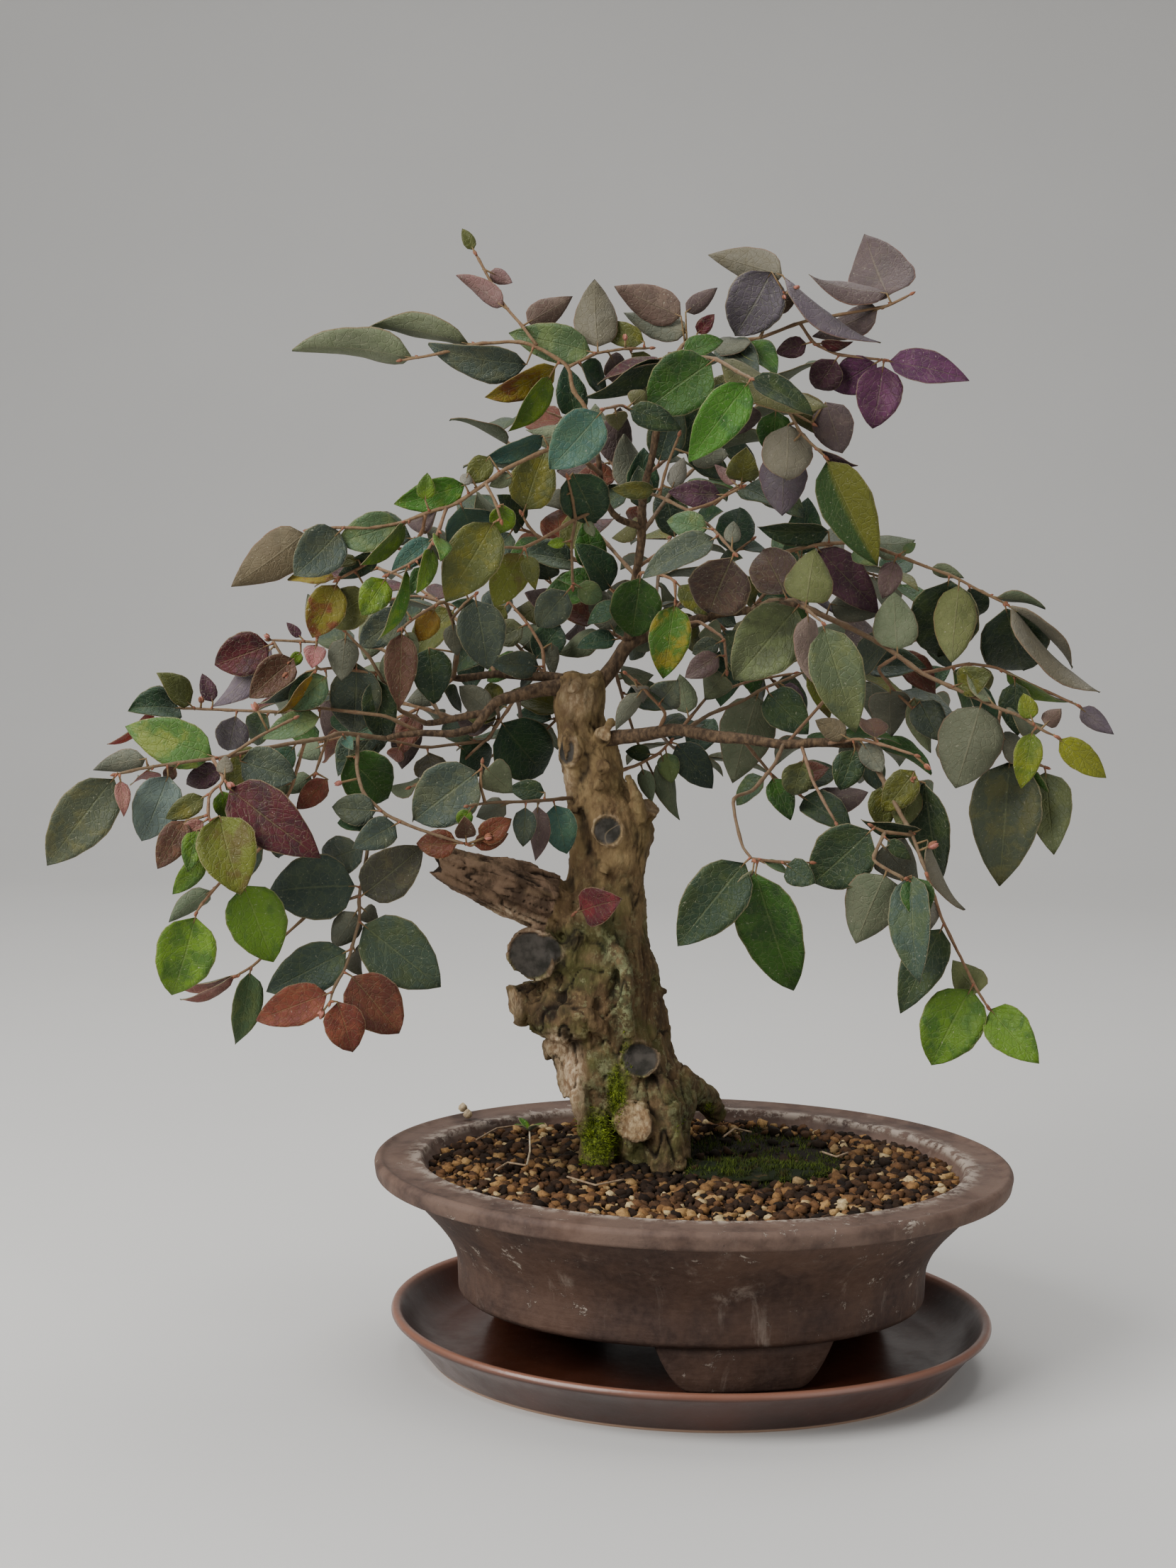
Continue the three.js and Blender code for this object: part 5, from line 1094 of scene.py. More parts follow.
def layRearLeaf(foliage, shoot, draw, n, count):
    line = shoot["lines"][0]
    where = (0.16 + 0.84 * (n + 1) / count) * (len(line) - 1)
    i = min(len(line) - 2, math.floor(where))
    root = mix(line[i], line[i + 1], min(1, where - i))
    along = unit(line[i + 1] - line[i])
    level = unit(np.cross(along, upright))
    rise = np.cross(level, along)
    length = 30 + 12 * draw()
    turn0 = (math.pi if n % 2 else 0) + 0.7 * (draw() - 0.5)
    tilt = 0.7 * (draw() - 0.5)
    for k in range(9):
        turn = turn0 + (1 if k % 2 else -1) * math.ceil(k / 2) * 0.42
        axis = along * 0.6 + swung(level, rise, turn) * 0.8
        axis = unit(axis - [0, 0, 0.25])
        flatSide = unit(np.cross(axis, upright))
        across = swung(flatSide, np.cross(flatSide, axis), tilt)
        upper = np.cross(across, axis)
        colour = ("forest", "green", "slate", "olive", "burgundy")[math.floor(5 * draw())]
        laid = leafAt(root, along, root + axis * 3, axis, across, upper if upper[2] >= 0 else -upper, length,
                      0.52 * length, colour, "top")
        points, others, own, _ = foliage.check(laid, shoot)
        if others >= clearance["blade"] and own >= 2:
            foliage.keep(laid, points, shoot)
            return


# The rows hold the leaves that can be told apart. Behind them the crown is closed with inner leaves:
# one at a node of a twig that has none, where it meets nothing.
innerLeaves = {"first": 5.0, "step": 5.5, "shortest": 20.0, "spread": 13.0, "clearance": 2.2, "open": 0.13,
               "top": ("forest", "darkGreen", "slateGreen", "olive", "darkGreen", "slate", "green",
                       "copperBrown"),
               "under": ("sage", "silver", "olive", "paleSage", "taupe")}


def inCrown(u, v):
    inside = False
    for (u0, v0), (u1, v1) in zip([crownEdge[-1]] + crownEdge, crownEdge):
        if (v0 > v) != (v1 > v) and u < u0 + (u1 - u0) * (v - v0) / (v1 - v0):
            inside = not inside
    return inside


def layInnerLeaf(foliage, shoot, root, along, draw):
    length = innerLeaves["shortest"] + innerLeaves["spread"] * draw()
    turn0 = 2 * math.pi * draw()
    lean = draw() - 0.5
    face = "under" if draw() < 0.25 else "top"
    colour = innerLeaves[face][int(draw() * len(innerLeaves[face]))]
    if any((other["root"] - root) @ (other["root"] - root) < 25 for other in shoot["foliage"]):
        return
    level = unit(np.cross(along, upright if abs(along[2]) < 0.9 else [0, 1, 0]))
    rise = np.cross(level, along)
    view = unit(root - eye)
    best = None
    for k in range(12):
        out = swung(level, rise, turn0 + k * 0.524)
        axis = unit(along * 0.5 + out * 0.85 - [0, 0, 0.15])
        if abs(axis @ view) > 0.8:
            continue
        facing = unit(view * -0.75 + [0.5 * lean, 0, 0.5])
        across = unit(np.cross(axis, facing))
        normal = np.cross(across, axis)
        seen = normal if normal @ facing > 0 else -normal
        foot = root + axis * 3
        upper = seen if face == "top" else -seen
        laid = leafAt(root, along, foot, axis, across, upper, length, 0.62 * length, colour, face)
        spots = onSheet(np.array([foot + axis * length, foot + axis * length * 0.5]))
        if not all(inCrown(u, v) for u, v in zip(*spots)):
            continue
        points, others, own, before = foliage.check(laid, shoot)
        if others < innerLeaves["clearance"] or own < 2 or before > 0.12:
            continue
        bare = np.mean([cell not in foliage.front for cell in foliage.cells(points)])
        if bare > innerLeaves["open"] and (best is None or bare > best[0] + 1e-6):
            best = (bare, laid, points)
    if best:
        foliage.keep(*best[1:], shoot)


def fillCrown(foliage, every):
    for number, shoot in enumerate(every):
        draw = draws(2000 + 31 * number)
        for line in shoot["lines"]:
            walked = 0.0
            following = innerLeaves["first"]
            for a, b in zip(line, line[1:]):
                span = lengthOf(b - a)
                while following <= walked + span:
                    layInnerLeaf(foliage, shoot, mix(a, b, (following - walked) / span), unit(b - a), draw)
                    following += innerLeaves["step"]
                walked += span


def planFoliage():
    every = shoots + rearShoots
    runShoots(every)
    foliage = Foliage(every)
    for shoot in shoots:
        for row in shoot["leaves"]:
            foliage.keep(*layLeaf(foliage, shoot, row)[1:], shoot)
    for shoot, (count, seed) in zip(rearShoots, rearRules):
        draw = draws(seed)
        for n in range(count):
            layRearLeaf(foliage, shoot, draw, n, count)
    for shoot in shoots:
        for row in shoot["smallLeaves"]:
            score, laid, points = layLeaf(foliage, shoot, row)
            if score < 100:
                foliage.keep(laid, points, shoot)
    runShoots(innerTwigs)
    foliage.addTwigs(innerTwigs)
    fillCrown(foliage, innerTwigs + every)
    return every


# Leafy shoots
leaf = {"grid": (15, 9), "smallGrid": (11, 5), "fineAbove": 27.0, "thickness": 0.34, "fold": 0.19,
        "wave": 0.035, "stalkRadius": 0.5, "upperShade": 0.42, "underShade": 0.25, "twigSides": 8,
        "twigSlimness": 0.86}
twigTint = linear("6f5a40")
youngTwigTint = linear("7e6248")
stalkTint = linear("74603e")
budTint = linear("85543c")
budTipTint = linear("b87466")


def readTints(text):
    return {name: tints for name, *tints in (row.split() for row in text.split(","))}


# Each colour's two tones, for upper sides and for undersides.
# One slate pair, 84938c and 9baa9d, is lighter than the leaf's own slate: a painted glossy highlight.
upperTints = readTints("""
    brightGreen 5f9038 3f6c2e, green 486f30 345629, forest 344830 475931, darkGreen 314e36 436440,
    olive 686c3c 817e3a, yellowOlive 80843a 6a592c, blueSage 55776a 6a8a70, sage 6c8560 8c9a67,
    slate 545f53 6a705a, slateGreen 4e5e4e 626f4e, darkSlate 3f4d42 55614e, slateOlive 5f644e 747553,
    silverSlate 84938c 9baa9d, slateBrown 5a5545 71674d, teal 5a8a7e 7aa48c, lime 88a444 5c7c2e,
    limeGreen 7d9f3e 4f7528, leafGreen 60903d 87a648, yellowGreen 809440 98a24a, yellow 9aa04a aab054,
    greenYellow 588035 ae9e42, mottledYellow b09c42 86402c, mottledRed 948d47 853d31,
    burgundy 5c1c24 3e1a20, halfYellow 44602e 7f8244, plum 522e3b 6c4552, plumGrey 685e62 857b82,
    taupePlum 554038 6a5346, purple 6a3a5a 844e70, copper 86483c a0604c, copperBrown 78463a 8f5a48,
    rust 7a4330 8f5539, brown 69483a 825f4d, amber a27f41 b99a56, red a23a30 bc5444,
    darkRed 6e2a30 8a3c3e, rose b07a72 c8968a, pink c58485 d69d99, taupe 8e7673 a38a84,
    pinkMottled bc8480 90a060,
    veinedGreen 688b50 a6ae64, oliveSage 6d7657 858c61""")
underTints = readTints("""
    pale b4c195 c7d0a6, paleSage 9ea883 b2b792, paleTaupe a3a888 b4b898, cream b2a98e beb59e,
    creamPink d9bbac eacebd, white d0cab8 dedac8, silver a4a790 bbba9f, sage 9fac86 b4bf94,
    olive 8c8c57 a3a068, mint b1c59d c6d2ad, limeSage a3ac6c b7bd7c, taupe 8e7673 a38a84,
    tan 9d8c6c b5a37f, pink cc9e98 dcb4ac, rose a28272 ba9b87, lilac a7949f bdadb3, plum 866676 9c8090""")
plainUnder = ("98a482", "aab492")
plainUpper = ("3c5638", "4e6a3c")


def leafParts(laid, draw):
    length, width = laid["length"], laid["width"]
    rows, columns = leaf["grid"] if length > leaf["fineAbove"] else leaf["smallGrid"]
    t = np.linspace(0, 1, rows)
    t = t + 0.045 * np.sin(2 * np.pi * t)
    s = np.linspace(-1, 1, columns)
    # The outline: pointed when slim, blunter and wider above the middle when round.
    roundness = min(1.0, max(0.0, (width / length - 0.5) / 0.4))
    a, b = 0.54 - 0.04 * roundness, 0.95 - 0.2 * roundness
    peak = a / (a + b)
    half = (np.clip(t, 0, 1) / peak) ** a * (np.clip(1 - t, 0, 1) / (1 - peak)) ** b
    ripple = 1 + 0.014 * np.sin(t * 31 + 7 * draw()) + 0.012 * np.sin(t * 17 + 7 * draw())
    half = 0.5 * width * np.maximum(half * ripple, np.where(t < 0.5, 0.05, 0.014))
    twist = (draw() - 0.5) * 0.3 * (t - 0.4)
    bow = laid["arch"] * 4 * t * (1 - t) - 0.03 * length * np.clip((t - 0.72) / 0.28, 0, 1) ** 2
    phase = 6.28 * draw()
    skew = 0.05 * width * (draw() - 0.5) * np.sin(np.pi * t)
    half, twist, bow, skew, along = (value[:, None] for value in (half, twist, bow, skew, t))
    out = half * s
    rise = leaf["fold"] * half * 1.7 * (np.abs(s) ** 1.5 - 0.36)
    rise += leaf["wave"] * width * np.sin(9 * along + phase + 1.4 * np.sign(s)) * s ** 2
    x = out * np.cos(twist) - rise * np.sin(twist) + skew
    z = out * np.sin(twist) + rise * np.cos(twist) + bow
    y = length * along + 0 * s
    middle = laid["foot"] + x[..., None] * laid["side"] + y[..., None] * laid["axis"]
    middle = middle + z[..., None] * laid["upper"]
    half = leaf["thickness"] / 2
    points = np.concatenate([(middle + laid["upper"] * up).reshape(-1, 3) for up in (half, -half)])
    n = rows * columns
    index = np.arange(n).reshape(rows, columns)
    corners = [index[:-1, :-1], index[:-1, 1:], index[1:, 1:], index[1:, :-1]]
    quads = np.stack(corners, axis=-1).reshape(-1, 4)
    loop = np.concatenate([index[0, :], index[1:, -1], index[-1, -2::-1], index[-2:0:-1, 0]])
    following = np.roll(loop, -1)
    rim = np.stack([loop, loop + n, following + n, following], axis=-1)
    if np.cross(laid["side"], laid["axis"]) @ laid["upper"] > 0:
        faces = np.concatenate([quads, quads[:, ::-1] + n, rim])
    else:
        faces = np.concatenate([quads[:, ::-1], quads + n, rim[:, ::-1]])
    uv = np.stack([0.5 + 0.5 * s + 0 * along, along + 0 * s], axis=-1)
    return points, faces.tolist(), np.tile(uv.reshape(-1, 2), (2, 1))


def varied(colour, draw, spread=0.12):
    shade = 1 + spread * (2 * draw() - 1)
    warm = 1 + 0.4 * spread * (2 * draw() - 1)
    return np.clip(np.array([colour[0] * shade * warm, colour[1] * shade, colour[2] * shade / warm]), 0, 1)


def richer(colour, much):
    grey = 0.3 * colour[0] + 0.6 * colour[1] + 0.1 * colour[2]
    return np.clip(grey + (colour - grey) * much, 0.002, 1)


def scatter(draw):
    return np.array([draw() - 0.5, draw() - 0.5, draw() - 0.5])


class Spray:
    # The wood and the leaves of one shoot, gathered into one mesh with its colours.
    def __init__(self):
        self.faces = []
        self.parts = []
        self.count = 0

    def add(self, points, faces, *rows):
        n = len(points)
        self.faces += [tuple(k + self.count for k in face) for face in faces]
        self.parts.append([points] + [np.tile(row, (n, 1)) if np.ndim(row) == 1 else row for row in rows])
        self.count += n

    def addWood(self, part, tint):
        self.add(*part, np.zeros(2), tint, tint, (0.0, 0.5, 1.0))

    def addLeaf(self, laid, draw):
        points, faces, uv = leafParts(laid, draw)
        n = len(points) // 2
        top = laid["face"] == "top"
        seen = (upperTints if top else underTints)[laid["colour"]]
        upper, under = (seen, plainUnder) if top else (plainUpper, seen)
        a, b = (richer(leaf["upperShade"] * varied(linear(tone), draw), 1.3) for tone in upper)
        c, d = (richer(leaf["underShade"] * varied(linear(tone), draw, 0.07), 1.15) for tone in under)
        tint, mottle = np.repeat([a, c], n, axis=0), np.repeat([b, d], n, axis=0)
        if laid["colour"] == "halfYellow":
            tint[:n] = np.where(((uv[:n, 0] < 0.5) == (laid["side"][0] > 0))[:, None], a, b)
            mottle[:n] = tint[:n]
        seed = draw()
        self.add(points, faces, uv, tint, mottle, np.repeat([(1.0, seed, 0.0), (0.0, seed, 0.0)], n, axis=0))

    def addStalk(self, laid):
        foot = laid["foot"] + laid["axis"] * 0.8
        bend = laid["foot"] - laid["axis"] * 0.3
        line = [laid["root"], mix(laid["root"], bend, 0.6), bend, foot + laid["axis"] * 2.2]
        self.addWood(tube(line, [0.62, leaf["stalkRadius"], leaf["stalkRadius"] * 0.96, 0.22], 6), stalkTint)

    def finish(self, name):
        points, uv, *colours = (np.concatenate(rows) for rows in zip(*self.parts))
        piece = makePiece(name, points, self.faces)
        giveUv(piece.data, uv)
        for label, values in zip(("bladeTint", "mottleTint", "bladeLook"), colours):
            giveColour(piece.data, label, values)
        return piece


def twigPart(line, first, last, draw):
    line = list(line[:-1]) + [line[-1] + unit(line[-1] - line[-2]) * 1.2]
    points = closer(rounded(line), 4.0)
    radii = []
    for i, p in enumerate(points):
        radius = leaf["twigSlimness"] * mix(first, last, i / (len(points) - 1))
        radii.append(radius * (0.95 + 0.07 * draw() + 0.24 * (i % 6 == 3)))
        if 0 < i < len(points) - 1:
            points[i] = p + 0.16 * scatter(draw)
    radii[-1] *= 0.45
    radii[0] *= 1.25
    return tube(points, radii, leaf["twigSides"])


def buildShoot(shoot, seed):
    draw = draws(seed)
    spray = Spray()
    first, last = shoot["radius"]
    for k, line in enumerate(shoot["lines"]):
        part = twigPart(line, last * 1.15 if k else first, last, draw)
        spray.addWood(part, varied(twigTint if first > 1.15 else youngTwigTint, draw, 0.15))
        spray.addWood(egg(line[-1], unit(line[-1] - line[-2]), 3.4, 0.95), varied(budTint, draw))
    for laid in shoot["foliage"]:
        spray.addLeaf(laid, draw)
        spray.addStalk(laid)
        toTip = unit(laid["foot"] - laid["root"])
        lift = unit(toTip + laid["upper"] * 0.7)
        spray.addWood(egg(laid["root"] + toTip * 0.4, lift, 2.4, 0.75, 5), varied(budTint, draw))
    for u, v, wide in shoot["buds"]:
        root, _ = footOnTwig(shoot["lines"], u, v)
        end = place(u, v, root[1] - 1)
        out = unit(end - root)
        size = 0.42 * wide
        for k in range(4):
            part = egg(end - out * 0.8, unit(out + 0.7 * scatter(draw)), size * 1.3, size * 0.42)
            spray.addWood(part, varied(budTint if k % 2 else budTipTint, draw))
        spray.addWood(tube([root, end], [0.6, 0.6], 6), stalkTint)
    return spray


def shootMaterial():
    paint = Paint("leafAndTwig")
    bladeTint, mottleTint = paint.given("bladeTint", "Color"), paint.given("mottleTint", "Color")
    upper, _, wood = paint.split(paint.given("bladeLook", "Color"))
    blade = 1 - wood
    across, along, _ = paint.split(paint.out("ShaderNodeUVMap", "UV", uv_map="bladeUv"))
    away = (across - 0.5).absolute()
    # Side veins leave the midrib and curve towards the tip.
    run = (along - away ** 1.25 * 0.95) * 6.5 + paint.noise(160.0, 2.0) * 0.7
    wave = (run.fraction() - 0.5).absolute()
    veins = ((1 - wave.step(0.0, 0.07)) * 0.45).most(1 - away.step(0.006, 0.026)) * blade
    netted = paint.net(290.0, 0.1) * blade
    fineNet = paint.net(700.0, 0.09) * blade
    margin = (1 - (0.5 - away).step(0.004, 0.03)) * blade
    patch = paint.noise(90.0, 5.0, 0.6, 0.4)
    paint.colour = paint.blend(patch.step(0.44, 0.62) * 0.85, bladeTint, mottleTint)
    # Dark patches at random over the leaves are painted shade.
    paint.coat(paint.noise(55.0).step(0.5, 0.68) * 0.4, paint.blend(0.5, paint.colour, "20261a"))
    paint.coat(fineNet * 0.28, paint.blend(0.24, paint.colour, "1c2412", "MULTIPLY"))
    paler = paint.blend(0.34, paint.colour, paint.blend(upper, "8e8466", "8f9460"))
    paint.coat(netted * 0.22, paler)
    paint.coat(veins * (0.5 - upper * 0.12), paler)
    paint.coat(margin * 0.62, paint.blend(0.6, paint.colour, paint.blend(upper, "8a5a44", "a09068")))
    paint.coat(paint.noise(800.0, 2.0, 0.6).step(0.67, 0.72) * 0.36, "a8a48c")
    grained = paint.blend(paint.noise(420.0).step(0.35, 0.7), bladeTint, "5a3a26")
    paint.coat(wood, paint.blend(0.55, bladeTint, grained))
    height = veins * ((upper * -2.0 + 1.0) * 0.9) + fineNet * -0.15 + wave * (0.4 - wood * 0.4)
    height = height + netted * -0.5 + paint.noise(190.0, 3.0) * 1.8 + paint.noise(900.0, 3.0) * (wood * 1.2)
    gloss = 0.66 - upper * 0.14 + patch * 0.1
    return paint.finish(gloss, 0.32, height, 0.0004, 0.85, {"Sheen Weight": 0.05, "Sheen Roughness": 0.5})


def makeShoots():
    material = shootMaterial()
    for n, shoot in enumerate(innerTwigs):
        piece = buildShoot(shoot, 5000 + 37 * n).finish("fine_" + shoot["name"])
        finishPiece(piece, material, "leaves")
    for n, shoot in enumerate(planned):
        name = shoot["name"] if shoot["name"] == "leaf_on_trunk" else "shoot_" + shoot["name"]
        piece = buildShoot(shoot, 1000 + 37 * n).finish("fine_" + name)
        finishPiece(piece, material, "leaves", name)
    print("shoots made:", len(planned))


# Pot and saucer
ware = {"sides": 144, "lipHalfX": 160.0, "lipHalfY": 133.7, "lipTop": 101.7, "lipWidth": 23.6, "band": 9.5,
        "bottomInset": 42.8, "bottom": 31.5, "wall": 9.0, "floor": 41.0, "soilLevel": 95.0,
        "drainRadius": 7.0, "drainX": 62.0, "narrowFrom": 70}
feet = {"middles": (-75, 45, 140), "topHalf": 45.0, "bottomHalf": 27.0, "depth": 15.0, "standsOn": 8.0}
dish = {"halfX": 151.5, "halfY": 132.4, "rimTop": 25.2, "floor": 8.0, "turn": -3.5}


def roundCorners(profile, radii):
    made = [profile[0]]
    for before, at, after, radius in zip(profile, profile[1:], profile[2:], radii):
        before, corner, after = (np.array(p, dtype=float) for p in (before, at, after))
        back, on = before - corner, after - corner
        r = min(radius, 0.45 * math.hypot(*back), 0.45 * math.hypot(*on))
        if r < 0.2:
            made.append(at)
            continue
        start, end = corner + unit(back) * r, corner + unit(on) * r
        for t in np.arange(6) / 5:
            made.append(tuple(start * (1 - t) ** 2 + corner * 2 * t * (1 - t) + end * t ** 2))
    return made + [profile[-1]]


def finer(profile, step):
    made = [profile[0]]
    for (x0, z0), (x1, z1) in zip(profile, profile[1:]):
        count = max(1, math.ceil(math.hypot(x1 - x0, z1 - z0) / step))
        made += [(x0 + (x1 - x0) * k / count, z0 + (z1 - z0) * k / count) for k in range(1, count + 1)]
    return made


def narrowed(r, drawnIn):
    near = ware["narrowFrom"]
    return (r - drawnIn) / r if r > near else (near - drawnIn) / near


def ovalBody(profile, radii, step, drawnIn, turn, wobble):
    angle = circle(ware["sides"])
    turned = math.radians(turn)
    rings = []
    for r, z in finer(roundCorners(profile, radii), step):
        r = max(r, 0.05)
        hand = 1 + wobble * np.sin(3 * angle + z / 17) / 160
        x = r * hand * np.cos(angle)
        y = r * hand * narrowed(r, drawnIn) * np.sin(angle)
        lift = 0.6 * wobble * np.sin(2 * angle + 1.1) * (z > 60)
        rings.append(np.stack([x * math.cos(turned) - y * math.sin(turned),
                               x * math.sin(turned) + y * math.cos(turned), z + lift], axis=1))
    return loft(rings, False)


def footPart(degrees, halfX, halfY):
    height = ware["bottom"] - feet["standsOn"] - gap
    middle = math.radians(degrees)
    perRadian = math.hypot(halfX * math.sin(middle), halfY * math.cos(middle))
    rings = []
    for s in np.linspace(-feet["topHalf"], feet["topHalf"], 37):
        reach = abs(s)
        deep = 1.0
        if reach >= feet["bottomHalf"]:
            k = (feet["topHalf"] - reach) / (feet["topHalf"] - feet["bottomHalf"])
            deep = max(0.04, math.sin(min(1, k) * math.pi / 2) ** 0.75)
        t = middle + s / perRadian
        low = ware["bottom"] - height * deep
        high = ware["bottom"] + 3
        taper = 2.5 * deep
        soft = min(2.4, 0.3 * (high - low))
        scallop = 0.5 * math.cos(s * math.pi / 9) * deep * (reach < feet["bottomHalf"] + 4)
        section = [(0, high), (taper * 0.35 - scallop * 0.4, high - 0.35 * (high - low)),
                   (taper * 0.75 - scallop, low + 0.3 * (high - low)), (taper + 0.2, low + soft * 0.6),
                   (taper + soft * 0.6, low), (feet["depth"] - taper - soft * 0.6, low),
                   (feet["depth"] - taper, low + soft), (feet["depth"], high)]
        rings.append(np.array([((halfX - inset) * math.cos(t), (halfY - inset) * math.sin(t), z)
                               for inset, z in section]))
    return loft(rings)


def makePot():
    a, top, width, band = ware["lipHalfX"], ware["lipTop"], ware["lipWidth"], ware["band"]
    bottom, wall, floor = ware["bottom"], ware["wall"], ware["floor"]
    drawnIn = a - ware["lipHalfY"]
    low = a - ware["bottomInset"]
    profile = [(0, bottom), (low - 3, bottom), (low, bottom + 2.5), (low + 0.6, bottom + 20),
               (low + 4, bottom + 28.5), (low + 10.5, bottom + 37.5), (low + 18, bottom + 45.5),
               (low + 24.5, bottom + 52.5), (a - 14, top - band - 1.6), (a - 1.2, top - band),
               (a, top - 2.4), (a - 2.6, top), (a - 6, top - 1.6), (a - width, top - 0.8),
               (a - width - 2.2, top - 5), (low - wall, bottom + 34), (low - wall - 3, floor), (0, floor)]
    radii = (2, 2, 5, 5, 5, 5, 3, 1.6, 1.6, 2, 1.4, 2, 1.6, 1.4, 8, 3)
    parts = [ovalBody(profile, radii, 4.5, drawnIn, 0.0, 0.25)]
    parts += [footPart(degrees, low - 5, low - 5 - drawnIn) for degrees in feet["middles"]]
    piece = makePiece("finePot", *gather(parts))
    for side in (-1, 1):
        bpy.ops.mesh.primitive_cylinder_add(vertices=32, radius=ware["drainRadius"] * metres, depth=0.02,
                                            location=(side * ware["drainX"] * metres, 0, 0.036))
        drill = bpy.context.object
        bore = piece.modifiers.new("drain", "BOOLEAN")
        bore.operation = "DIFFERENCE"
        bore.solver = "EXACT"
        bore.object = drill
        applied(piece)
        bpy.data.objects.remove(drill)
    return piece


def potMaterial():
    paint = Paint("weatheredClay")
    x, y, height = paint.split(paint.place)
    fine = paint.noise(260.0, 4.0, 0.6)
    paint.colour = paint.blend(paint.noise(22.0, 6.0, 0.62).step(0.36, 0.66), "372822", "523c30")
    paint.coat(fine.step(0.3, 0.75) * 0.28, "6d564a")
    worn = height.step(0.0905, 0.0925) * paint.noise(34.0, 6.0, 0.65).step(0.35, 0.62)
    paint.coat(worn * 0.6, "735d50")
    # Hard water has left a pale bloom: on the inner lip, in streaks down the wall and on the foot.
    streaky = paint.noise(60.0, 7.0, 0.7, 0.6, (1.0, 1.0, 0.16))
    bloom = streaky.step(0.56, 0.72) * (0.25 + (1 - height.step(0.06, 0.09)) * 0.3)
    crust = paint.noise(84.0, 10.0, 0.8, 0.4).step(0.585, 0.61) * paint.noise(19.0, 3.0).step(0.5, 0.58)
    top = height.step(0.097, 0.1)
    wide = y * 1.24
    outTo = (x * x + wide * wide) ** 0.5
    inner = top * (1 - outTo.step(0.137, 0.147))
    rimCrust = inner * (paint.noise(120.0, 7.0, 0.75).step(0.44, 0.56) * 0.65)
    pale = (bloom * 0.55).most(crust * (0.7 + top * 0.2)).most(rimCrust)
    paint.coat(pale, "b3a596")
    pits = paint.noise(900.0, 3.0, 0.7).step(0.7, 0.78)
    paint.coat(pits * 0.6, "2e1e18")
    turned = paint.noise(420.0, 3.0, 0.5, 0.0, (0.12, 0.12, 1.0))
    grain = fine * 0.7 + turned * 0.5 + pale * 0.6 - pits * 0.8
    return paint.finish(0.62 + fine * 0.22, 0.35, grain, 0.0007, 0.75)


def makeSaucer():
    a, rimTop, floor = dish["halfX"], dish["rimTop"], dish["floor"]
    profile = [(0, 0), (a - 20, 0), (a - 19, 1.2), (a - 6, rimTop - 8), (a, rimTop - 3), (a - 1.6, rimTop),
               (a - 4.4, rimTop - 0.4), (a - 13.5, floor + 5), (a - 22, floor), (0, floor)]
    radii = (0.3, 0.6, 7, 2.4, 1.8, 1.8, 6, 6)
    return makePiece("fineSaucer", *ovalBody(profile, radii, 6.0, a - dish["halfY"], dish["turn"], 0.0))


def saucerMaterial():
    paint = Paint("redBrownGlaze")
    height = paint.split(paint.place)[2]
    paint.colour = paint.blend(paint.noise(16.0, 5.0, 0.6).step(0.3, 0.7), "32190f", "482619")
    # The top of the rim is painted paler: a painted highlight along the rim.
    paint.coat(height.step(0.0215, 0.0248) * 0.8, "875c49")
    # The glaze stops short of the foot, where the clay is bare.
    bare = 1 - height.step(0.0012, 0.0021)
    paint.coat(bare, "a88a74")
    dust = paint.noise(700.0, 3.0, 0.7).step(0.64, 0.74)
    paint.coat(dust * 0.16, "a08a78")
    rough = 0.3 + paint.noise(60.0, 5.0, 0.6).step(0.35, 0.75) * 0.16 + bare * 0.5
    return paint.finish(rough, 0.5, paint.noise(240.0, 3.0, 0.5) + dust * 0.3, 0.0003, 0.35,
                        {"Coat Weight": 0.2, "Coat Roughness": 0.2})


def makeWare():
    finishPiece(makePot(), potMaterial(), "pot_clay", "pot")
    finishPiece(makeSaucer(), saucerMaterial(), "saucer_glaze", "saucer")
    print("pot and saucer made")


# The trunk
bark = {"voxel": 1.1, "sides": 72, "plates": 1.15, "lumps": 1.5, "grain": 0.3, "fissures": 1.8,
        "limbSides": 12, "limbSlimness": 0.86}
# Patches on the front sheet: middle u v, half width, half height, strength.
mossPatches = spotsOf("""
    846 1606 34 48 1, 870 1545 17 55 0.9, 884 1496 13 42 0.7, 963 1592 26 24 0.4, 935 1628 30 12 0.3,
    910 1517 24 9 0.4, 1000 1562 16 18 0.55""")
lichenPatches = spotsOf("""
    880 1400 19 72 0.85, 862 1335 24 34 0.6, 905 1540 26 14 0.5, 850 1500 16 40 0.5, 960 1570 26 30 0.6,
    838 1290 26 30 0.4, 985 1545 26 26 0.6, 838 1545 22 26 0.6""")
deadPatches = spotsOf("""
    804 1524 19 56 1, 786 1474 24 20 0.9, 800 1100 10 26 0.4, 815 985 24 24 0.5, 700 1290 34 12 0.7,
    736 1300 28 10 0.6""")
# Little round scars of cut twigs, each a low ring: u v depth, radius.
scars = spotsOf("""
    851 1080 13 3, 845 1108 11 2.4, 862 1020 15 2.6, 808 1142 17 3, 852 1226 8.5 2.6, 805 968 16 3.2,
    838 962 14 2.4""")
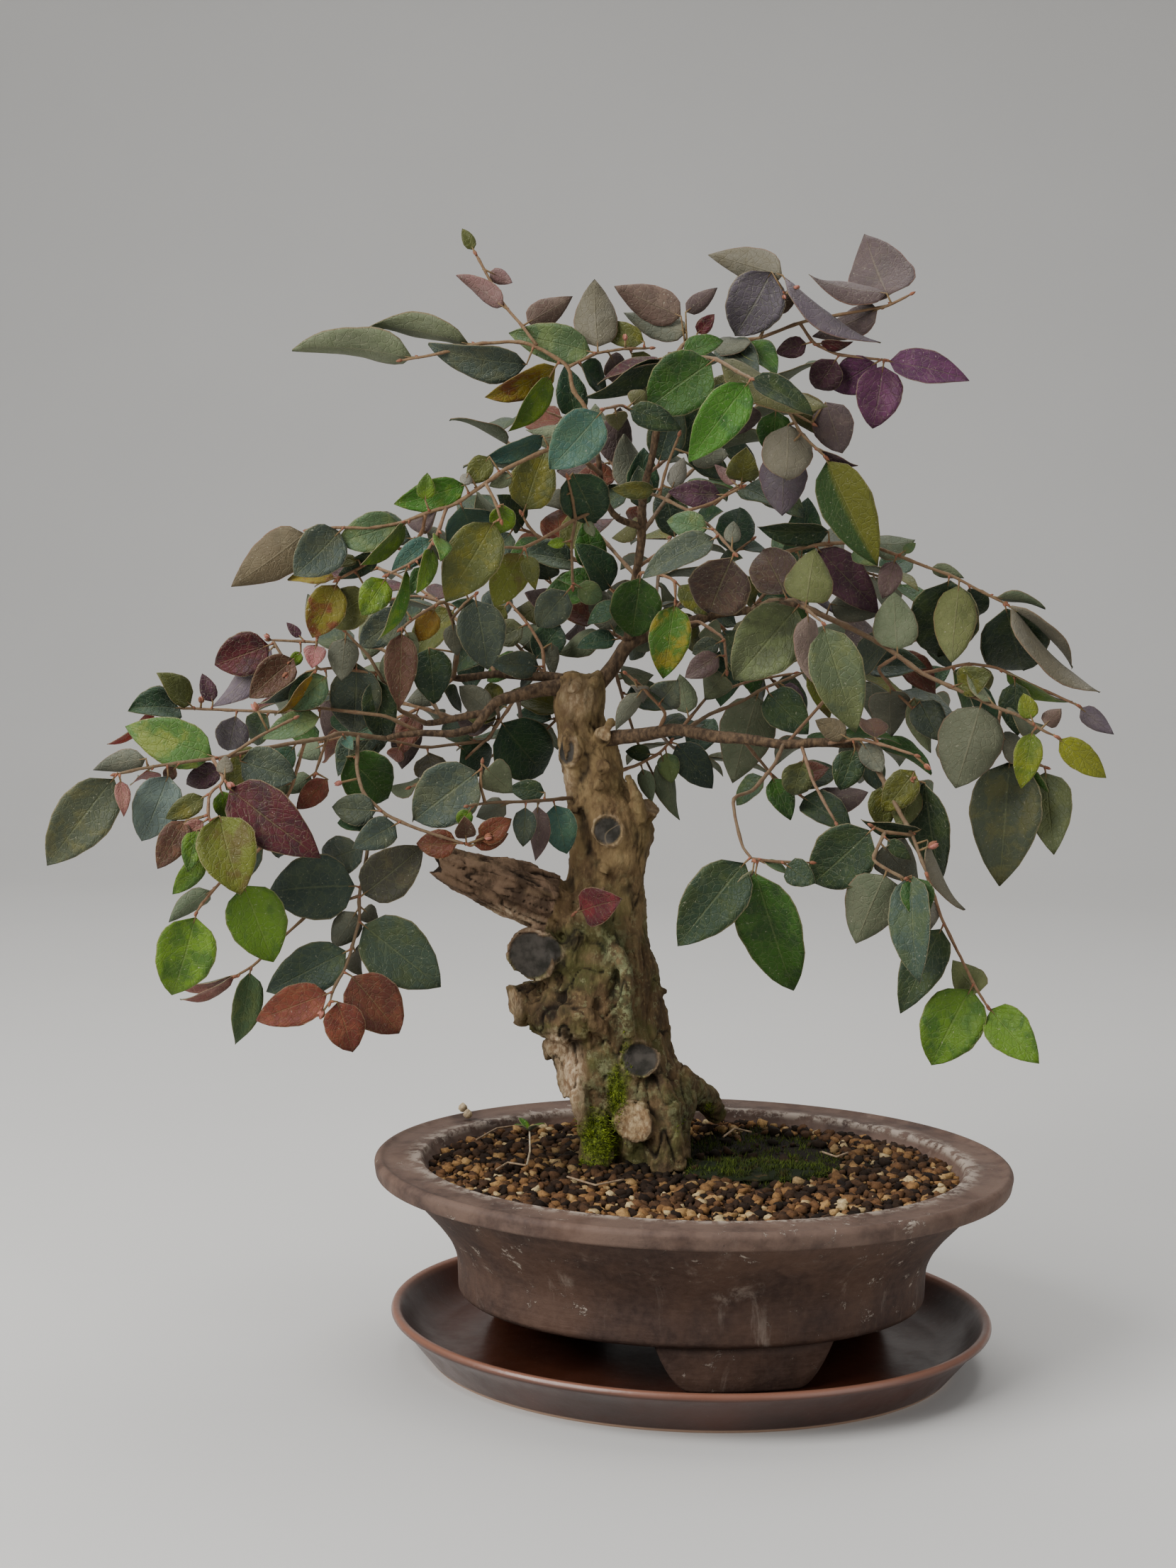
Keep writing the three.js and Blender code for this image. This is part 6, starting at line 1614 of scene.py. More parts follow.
# Two spurs, and rolls of bark that have grown over the wounds: sides, route, radii.
spurs = [(12, "790 1462 26, 770 1476 24, 776 1494 24", (4.5, 3.2, 2)),
         (12, "928 1396 30, 941 1399 30", (2.4, 0.8))]
rolls = [(16, "778 1432 8, 800 1424 3, 826 1432 1, 850 1452 2, 866 1480 5", (4.5, 5.4, 5.2, 4.4, 3)),
         (16, "916 1500 8, 935 1530 4, 946 1562 4, 950 1600 6", (3, 4.4, 4.6, 3.4)),
         (16, "868 1330 5, 884 1375 1, 880 1420 0, 888 1462 3", (2.6, 4, 4.2, 2.6)),
         (16, "806 1500 12, 818 1545 6, 826 1600 4", (4, 5, 4)),
         (24, "756 1428 19, 778 1432 15, 806 1438 11, 836 1450 8", (9.6, 12, 13.5, 9)),
         (16, "776 1386 16, 800 1356 12, 814 1322 10, 800 1296 16", (5.5, 7, 6.5, 5)),
         (12, "768 1400 14, 805 1396 7, 842 1412 4", (3, 4.2, 2.6)),
         (12, "776 1464 22, 792 1500 16, 806 1548 12", (3.4, 4.6, 3.6)),
         (12, "848 1284 12, 866 1330 8, 862 1384 6", (2.5, 4.2, 2.6)),
         (12, "806 1020 18, 800 1040 15, 806 1078 16", (2.6, 3.8, 2.6)),
         (12, "884 1092 18, 898 1122 16, 906 1160 18", (2.4, 3.6, 2.6))]


def awayFrom(x, y, middle, halfX, halfY):
    return np.hypot((x - middle[0]) / halfX, (y - middle[1]) / halfY)


def patchMask(u, v, patches):
    mask = np.zeros(len(u))
    for *middle, halfU, halfV, strength in patches:
        mask = np.maximum(mask, strength * np.clip(1.35 - awayFrom(u, v, middle, halfU, halfV), 0, 1))
    return mask


def trunkRing(v, left, right, z=None):
    middle = place((left + right) / 2, v, trunkDepth)
    half = lengthOf(place(right, v, trunkDepth) - place(left, v, trunkDepth)) / 2
    height = middle[2] if z is None else z
    angle = circle(bark["sides"])
    skin = 1 + 0.035 * np.sin(3 * angle + height / 23) + 0.025 * np.sin(5 * angle - height / 31)
    x = middle[0] + half * skin * np.cos(angle)
    y = middle[1] + half * 0.9 * skin * np.sin(angle)
    return np.stack([x, y, np.full(len(angle), height)], axis=1)


def between(rows, count=5):
    rows = np.array(rows, dtype=float)
    padded = np.vstack([2 * rows[0] - rows[1], rows, 2 * rows[-1] - rows[-2]])
    made = []
    for p0, p1, p2, p3 in zip(padded, padded[1:], padded[2:], padded[3:]):
        for k in range(count):
            t = k / count
            made.append(0.5 * (2 * p1 + (p2 - p0) * t + (2 * p0 - 5 * p1 + 4 * p2 - p3) * t * t
                               + (3 * p1 - p0 - 3 * p2 + p3) * t ** 3))
    return made + [rows[-1]]


def trunkCore():
    rings = [trunkRing(1640, 836, 970, trunkFoot)] + [trunkRing(*row) for row in between(trunkRings)]
    draw = draws(11)
    middle = place(818, 957, trunkDepth)[:2]
    chopped = rings[-1].copy()
    chopped[:, :2] = middle + (chopped[:, :2] - middle) * 0.8
    chopped[:, 2] += [2.2 + 1.3 * math.sin(3 * angle + 1) + 1.0 * draw() for angle in circle(len(chopped))]
    inner = chopped.copy()
    inner[:, :2] = middle + (chopped[:, :2] - middle) * 0.5
    inner[:, 2] = chopped[:, 2].mean() - 0.6
    return loft(rings + [chopped, inner])


def sealedCut(u, v, depth, x, y, z, radius, length, root):
    axis = unit(np.array([x, y, z], dtype=float))
    face = place(u, v, depth)
    stations = ((-length, root), (-0.55 * length, 0.5 * root + 0.5), (-4.0, 1.02), (-1.9, 1.03),
                (-0.8, 1.04), (0.0, 1.0), (-0.4, 0.95), (-0.8, 0.89), (-0.9, 0.3))
    draw = draws(int(u))
    angle = circle(40)
    wobble = 1
    for size, lobes in ((0.05, 2), (0.035, 3), (0.02, 7)):
        wobble = wobble + size * np.sin(lobes * angle + 6 * draw())
    swell = 0.07 * radius * (np.sin(2 * angle + 6 * draw()) + 0.7 * np.sin(5 * angle + 6 * draw()))
    rings = []
    for at, k in stations:
        centre = face + axis * at
        lip = max(0.0, 1 - abs(at + 0.8) / 3) if k > 0.85 else 0.0
        ring = centre + (ringAt(centre, axis, radius * k, len(angle)) - centre) * wobble[:, None]
        rings.append(ring + axis * (swell * lip)[:, None])
    return loft(rings)


def tornLimb():
    rows = [(*place(u, v, y), radius) for u, v, y, radius in brokenStations]
    axis = unit(np.array(rows[-1][:3]) - np.array(rows[0][:3]))
    angle = circle(48)
    draw = draws(5)
    fibre = 1 + 0.05 * np.sin(5 * angle + 1) + 0.04 * np.sin(11 * angle + 2.3)
    fibre = fibre + 0.03 * np.array([draw() - 0.5 for _ in angle])
    # Long splits run along the torn limb.
    for split in brokenSplits:
        fibre = fibre - 0.2 * np.exp(-((np.mod(angle - split + math.pi, 2 * math.pi) - math.pi) / 0.11) ** 2)
    rings = []
    for i, (*centre, radius) in enumerate(between(rows)):
        end = np.array(centre)
        skin = fibre * (1 + 0.02 * np.sin(5 * (angle + 0.012 * i) + i))
        rings.append(end + (ringAt(end, axis, radius, len(angle)) - end) * skin[:, None])
    ragged = np.array([draw() for _ in angle])
    splinters = 3.5 + 2.4 * np.sin(3 * angle) + 1.6 * np.sin(8 * angle + 1) + 2.2 * ragged
    jut = axis * splinters[:, None]
    rings.append(end + (rings[-1] - end) * 0.82 + jut)
    rings.append(end + (rings[-1] - end - jut) * 0.62 + axis * (splinters * 0.4)[:, None])
    return loft(rings + [ringAt(end, axis, 3.4, len(angle))])


def knobbly(sides, route, radii):
    return tube([place(*p) for p in route], radii, sides)


def trunkParts():
    parts = [trunkCore(), tornLimb()] + [sealedCut(*cut[:8], cut[9]) for cut in cuts]
    for route, (first, last) in roots:
        parts.append(knobbly(24, route, [mix(first, last, i / (len(route) - 1)) for i in range(len(route))]))
    parts += [knobbly(sides, spotsOf(route), radii) for sides, route, radii in spurs]
    for u, v, depth, radius in scars:
        parts.append(sealedCut(u, v, depth, 0.05 if u > 820 else -0.7, -1, 0.1, radius, 6, 0.96))
    return parts + [knobbly(sides, spotsOf(route), radii) for sides, route, radii in rolls]


def limbPart(name, route, radius):
    draw = draws(300 + len(name))
    line = [place(*p) for p in route]
    line[-1] = line[-1] + unit(line[-1] - line[-2]) * 0.5
    points = closer(rounded(line, 5), 2.6)
    radii = []
    phase = 6 * draw()
    for i, p in enumerate(points):
        knot = 0.5 * max(0.0, math.sin(i * 0.62 + phase) - 0.86) + 0.05 * math.sin(i * 0.31 + 2 * phase)
        radii.append(bark["limbSlimness"] * mix(*radius, i / (len(points) - 1)) * (1 + knot))
        sway = [math.sin(i * 0.37 + phase), math.sin(i * 0.29), math.sin(i * 0.43 + 1)]
        points[i] = p + 0.5 * np.array(sway)
    radii[-1] *= 0.7
    made, faces = tube(points, radii, bark["limbSides"])
    return np.array([p + 0.22 * np.array(noise.noise_vector(Vector(p / 3.2))) for p in made]), faces


def vertexArrays(mesh):
    points, normals = np.empty((2, 3 * len(mesh.vertices)))
    mesh.vertices.foreach_get("co", points)
    mesh.vertex_normals.foreach_get("vector", normals)
    return points.reshape(-1, 3) / metres, normals.reshape(-1, 3)


def barkRelief(points, normals, calm, torn, tornAxis):
    lift = np.empty(len(points))
    for i, p in enumerate(points):
        x, y, z = p
        if torn[i]:
            along = p @ tornAxis
            off = p - along * tornAxis
            at = Vector((off[0] / 4.5, off[1] / 4.5 + along / 38, off[2] / 4.5))
            split = abs(noise.noise(at))
            lift[i] = 1.1 * noise.fractal(at * 0.8, 0.8, 2.1, 3) - 2.0 * max(0.0, 1 - split / 0.1)
            lift[i] += 0.3 * noiseAt(*(p / 1.6))
            continue
        plates = noise.fractal(Vector((x / 7, y / 7, z / 12)), 0.8, 2.1, 4)
        lumps = noiseAt(x / 12, y / 12, z / 15 + 2)
        crack = abs(noiseAt(x / 5.5, y / 5.5, z / 15 + 4))
        wide = abs(noiseAt(x / 10, y / 10, z / 26 + 9))
        grain = noiseAt(x / 1.6, y / 1.6, z / 3.2)
        old = min(1.0, max(0.3, (255 - z) / 60))
        lift[i] = bark["plates"] * plates + bark["lumps"] * lumps + bark["grain"] * grain
        lift[i] -= 0.7 * max(0.0, 1 - crack / 0.12) + old * bark["fissures"] * max(0.0, 1 - wide / 0.07)
    return points + normals * (lift * calm)[:, None], lift * calm


def cutMasks(points):
    sealed, callus, raw, rings = np.zeros((4, len(points)))
    for u, v, depth, x, y, z, radius, _, dark, _ in cuts:
        along, off = fromAxis(points, place(u, v, depth), unit(np.array([x, y, z])))
        inside = np.clip((0.93 * radius - off) / 0.9, 0, 1) * (np.abs(along + 0.7) < 2.2)
        ring = np.clip(1 - np.abs(off - 1.02 * radius) / (0.14 * radius), 0, 1) * (np.abs(along + 0.5) < 1.8)
        sealed = np.maximum(sealed, dark * inside)
        callus = np.maximum(callus, 0.45 * ring)
        raw = np.maximum(raw, (1 - dark) * inside)
        rings = np.where(inside > 0, off, rings)
    return sealed, callus, raw, rings


def makeTrunk():
    core = makePiece("trunkCore", *gather(trunkParts()))
    fuse = core.modifiers.new("fuse", "REMESH")
    fuse.mode = "VOXEL"
    fuse.voxel_size = bark["voxel"] * metres
    soften = core.modifiers.new("soften", "SMOOTH")
    soften.iterations = 2
    soften.factor = 0.5
    applied(core)
    points, normals = vertexArrays(core.data)
    sealed, callus, raw, rings = cutMasks(points)
    calm = 1 - 0.88 * np.maximum(np.maximum(sealed, raw), 0.6 * callus)
    limbRoot, limbEnd = place(*brokenStations[1][:3]), place(*brokenStations[-1][:3])
    tornAxis = unit(limbEnd - limbRoot)
    torn = ((points - limbRoot) @ tornAxis > 0) & (points[:, 0] < limbRoot[0] + 6)
    torn &= (points[:, 2] > 200) & (points[:, 2] < 264)
    points, lift = barkRelief(points, normals, calm, torn, tornAxis)
    # The torn end is hollow, and dark with painted shade: its inside is marked as sunken, so the bark paint
    # darkens it.
    inEnd, offEnd = fromAxis(points, limbEnd, tornAxis)
    lift = np.where((inEnd > -2.5) & (offEnd < 6.2), -1.7, lift)
    u, v = onSheet(points)
    front = np.clip(0.35 - normals[:, 1] * 1.2, 0, 1)
    # Moss climbs a little way up all round the foot.
    low = np.clip((104 - points[:, 2]) / 8, 0, 0.8) * np.clip((905 - u) / 70, 0.25, 1)
    moss = np.maximum(patchMask(u, v, mossPatches) * front, low * np.clip(0.4 - normals[:, 1], 0, 1))
    lichen = patchMask(u, v, lichenPatches) * front
    dead = patchMask(u, v, deadPatches) * np.clip(0.9 - normals[:, 1], 0, 1)
    bare = np.maximum(dead, 0.8 * callus)
    looks = np.stack([moss, sealed, bare, lichen, torn * 1.0, 0 * u, lift, raw, rings])
    parts = [(points, [tuple(face.vertices) for face in core.data.polygons])]
    bpy.data.objects.remove(core)
    points, faces = gather(parts + [limbPart(name, *limb) for name, limb in limbs.items()])
    limbLook = (0, 0, 0, 0, 0, 1, 0.3, 0, 0)
    looks = np.vstack([looks.T, np.tile(limbLook, (len(points) - len(u), 1))])
    piece = makePiece("fineTrunk", points, faces)
    giveColour(piece.data, "barkMasks", looks[:, :3])
    giveColour(piece.data, "barkLooks", looks[:, 3:6])
    for name, values in zip(("barkRise", "cutRaw", "cutRings"), looks[:, 6:].T):
        giveValue(piece.data, name, values)
    finishPiece(piece, barkMaterial(), "bark", "trunk")
    print("trunk made:", len(piece.data.polygons), "faces")
    return piece


def barkMaterial():
    paint = Paint("weatheredBark")
    moss, seal, bare = paint.split(paint.given("barkMasks", "Color"))
    lichen, torn, young = paint.split(paint.given("barkLooks", "Color"))
    rise, raw, rings = (paint.given(name) for name in ("barkRise", "cutRaw", "cutRings"))
    plates = paint.noise(95.0, 7.0, 0.65, 0.5, (1.0, 1.0, 0.55))
    fine = paint.noise(420.0, 5.0, 0.65, 0.0, (1.0, 1.0, 0.55))
    broad = paint.noise(26.0)
    # The bark is darker low on the trunk and lighter higher up: partly its own tone, partly painted light,
    # with the upper trunk painted as lit and the lower trunk as in shade.
    aloft = (paint.split(paint.place)[2] + broad * 0.05).step(0.215, 0.275)
    patchy = plates.step(0.34, 0.66)
    lower, upper = paint.blend(patchy, "34291c", "68553a"), paint.blend(patchy, "4e3c28", "86704c")
    paint.colour = paint.blend(aloft, lower, upper)
    paint.coat(broad.step(0.4, 0.64) * 0.5, "5c452d")
    paint.coat(fine.step(0.5, 0.74) * 0.5, "937b54")
    paint.coat(paint.noise(44.0, 5.0, 0.6).step(0.46, 0.66) * (0.74 - aloft * 0.55), "50522a")
    paint.coat(paint.noise(170.0, 6.0, 0.72).step(0.56, 0.64) * (0.5 - aloft * 0.38), "8b8a64")
    paint.coat(young, paint.blend(fine.step(0.35, 0.7), "392c21", "6b5640"))
    paint.coat(torn * 0.85, paint.blend(plates.step(0.4, 0.62), "453529", "7c6350"))
    paint.coat(bare * 0.88, paint.blend(fine.step(0.35, 0.68), "8f7256", "dcc5a2"))
    # Raised bark is painted lighter, a painted highlight, and sunken cracks and hollows are painted near
    # black, a painted shade.
    paint.coat(rise.step(0.1, 1.8) * 0.36, "8e7a54")
    paint.coat((1 - rise.step(-2.0, -0.35)) * 0.85, "1a130c")
    paint.coat(lichen * paint.noise(230.0, 6.0, 0.7).step(0.46, 0.6), "8c9168")
    paint.coat(lichen * paint.noise(120.0, 5.0).step(0.4, 0.6) * 0.6, "3c432c")
    fuzz = paint.noise(520.0, 5.0, 0.7)
    mossy = (moss + (plates - 0.5) * 0.9).step(0.25, 0.85)
    paint.coat(mossy, paint.blend(fuzz.step(0.36, 0.68), "2c360f", "7f8d2a"))
    flaw = 1 - (paint.noise(26.0, 2.0, 0.4) - 0.47).absolute().step(0.002, 0.008)
    sealant = paint.blend(paint.noise(130.0, 5.0, 0.6).step(0.35, 0.65), "25231d", "45403a")
    paint.coat(seal, paint.blend(flaw * 0.6, sealant, "6a5e4a"))
    grown = (rings * 2.4 + plates * 6.0).sine() * 0.03 + fine
    stained = paint.noise(150.0, 5.0, 0.65).step(0.4, 0.62)
    wood = paint.blend(grown.step(0.34, 0.7), "6b5540", "c4ad86")
    paint.coat(raw, paint.blend(stained * 0.6, wood, "80603c"))
    height = (plates * 1.4 + fine * 0.8) * (1 - seal * 0.8) + mossy * fuzz * 1.4
    return paint.finish(0.86, 0.25, height, 0.0012, 0.9)


# Soil and moss
soil = {"sides": 96, "seed": 7, "shapes": 5, "tones": (
    (0.0, "20160f"), (0.28, "34251a"), (0.5, "523a27"), (0.67, "704f33"), (0.8, "916b42"), (0.91, "b08c5a"),
    (0.98, "cbb486"))}
crumbSizes = {"Crumb spacing": 3.3, "Crumb low": 1.3, "Crumb high": 3.5,
              "Grit spacing": 2.3, "Grit low": 0.8, "Grit high": 1.8}
mossGround = {"middle": (1070, 1630), "half": (47.0, 68.0), "crumbs": 0.07}
mossCushion = {"middle": (1062, 1642, 2), "half": (42.0, 20.0), "height": 4.2, "sides": 72, "seed": 3}
bladeSizes = {"Blade height": 2.4, "Blade radius": 0.28, "Spacing": 0.5, "Keep base": True}


def noiseOver(points, size, layer):
    return np.array([noiseAt(x / size, y / size, layer) for x, y, _ in points])


def crumbShape(growth, seed, corners):
    sizes = {"Size": (1.6, 1.6, 1.6), "Vertices X": corners, "Vertices Y": corners, "Vertices Z": corners}
    cube = growth.out("GeometryNodeMeshCube", "Mesh", sizes)
    position = growth.out("GeometryNodeInputPosition", 0)
    length = growth.vector("LENGTH", position, output="Value")
    direction = growth.vector("NORMALIZE", position)
    shifted = growth.vector("ADD", direction, (seed * 3.7, seed * 1.3, seed * 2.1))
    lump = growth.out("ShaderNodeTexNoise", "Fac", {"Vector": shifted, "Scale": 1.5, "Detail": 1.0})
    moved = growth.scaled(direction, (lump * 1.5 + 0.18) * length ** 0.25)
    return growth.out("GeometryNodeSetPosition", 0, {"Geometry": cube, "Position": moved})


def scattered(growth, kind, seed, shapes, sinkBy):
    spacing, low, high = (growth.given[f"{kind} {what}"] for what in ("spacing", "low", "high"))
    points, _ = growth.sown(spacing, 400000.0, "crumbCover", seed)
    size = growth.random(low, high, seed + 11)
    squash = growth.random((0.75, 0.75, 0.6), (1.25, 1.25, 0.95), seed + 12)
    turn = growth.random((-0.5, -0.5, 0.0), (0.5, 0.5, 6.28), seed + 13)
    placed = growth.out("GeometryNodeInstanceOnPoints", 0,
                        {"Points": points, "Instance": shapes, "Pick Instance": True, "Rotation": turn,
                         "Scale": growth.scaled(squash, size)})
    shift = growth.out("ShaderNodeCombineXYZ", 0, {"Z": size * sinkBy})
    moved = growth.out("GeometryNodeTranslateInstances", 0,
                       {"Instances": placed, "Translation": shift, "Local Space": False})
    return growth.toned(moved, "crumbTone", seed + 15)


def crumbTree(material):
    growth = Growth("soilCrumbs", crumbSizes)
    layers = []
    for kind, firstShape, corners, seed, sinkBy in (("Grit", 7, 2, soil["seed"], 0.3),
                                                    ("Crumb", 1, 3, soil["seed"] + 40, 0.55)):
        shapes = [crumbShape(growth, firstShape + k, corners) for k in range(soil["shapes"])]
        shapes = growth.joined("GeometryNodeGeometryToInstance", *shapes)
        layers.append(scattered(growth, kind, seed, shapes, sinkBy))
    together = growth.joined("GeometryNodeJoinGeometry", *layers)
    return growth.finish(together, growth.given["Geometry"], material, True)


def soilBase():
    a, level, wallFoot = ware["lipHalfX"], ware["soilLevel"], ware["bottom"] + 34
    drawnIn = a - ware["lipHalfY"]
    low = a - ware["bottomInset"] - ware["wall"]
    rise = (level - 1 - wallFoot) / (ware["lipTop"] - 5 - wallFoot)
    wallAtTop = low + (a - ware["lipWidth"] - 2.2 - low) * rise - 0.4
    profile = [(0.5, ware["floor"] + gap), (low - 3.6, ware["floor"] + gap), (low - 0.5, wallFoot),
               (wallAtTop - 0.3, level - 1.6)]
    for inset in (3, 8, 14, 20, 27, 34, 42, 50, 58, 66, 74, 82, 90, 98):
        profile.append((wallAtTop - inset, level - 1.4))
    profile.append((0.5, level - 1.2))
    angle = circle(soil["sides"])
    rings = []
    for r, z in profile:
        narrow = narrowed(r, drawnIn)
        ring = np.stack([r * np.cos(angle), r * narrow * np.sin(angle), np.full(len(angle), z)], axis=1)
        if z > 80:
            ring[:, 2] += 1.1 * noiseOver(ring, 22, 3)
        rings.append(ring)
    return loft(rings)


def makeSoil():
    points, faces = soilBase()
    piece = makePiece("fineSoil", points, faces)
    x, y, z = points.T
    base = place(903, 1640, trunkDepth)
    ground = atHeight(*mossGround["middle"], ware["soilLevel"])
    toMoss = awayFrom(x, y, ground, *mossGround["half"])
    mossy = (z > 85) * np.clip(2.4 * (1.0 - toMoss + 0.3 * noiseOver(points, 16, 5)), 0, 1)
    cover = (z > 85) * np.clip(2.2 * (awayFrom(x, y, base, 27, 24) - 0.75), 0, 1)
    cover *= np.clip(1.4 * (awayFrom(x, y, place(*mossCushion["middle"]), 46, 24) - 0.5), 0.42, 1)
    cover *= 1 - (1 - mossGround["crumbs"]) * np.minimum(1.0, 1.5 * mossy)
    # The granules are darker in patches around the trunk's foot and over the moss ground.
    damp = np.clip(np.maximum(1.7 - awayFrom(x - 30, y + 8, base, 74, 40), 1.6 * mossy), 0, 1)
    creeping = linked("mossOnSoil", piece.data.copy())
    tufts = noiseOver(points, 9, 3)
    giveValue(creeping.data, "mossCover", np.clip(mossy * (0.36 + 1.6 * tufts), 0, 1))
    giveValue(creeping.data, "mossLit", np.clip(0.1 + 0.45 * tufts, 0, 0.4))
    giveValue(piece.data, "crumbCover", cover)
    giveValue(piece.data, "crumbDamp", damp)
    material = soilMaterial()
    piece.data.materials.append(material)
    grow(piece, crumbTree(material), crumbSizes)
    finishPiece(piece, material, "soil_granules", "soil")
    print("soil made:", len(piece.data.polygons), "faces")
    return creeping


def soilMaterial():
    paint = Paint("bakedClayGranules")
    tones = paint.node("ShaderNodeValToRGB", {"Fac": paint.given("crumbTone")})
    stops = tones.color_ramp.elements
    for n, (position, tone) in enumerate(soil["tones"]):
        stop = stops.new(position) if n else stops[0]
        stop.color = hued(tone)
    stops.remove(stops[-1])
    grain = paint.noise(700.0, 4.0, 0.65)
    shade = paint.blend(grain.step(0.3, 0.7), "8a8078", "ffffff")
    paint.colour = paint.blend(0.6, Wire(paint, tones.outputs["Color"]), shade, "MULTIPLY")
    # Darker patches on the granules around the trunk's foot and over the moss ground.
    patchy = paint.given("crumbDamp") * paint.noise(60.0, 3.0).step(0.24, 0.46)
    paint.coat(patchy, paint.blend(0.84, paint.colour, "17120b"))
    return paint.finish(0.92, 0.2, grain, 0.0005, 0.8)


def mossTree(material):
    growth = Growth("mossBlades", bladeSizes)
    given = growth.given
    points, facing = growth.sown(given["Spacing"], 4000000.0, "mossCover", mossCushion["seed"])
    blade = growth.out("GeometryNodeMeshCone", "Mesh",
                       {"Vertices": 3, "Side Segments": 1, "Radius Bottom": given["Blade radius"],
                        "Depth": given["Blade height"]}, fill_type="NONE")
    lean = growth.random((-0.6, -0.6, 0.0), (0.6, 0.6, 6.28), 21)
    lean = growth.out("FunctionNodeEulerToRotation", 0, {"Euler": lean})
    turn = growth.out("FunctionNodeRotateRotation", 0, {0: facing, 1: lean}, rotation_space="LOCAL")
    placed = growth.out("GeometryNodeInstanceOnPoints", 0,
                        {"Points": points, "Instance": blade, "Rotation": turn,
                         "Scale": growth.random(0.5, 1.35, 22)})
    base = growth.out("GeometryNodeSwitch", 0, {"Switch": given["Keep base"], "True": given["Geometry"]},
                      input_type="GEOMETRY")
    return growth.finish(growth.toned(placed, "mossTone", 23), base, material, False)


def mossMaterial():
    paint = Paint("creepingMoss")
    tone, lit = paint.given("mossTone"), paint.given("mossLit")
    shaded, sunny = paint.blend(tone, "151c09", "3c4a1a"), paint.blend(tone, "39460f", "93a32c")
    paint.colour = paint.blend(lit, shaded, sunny)
    paint.coat(paint.noise(70.0, 4.0, 0.6).step(0.42, 0.66), paint.blend(0.55, paint.colour, "161b0a"))
    paint.coat(paint.noise(140.0, 3.0).step(0.56, 0.7) * 0.5, "4a3a20")
    return paint.finish(0.85, 0.2, paint.noise(800.0, 3.0), 0.0004, 0.6)


def mossBody():
    centre = place(*mossCushion["middle"])
    halfX, halfY = mossCushion["half"]
    angle = circle(mossCushion["sides"])
    wave = 1 + 0.09 * np.sin(3 * angle + 0.7) + 0.06 * np.sin(5 * angle) + 0.03 * np.sin(11 * angle)
    rings = []
    for k, rise in ((0.9, -0.25), (0.96, 0.2), (0.88, 0.6), (0.76, 0.85), (0.62, 0.98), (0.45, 1.06),
                    (0.25, 1.1), (0.04, 1.12)):
        z = ware["soilLevel"] - 0.3 + mossCushion["height"] * rise * 0.55
        x = centre[0] + halfX * k * wave * np.cos(angle)
        y = centre[1] + halfY * k * wave * np.sin(angle)
        ring = np.stack([x, y, np.full(len(angle), z)], axis=1)
        ring[:, 2] += 1.5 * noiseOver(ring, 6, 1) * (rise > 0)
        rings.append(ring)
    points, faces = loft(rings)
    cushion = makePiece("fineMoss", points, faces)
    thin = noiseOver(points, 7, 8)
    edge = awayFrom(points[:, 0], points[:, 1], centre, halfX, halfY)
    giveValue(cushion.data, "mossCover", np.clip(0.5 + 2.2 * thin - 0.4 * edge ** 4, 0, 1))
    giveValue(cushion.data, "mossLit", np.clip(0.08 + 0.45 * thin, 0, 0.45))
    return cushion


def makeMoss(trunk, creeping):
    cushion = mossBody()
    climbing = linked("mossOnBark", trunk.data.copy())
    spots = climbing.data.vertices
    masks = np.empty(4 * len(spots))
    climbing.data.attributes["barkMasks"].data.foreach_get("color", masks)
    ragged = [0.3 * noise.noise(spot.co * 160) + 0.35 * noise.noise(spot.co * 420) for spot in spots]
    giveValue(climbing.data, "mossCover", np.clip((masks[::4] + ragged - 0.46) * 1.7, 0, 1))
    giveValue(climbing.data, "mossLit", np.ones(len(spots)))
    material = mossMaterial()
    growth = mossTree(material)
    count = 0
    beds = ((cushion, {}, ["moss"]), (climbing, {"Blade height": 1.9, "Keep base": False}, []),
            (creeping, {"Blade height": 2.6, "Spacing": 0.75, "Keep base": False}, []))
    for piece, changes, nodes in beds:
        grow(piece, growth, {**bladeSizes, **changes})
        finishPiece(piece, material, "moss", *nodes)
        count += len(piece.data.polygons)
    print("moss made:", count, "faces")


def makeLitter():
    draw = draws(77)
    litter = Spray()
    level = ware["soilLevel"]
    foot, top = place(742, 1626, -6), place(747, 1596, -6)
    foot[2] = level - 1
    stem = tube([foot, mix(foot, top, 0.5) + np.array([1.2, 0, 0]), top], [0.6, 0.5, 0.4], 8)
    litter.addWood(stem, linear("c8b89a"))
    for turn in (0.3, 2.2, 3.6, 5.2):
        axis = unit(np.array([math.cos(turn), 0.8 * math.sin(turn), 0.5]))
        side = unit(np.cross(axis, upright))
        upper = unit(np.cross(side, axis))
        litter.addLeaf({"foot": top + axis * 0.6, "axis": axis, "side": side,
                        "upper": upper if upper[2] > 0 else -upper, "length": 8 + 3 * draw(),
                        "width": 4.4, "arch": 0.8, "colour": "leafGreen", "face": "top"}, draw)
    # Dry rootlets lie on the granules.
    for route in ("672 1608, 700 1592, 728 1588, 760 1590", "800 1660, 840 1672, 880 1664",
                  "1020 1604, 1036 1592, 1060 1597", "1160 1625, 1180 1632, 1196 1626",
                  "700 1650, 716 1640, 742 1644"):
        line = closer([atHeight(u, v, level + 2.8) for u, v in spotsOf(route)], 3)
        litter.addWood(tube(line, [0.55] * len(line), 6), linear("9a8468"))
    # Two grains have come to rest on the back of the lip.
    for u, v in ((653, 1562), (660, 1571)):
        spot = atHeight(u, v, ware["lipTop"] + 2.2)
        litter.addWood(egg(spot - np.array([0, 0, 2.4]), upright, 5.0, 2.6, 8), linear("cdb893"))
    finishPiece(litter.finish("seedlingAndLitter"), bpy.data.materials["leafAndTwig"], "leaves")


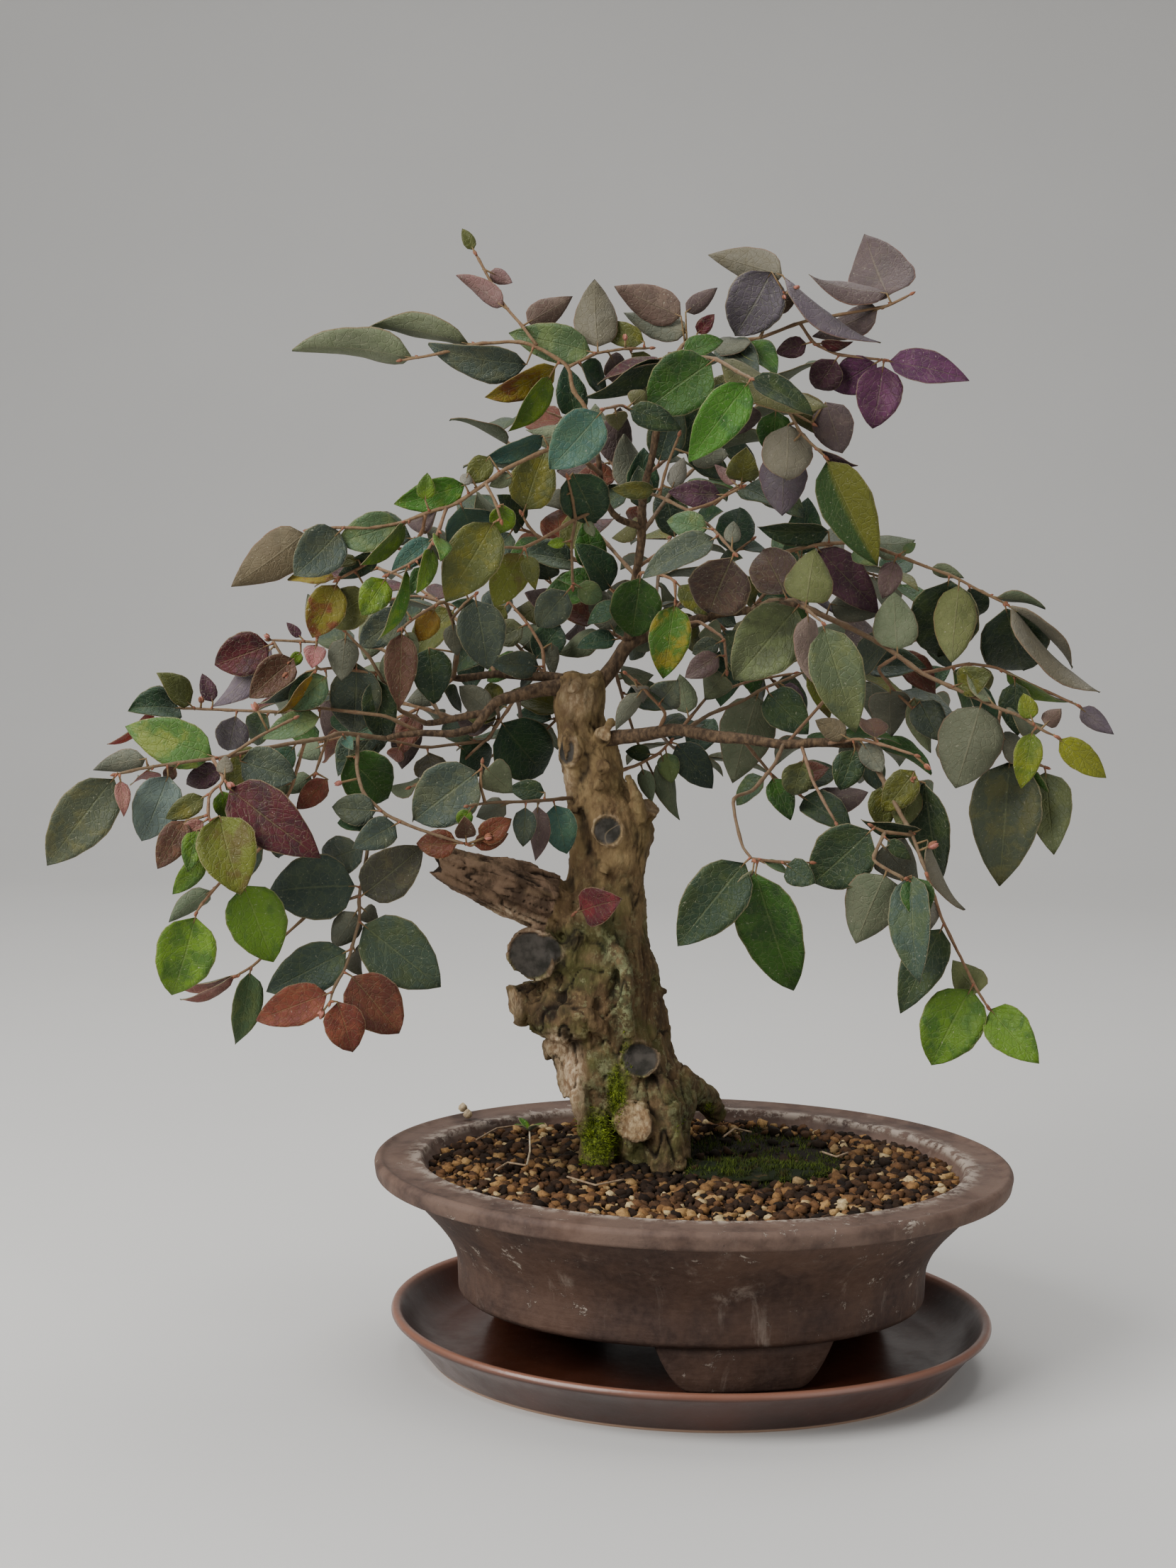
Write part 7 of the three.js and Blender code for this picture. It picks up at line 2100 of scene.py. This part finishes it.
# Floor, light and camera
studio = {"width": 9.0, "front": -2.6, "back": 1.5, "bend": 1.1, "height": 4.5, "world": 0.32,
          "aim": (0, 0, 0.26),
          "lights": (("keyLight", (-1.3, -1.0, 1.35), 1.3, 58.0), ("fillLight", (1.5, -1.2, 0.9), 1.6, 12.0),
                     ("topLight", (0.1, 0.6, 1.9), 1.4, 26.0))}


def makeStudio():
    # The floor bends up into a backdrop behind the tree.
    bend, back = studio["bend"], studio["back"]
    side = [(studio["front"], 0.0), (0.0, 0.0), (back, 0.0)]
    for a in np.linspace(0.1, math.pi / 2, 16):
        side.append((back + bend * math.sin(a), bend - bend * math.cos(a)))
    side.append((back + bend, studio["height"]))
    half = studio["width"] / 2
    points = np.array([(x, y, z) for y, z in side for x in (-half, half)]) / metres
    faces = [(2 * k, 2 * k + 1, 2 * k + 3, 2 * k + 2) for k in range(len(side) - 1)]
    floor = makePiece("paleFloor", points, faces)
    paint = Paint("paleTable")
    paint.colour = paint.blend(paint.noise(3.0), "c4c2be", "cbc9c5")
    floor.data.materials.append(paint.finish(0.7, 0.5))
    for name, spot, size, power in studio["lights"]:
        light = bpy.data.lights.new(name, "AREA")
        light.shape = "SQUARE"
        light.size = size
        light.energy = power
        lamp = linked(name, light)
        lamp.location = spot
        lamp.rotation_euler = (Vector(studio["aim"]) - Vector(spot)).to_track_quat("-Z", "Y").to_euler()
    world = bpy.data.worlds.new("studioAir")
    bpy.context.scene.world = world
    world.use_nodes = True
    air = world.node_tree.nodes["Background"].inputs
    air["Color"].default_value = (0.86, 0.88, 0.92, 1)
    air["Strength"].default_value = studio["world"]
    view = bpy.data.cameras.new("frontView")
    view.sensor_width = 36.0
    view.lens = 36.0 * sheet["scale"] / (2 * sheet["v0"])
    view.dof.use_dof = False
    camera = linked("frontView", view)
    turn = Matrix(np.stack([sheetRight, sheetAbove, -sheetAhead], axis=1).tolist()).to_4x4()
    camera.matrix_world = Matrix.Translation(Vector(eye * metres)) @ turn
    bpy.context.scene.camera = camera


# Assembly
planned = planFoliage()
print("leaves laid:", sum(len(shoot["foliage"]) for shoot in planned + innerTwigs))
makeStudio()
makeWare()
creepingMoss = makeSoil()
makeMoss(makeTrunk(), creepingMoss)
makeShoots()
makeLitter()
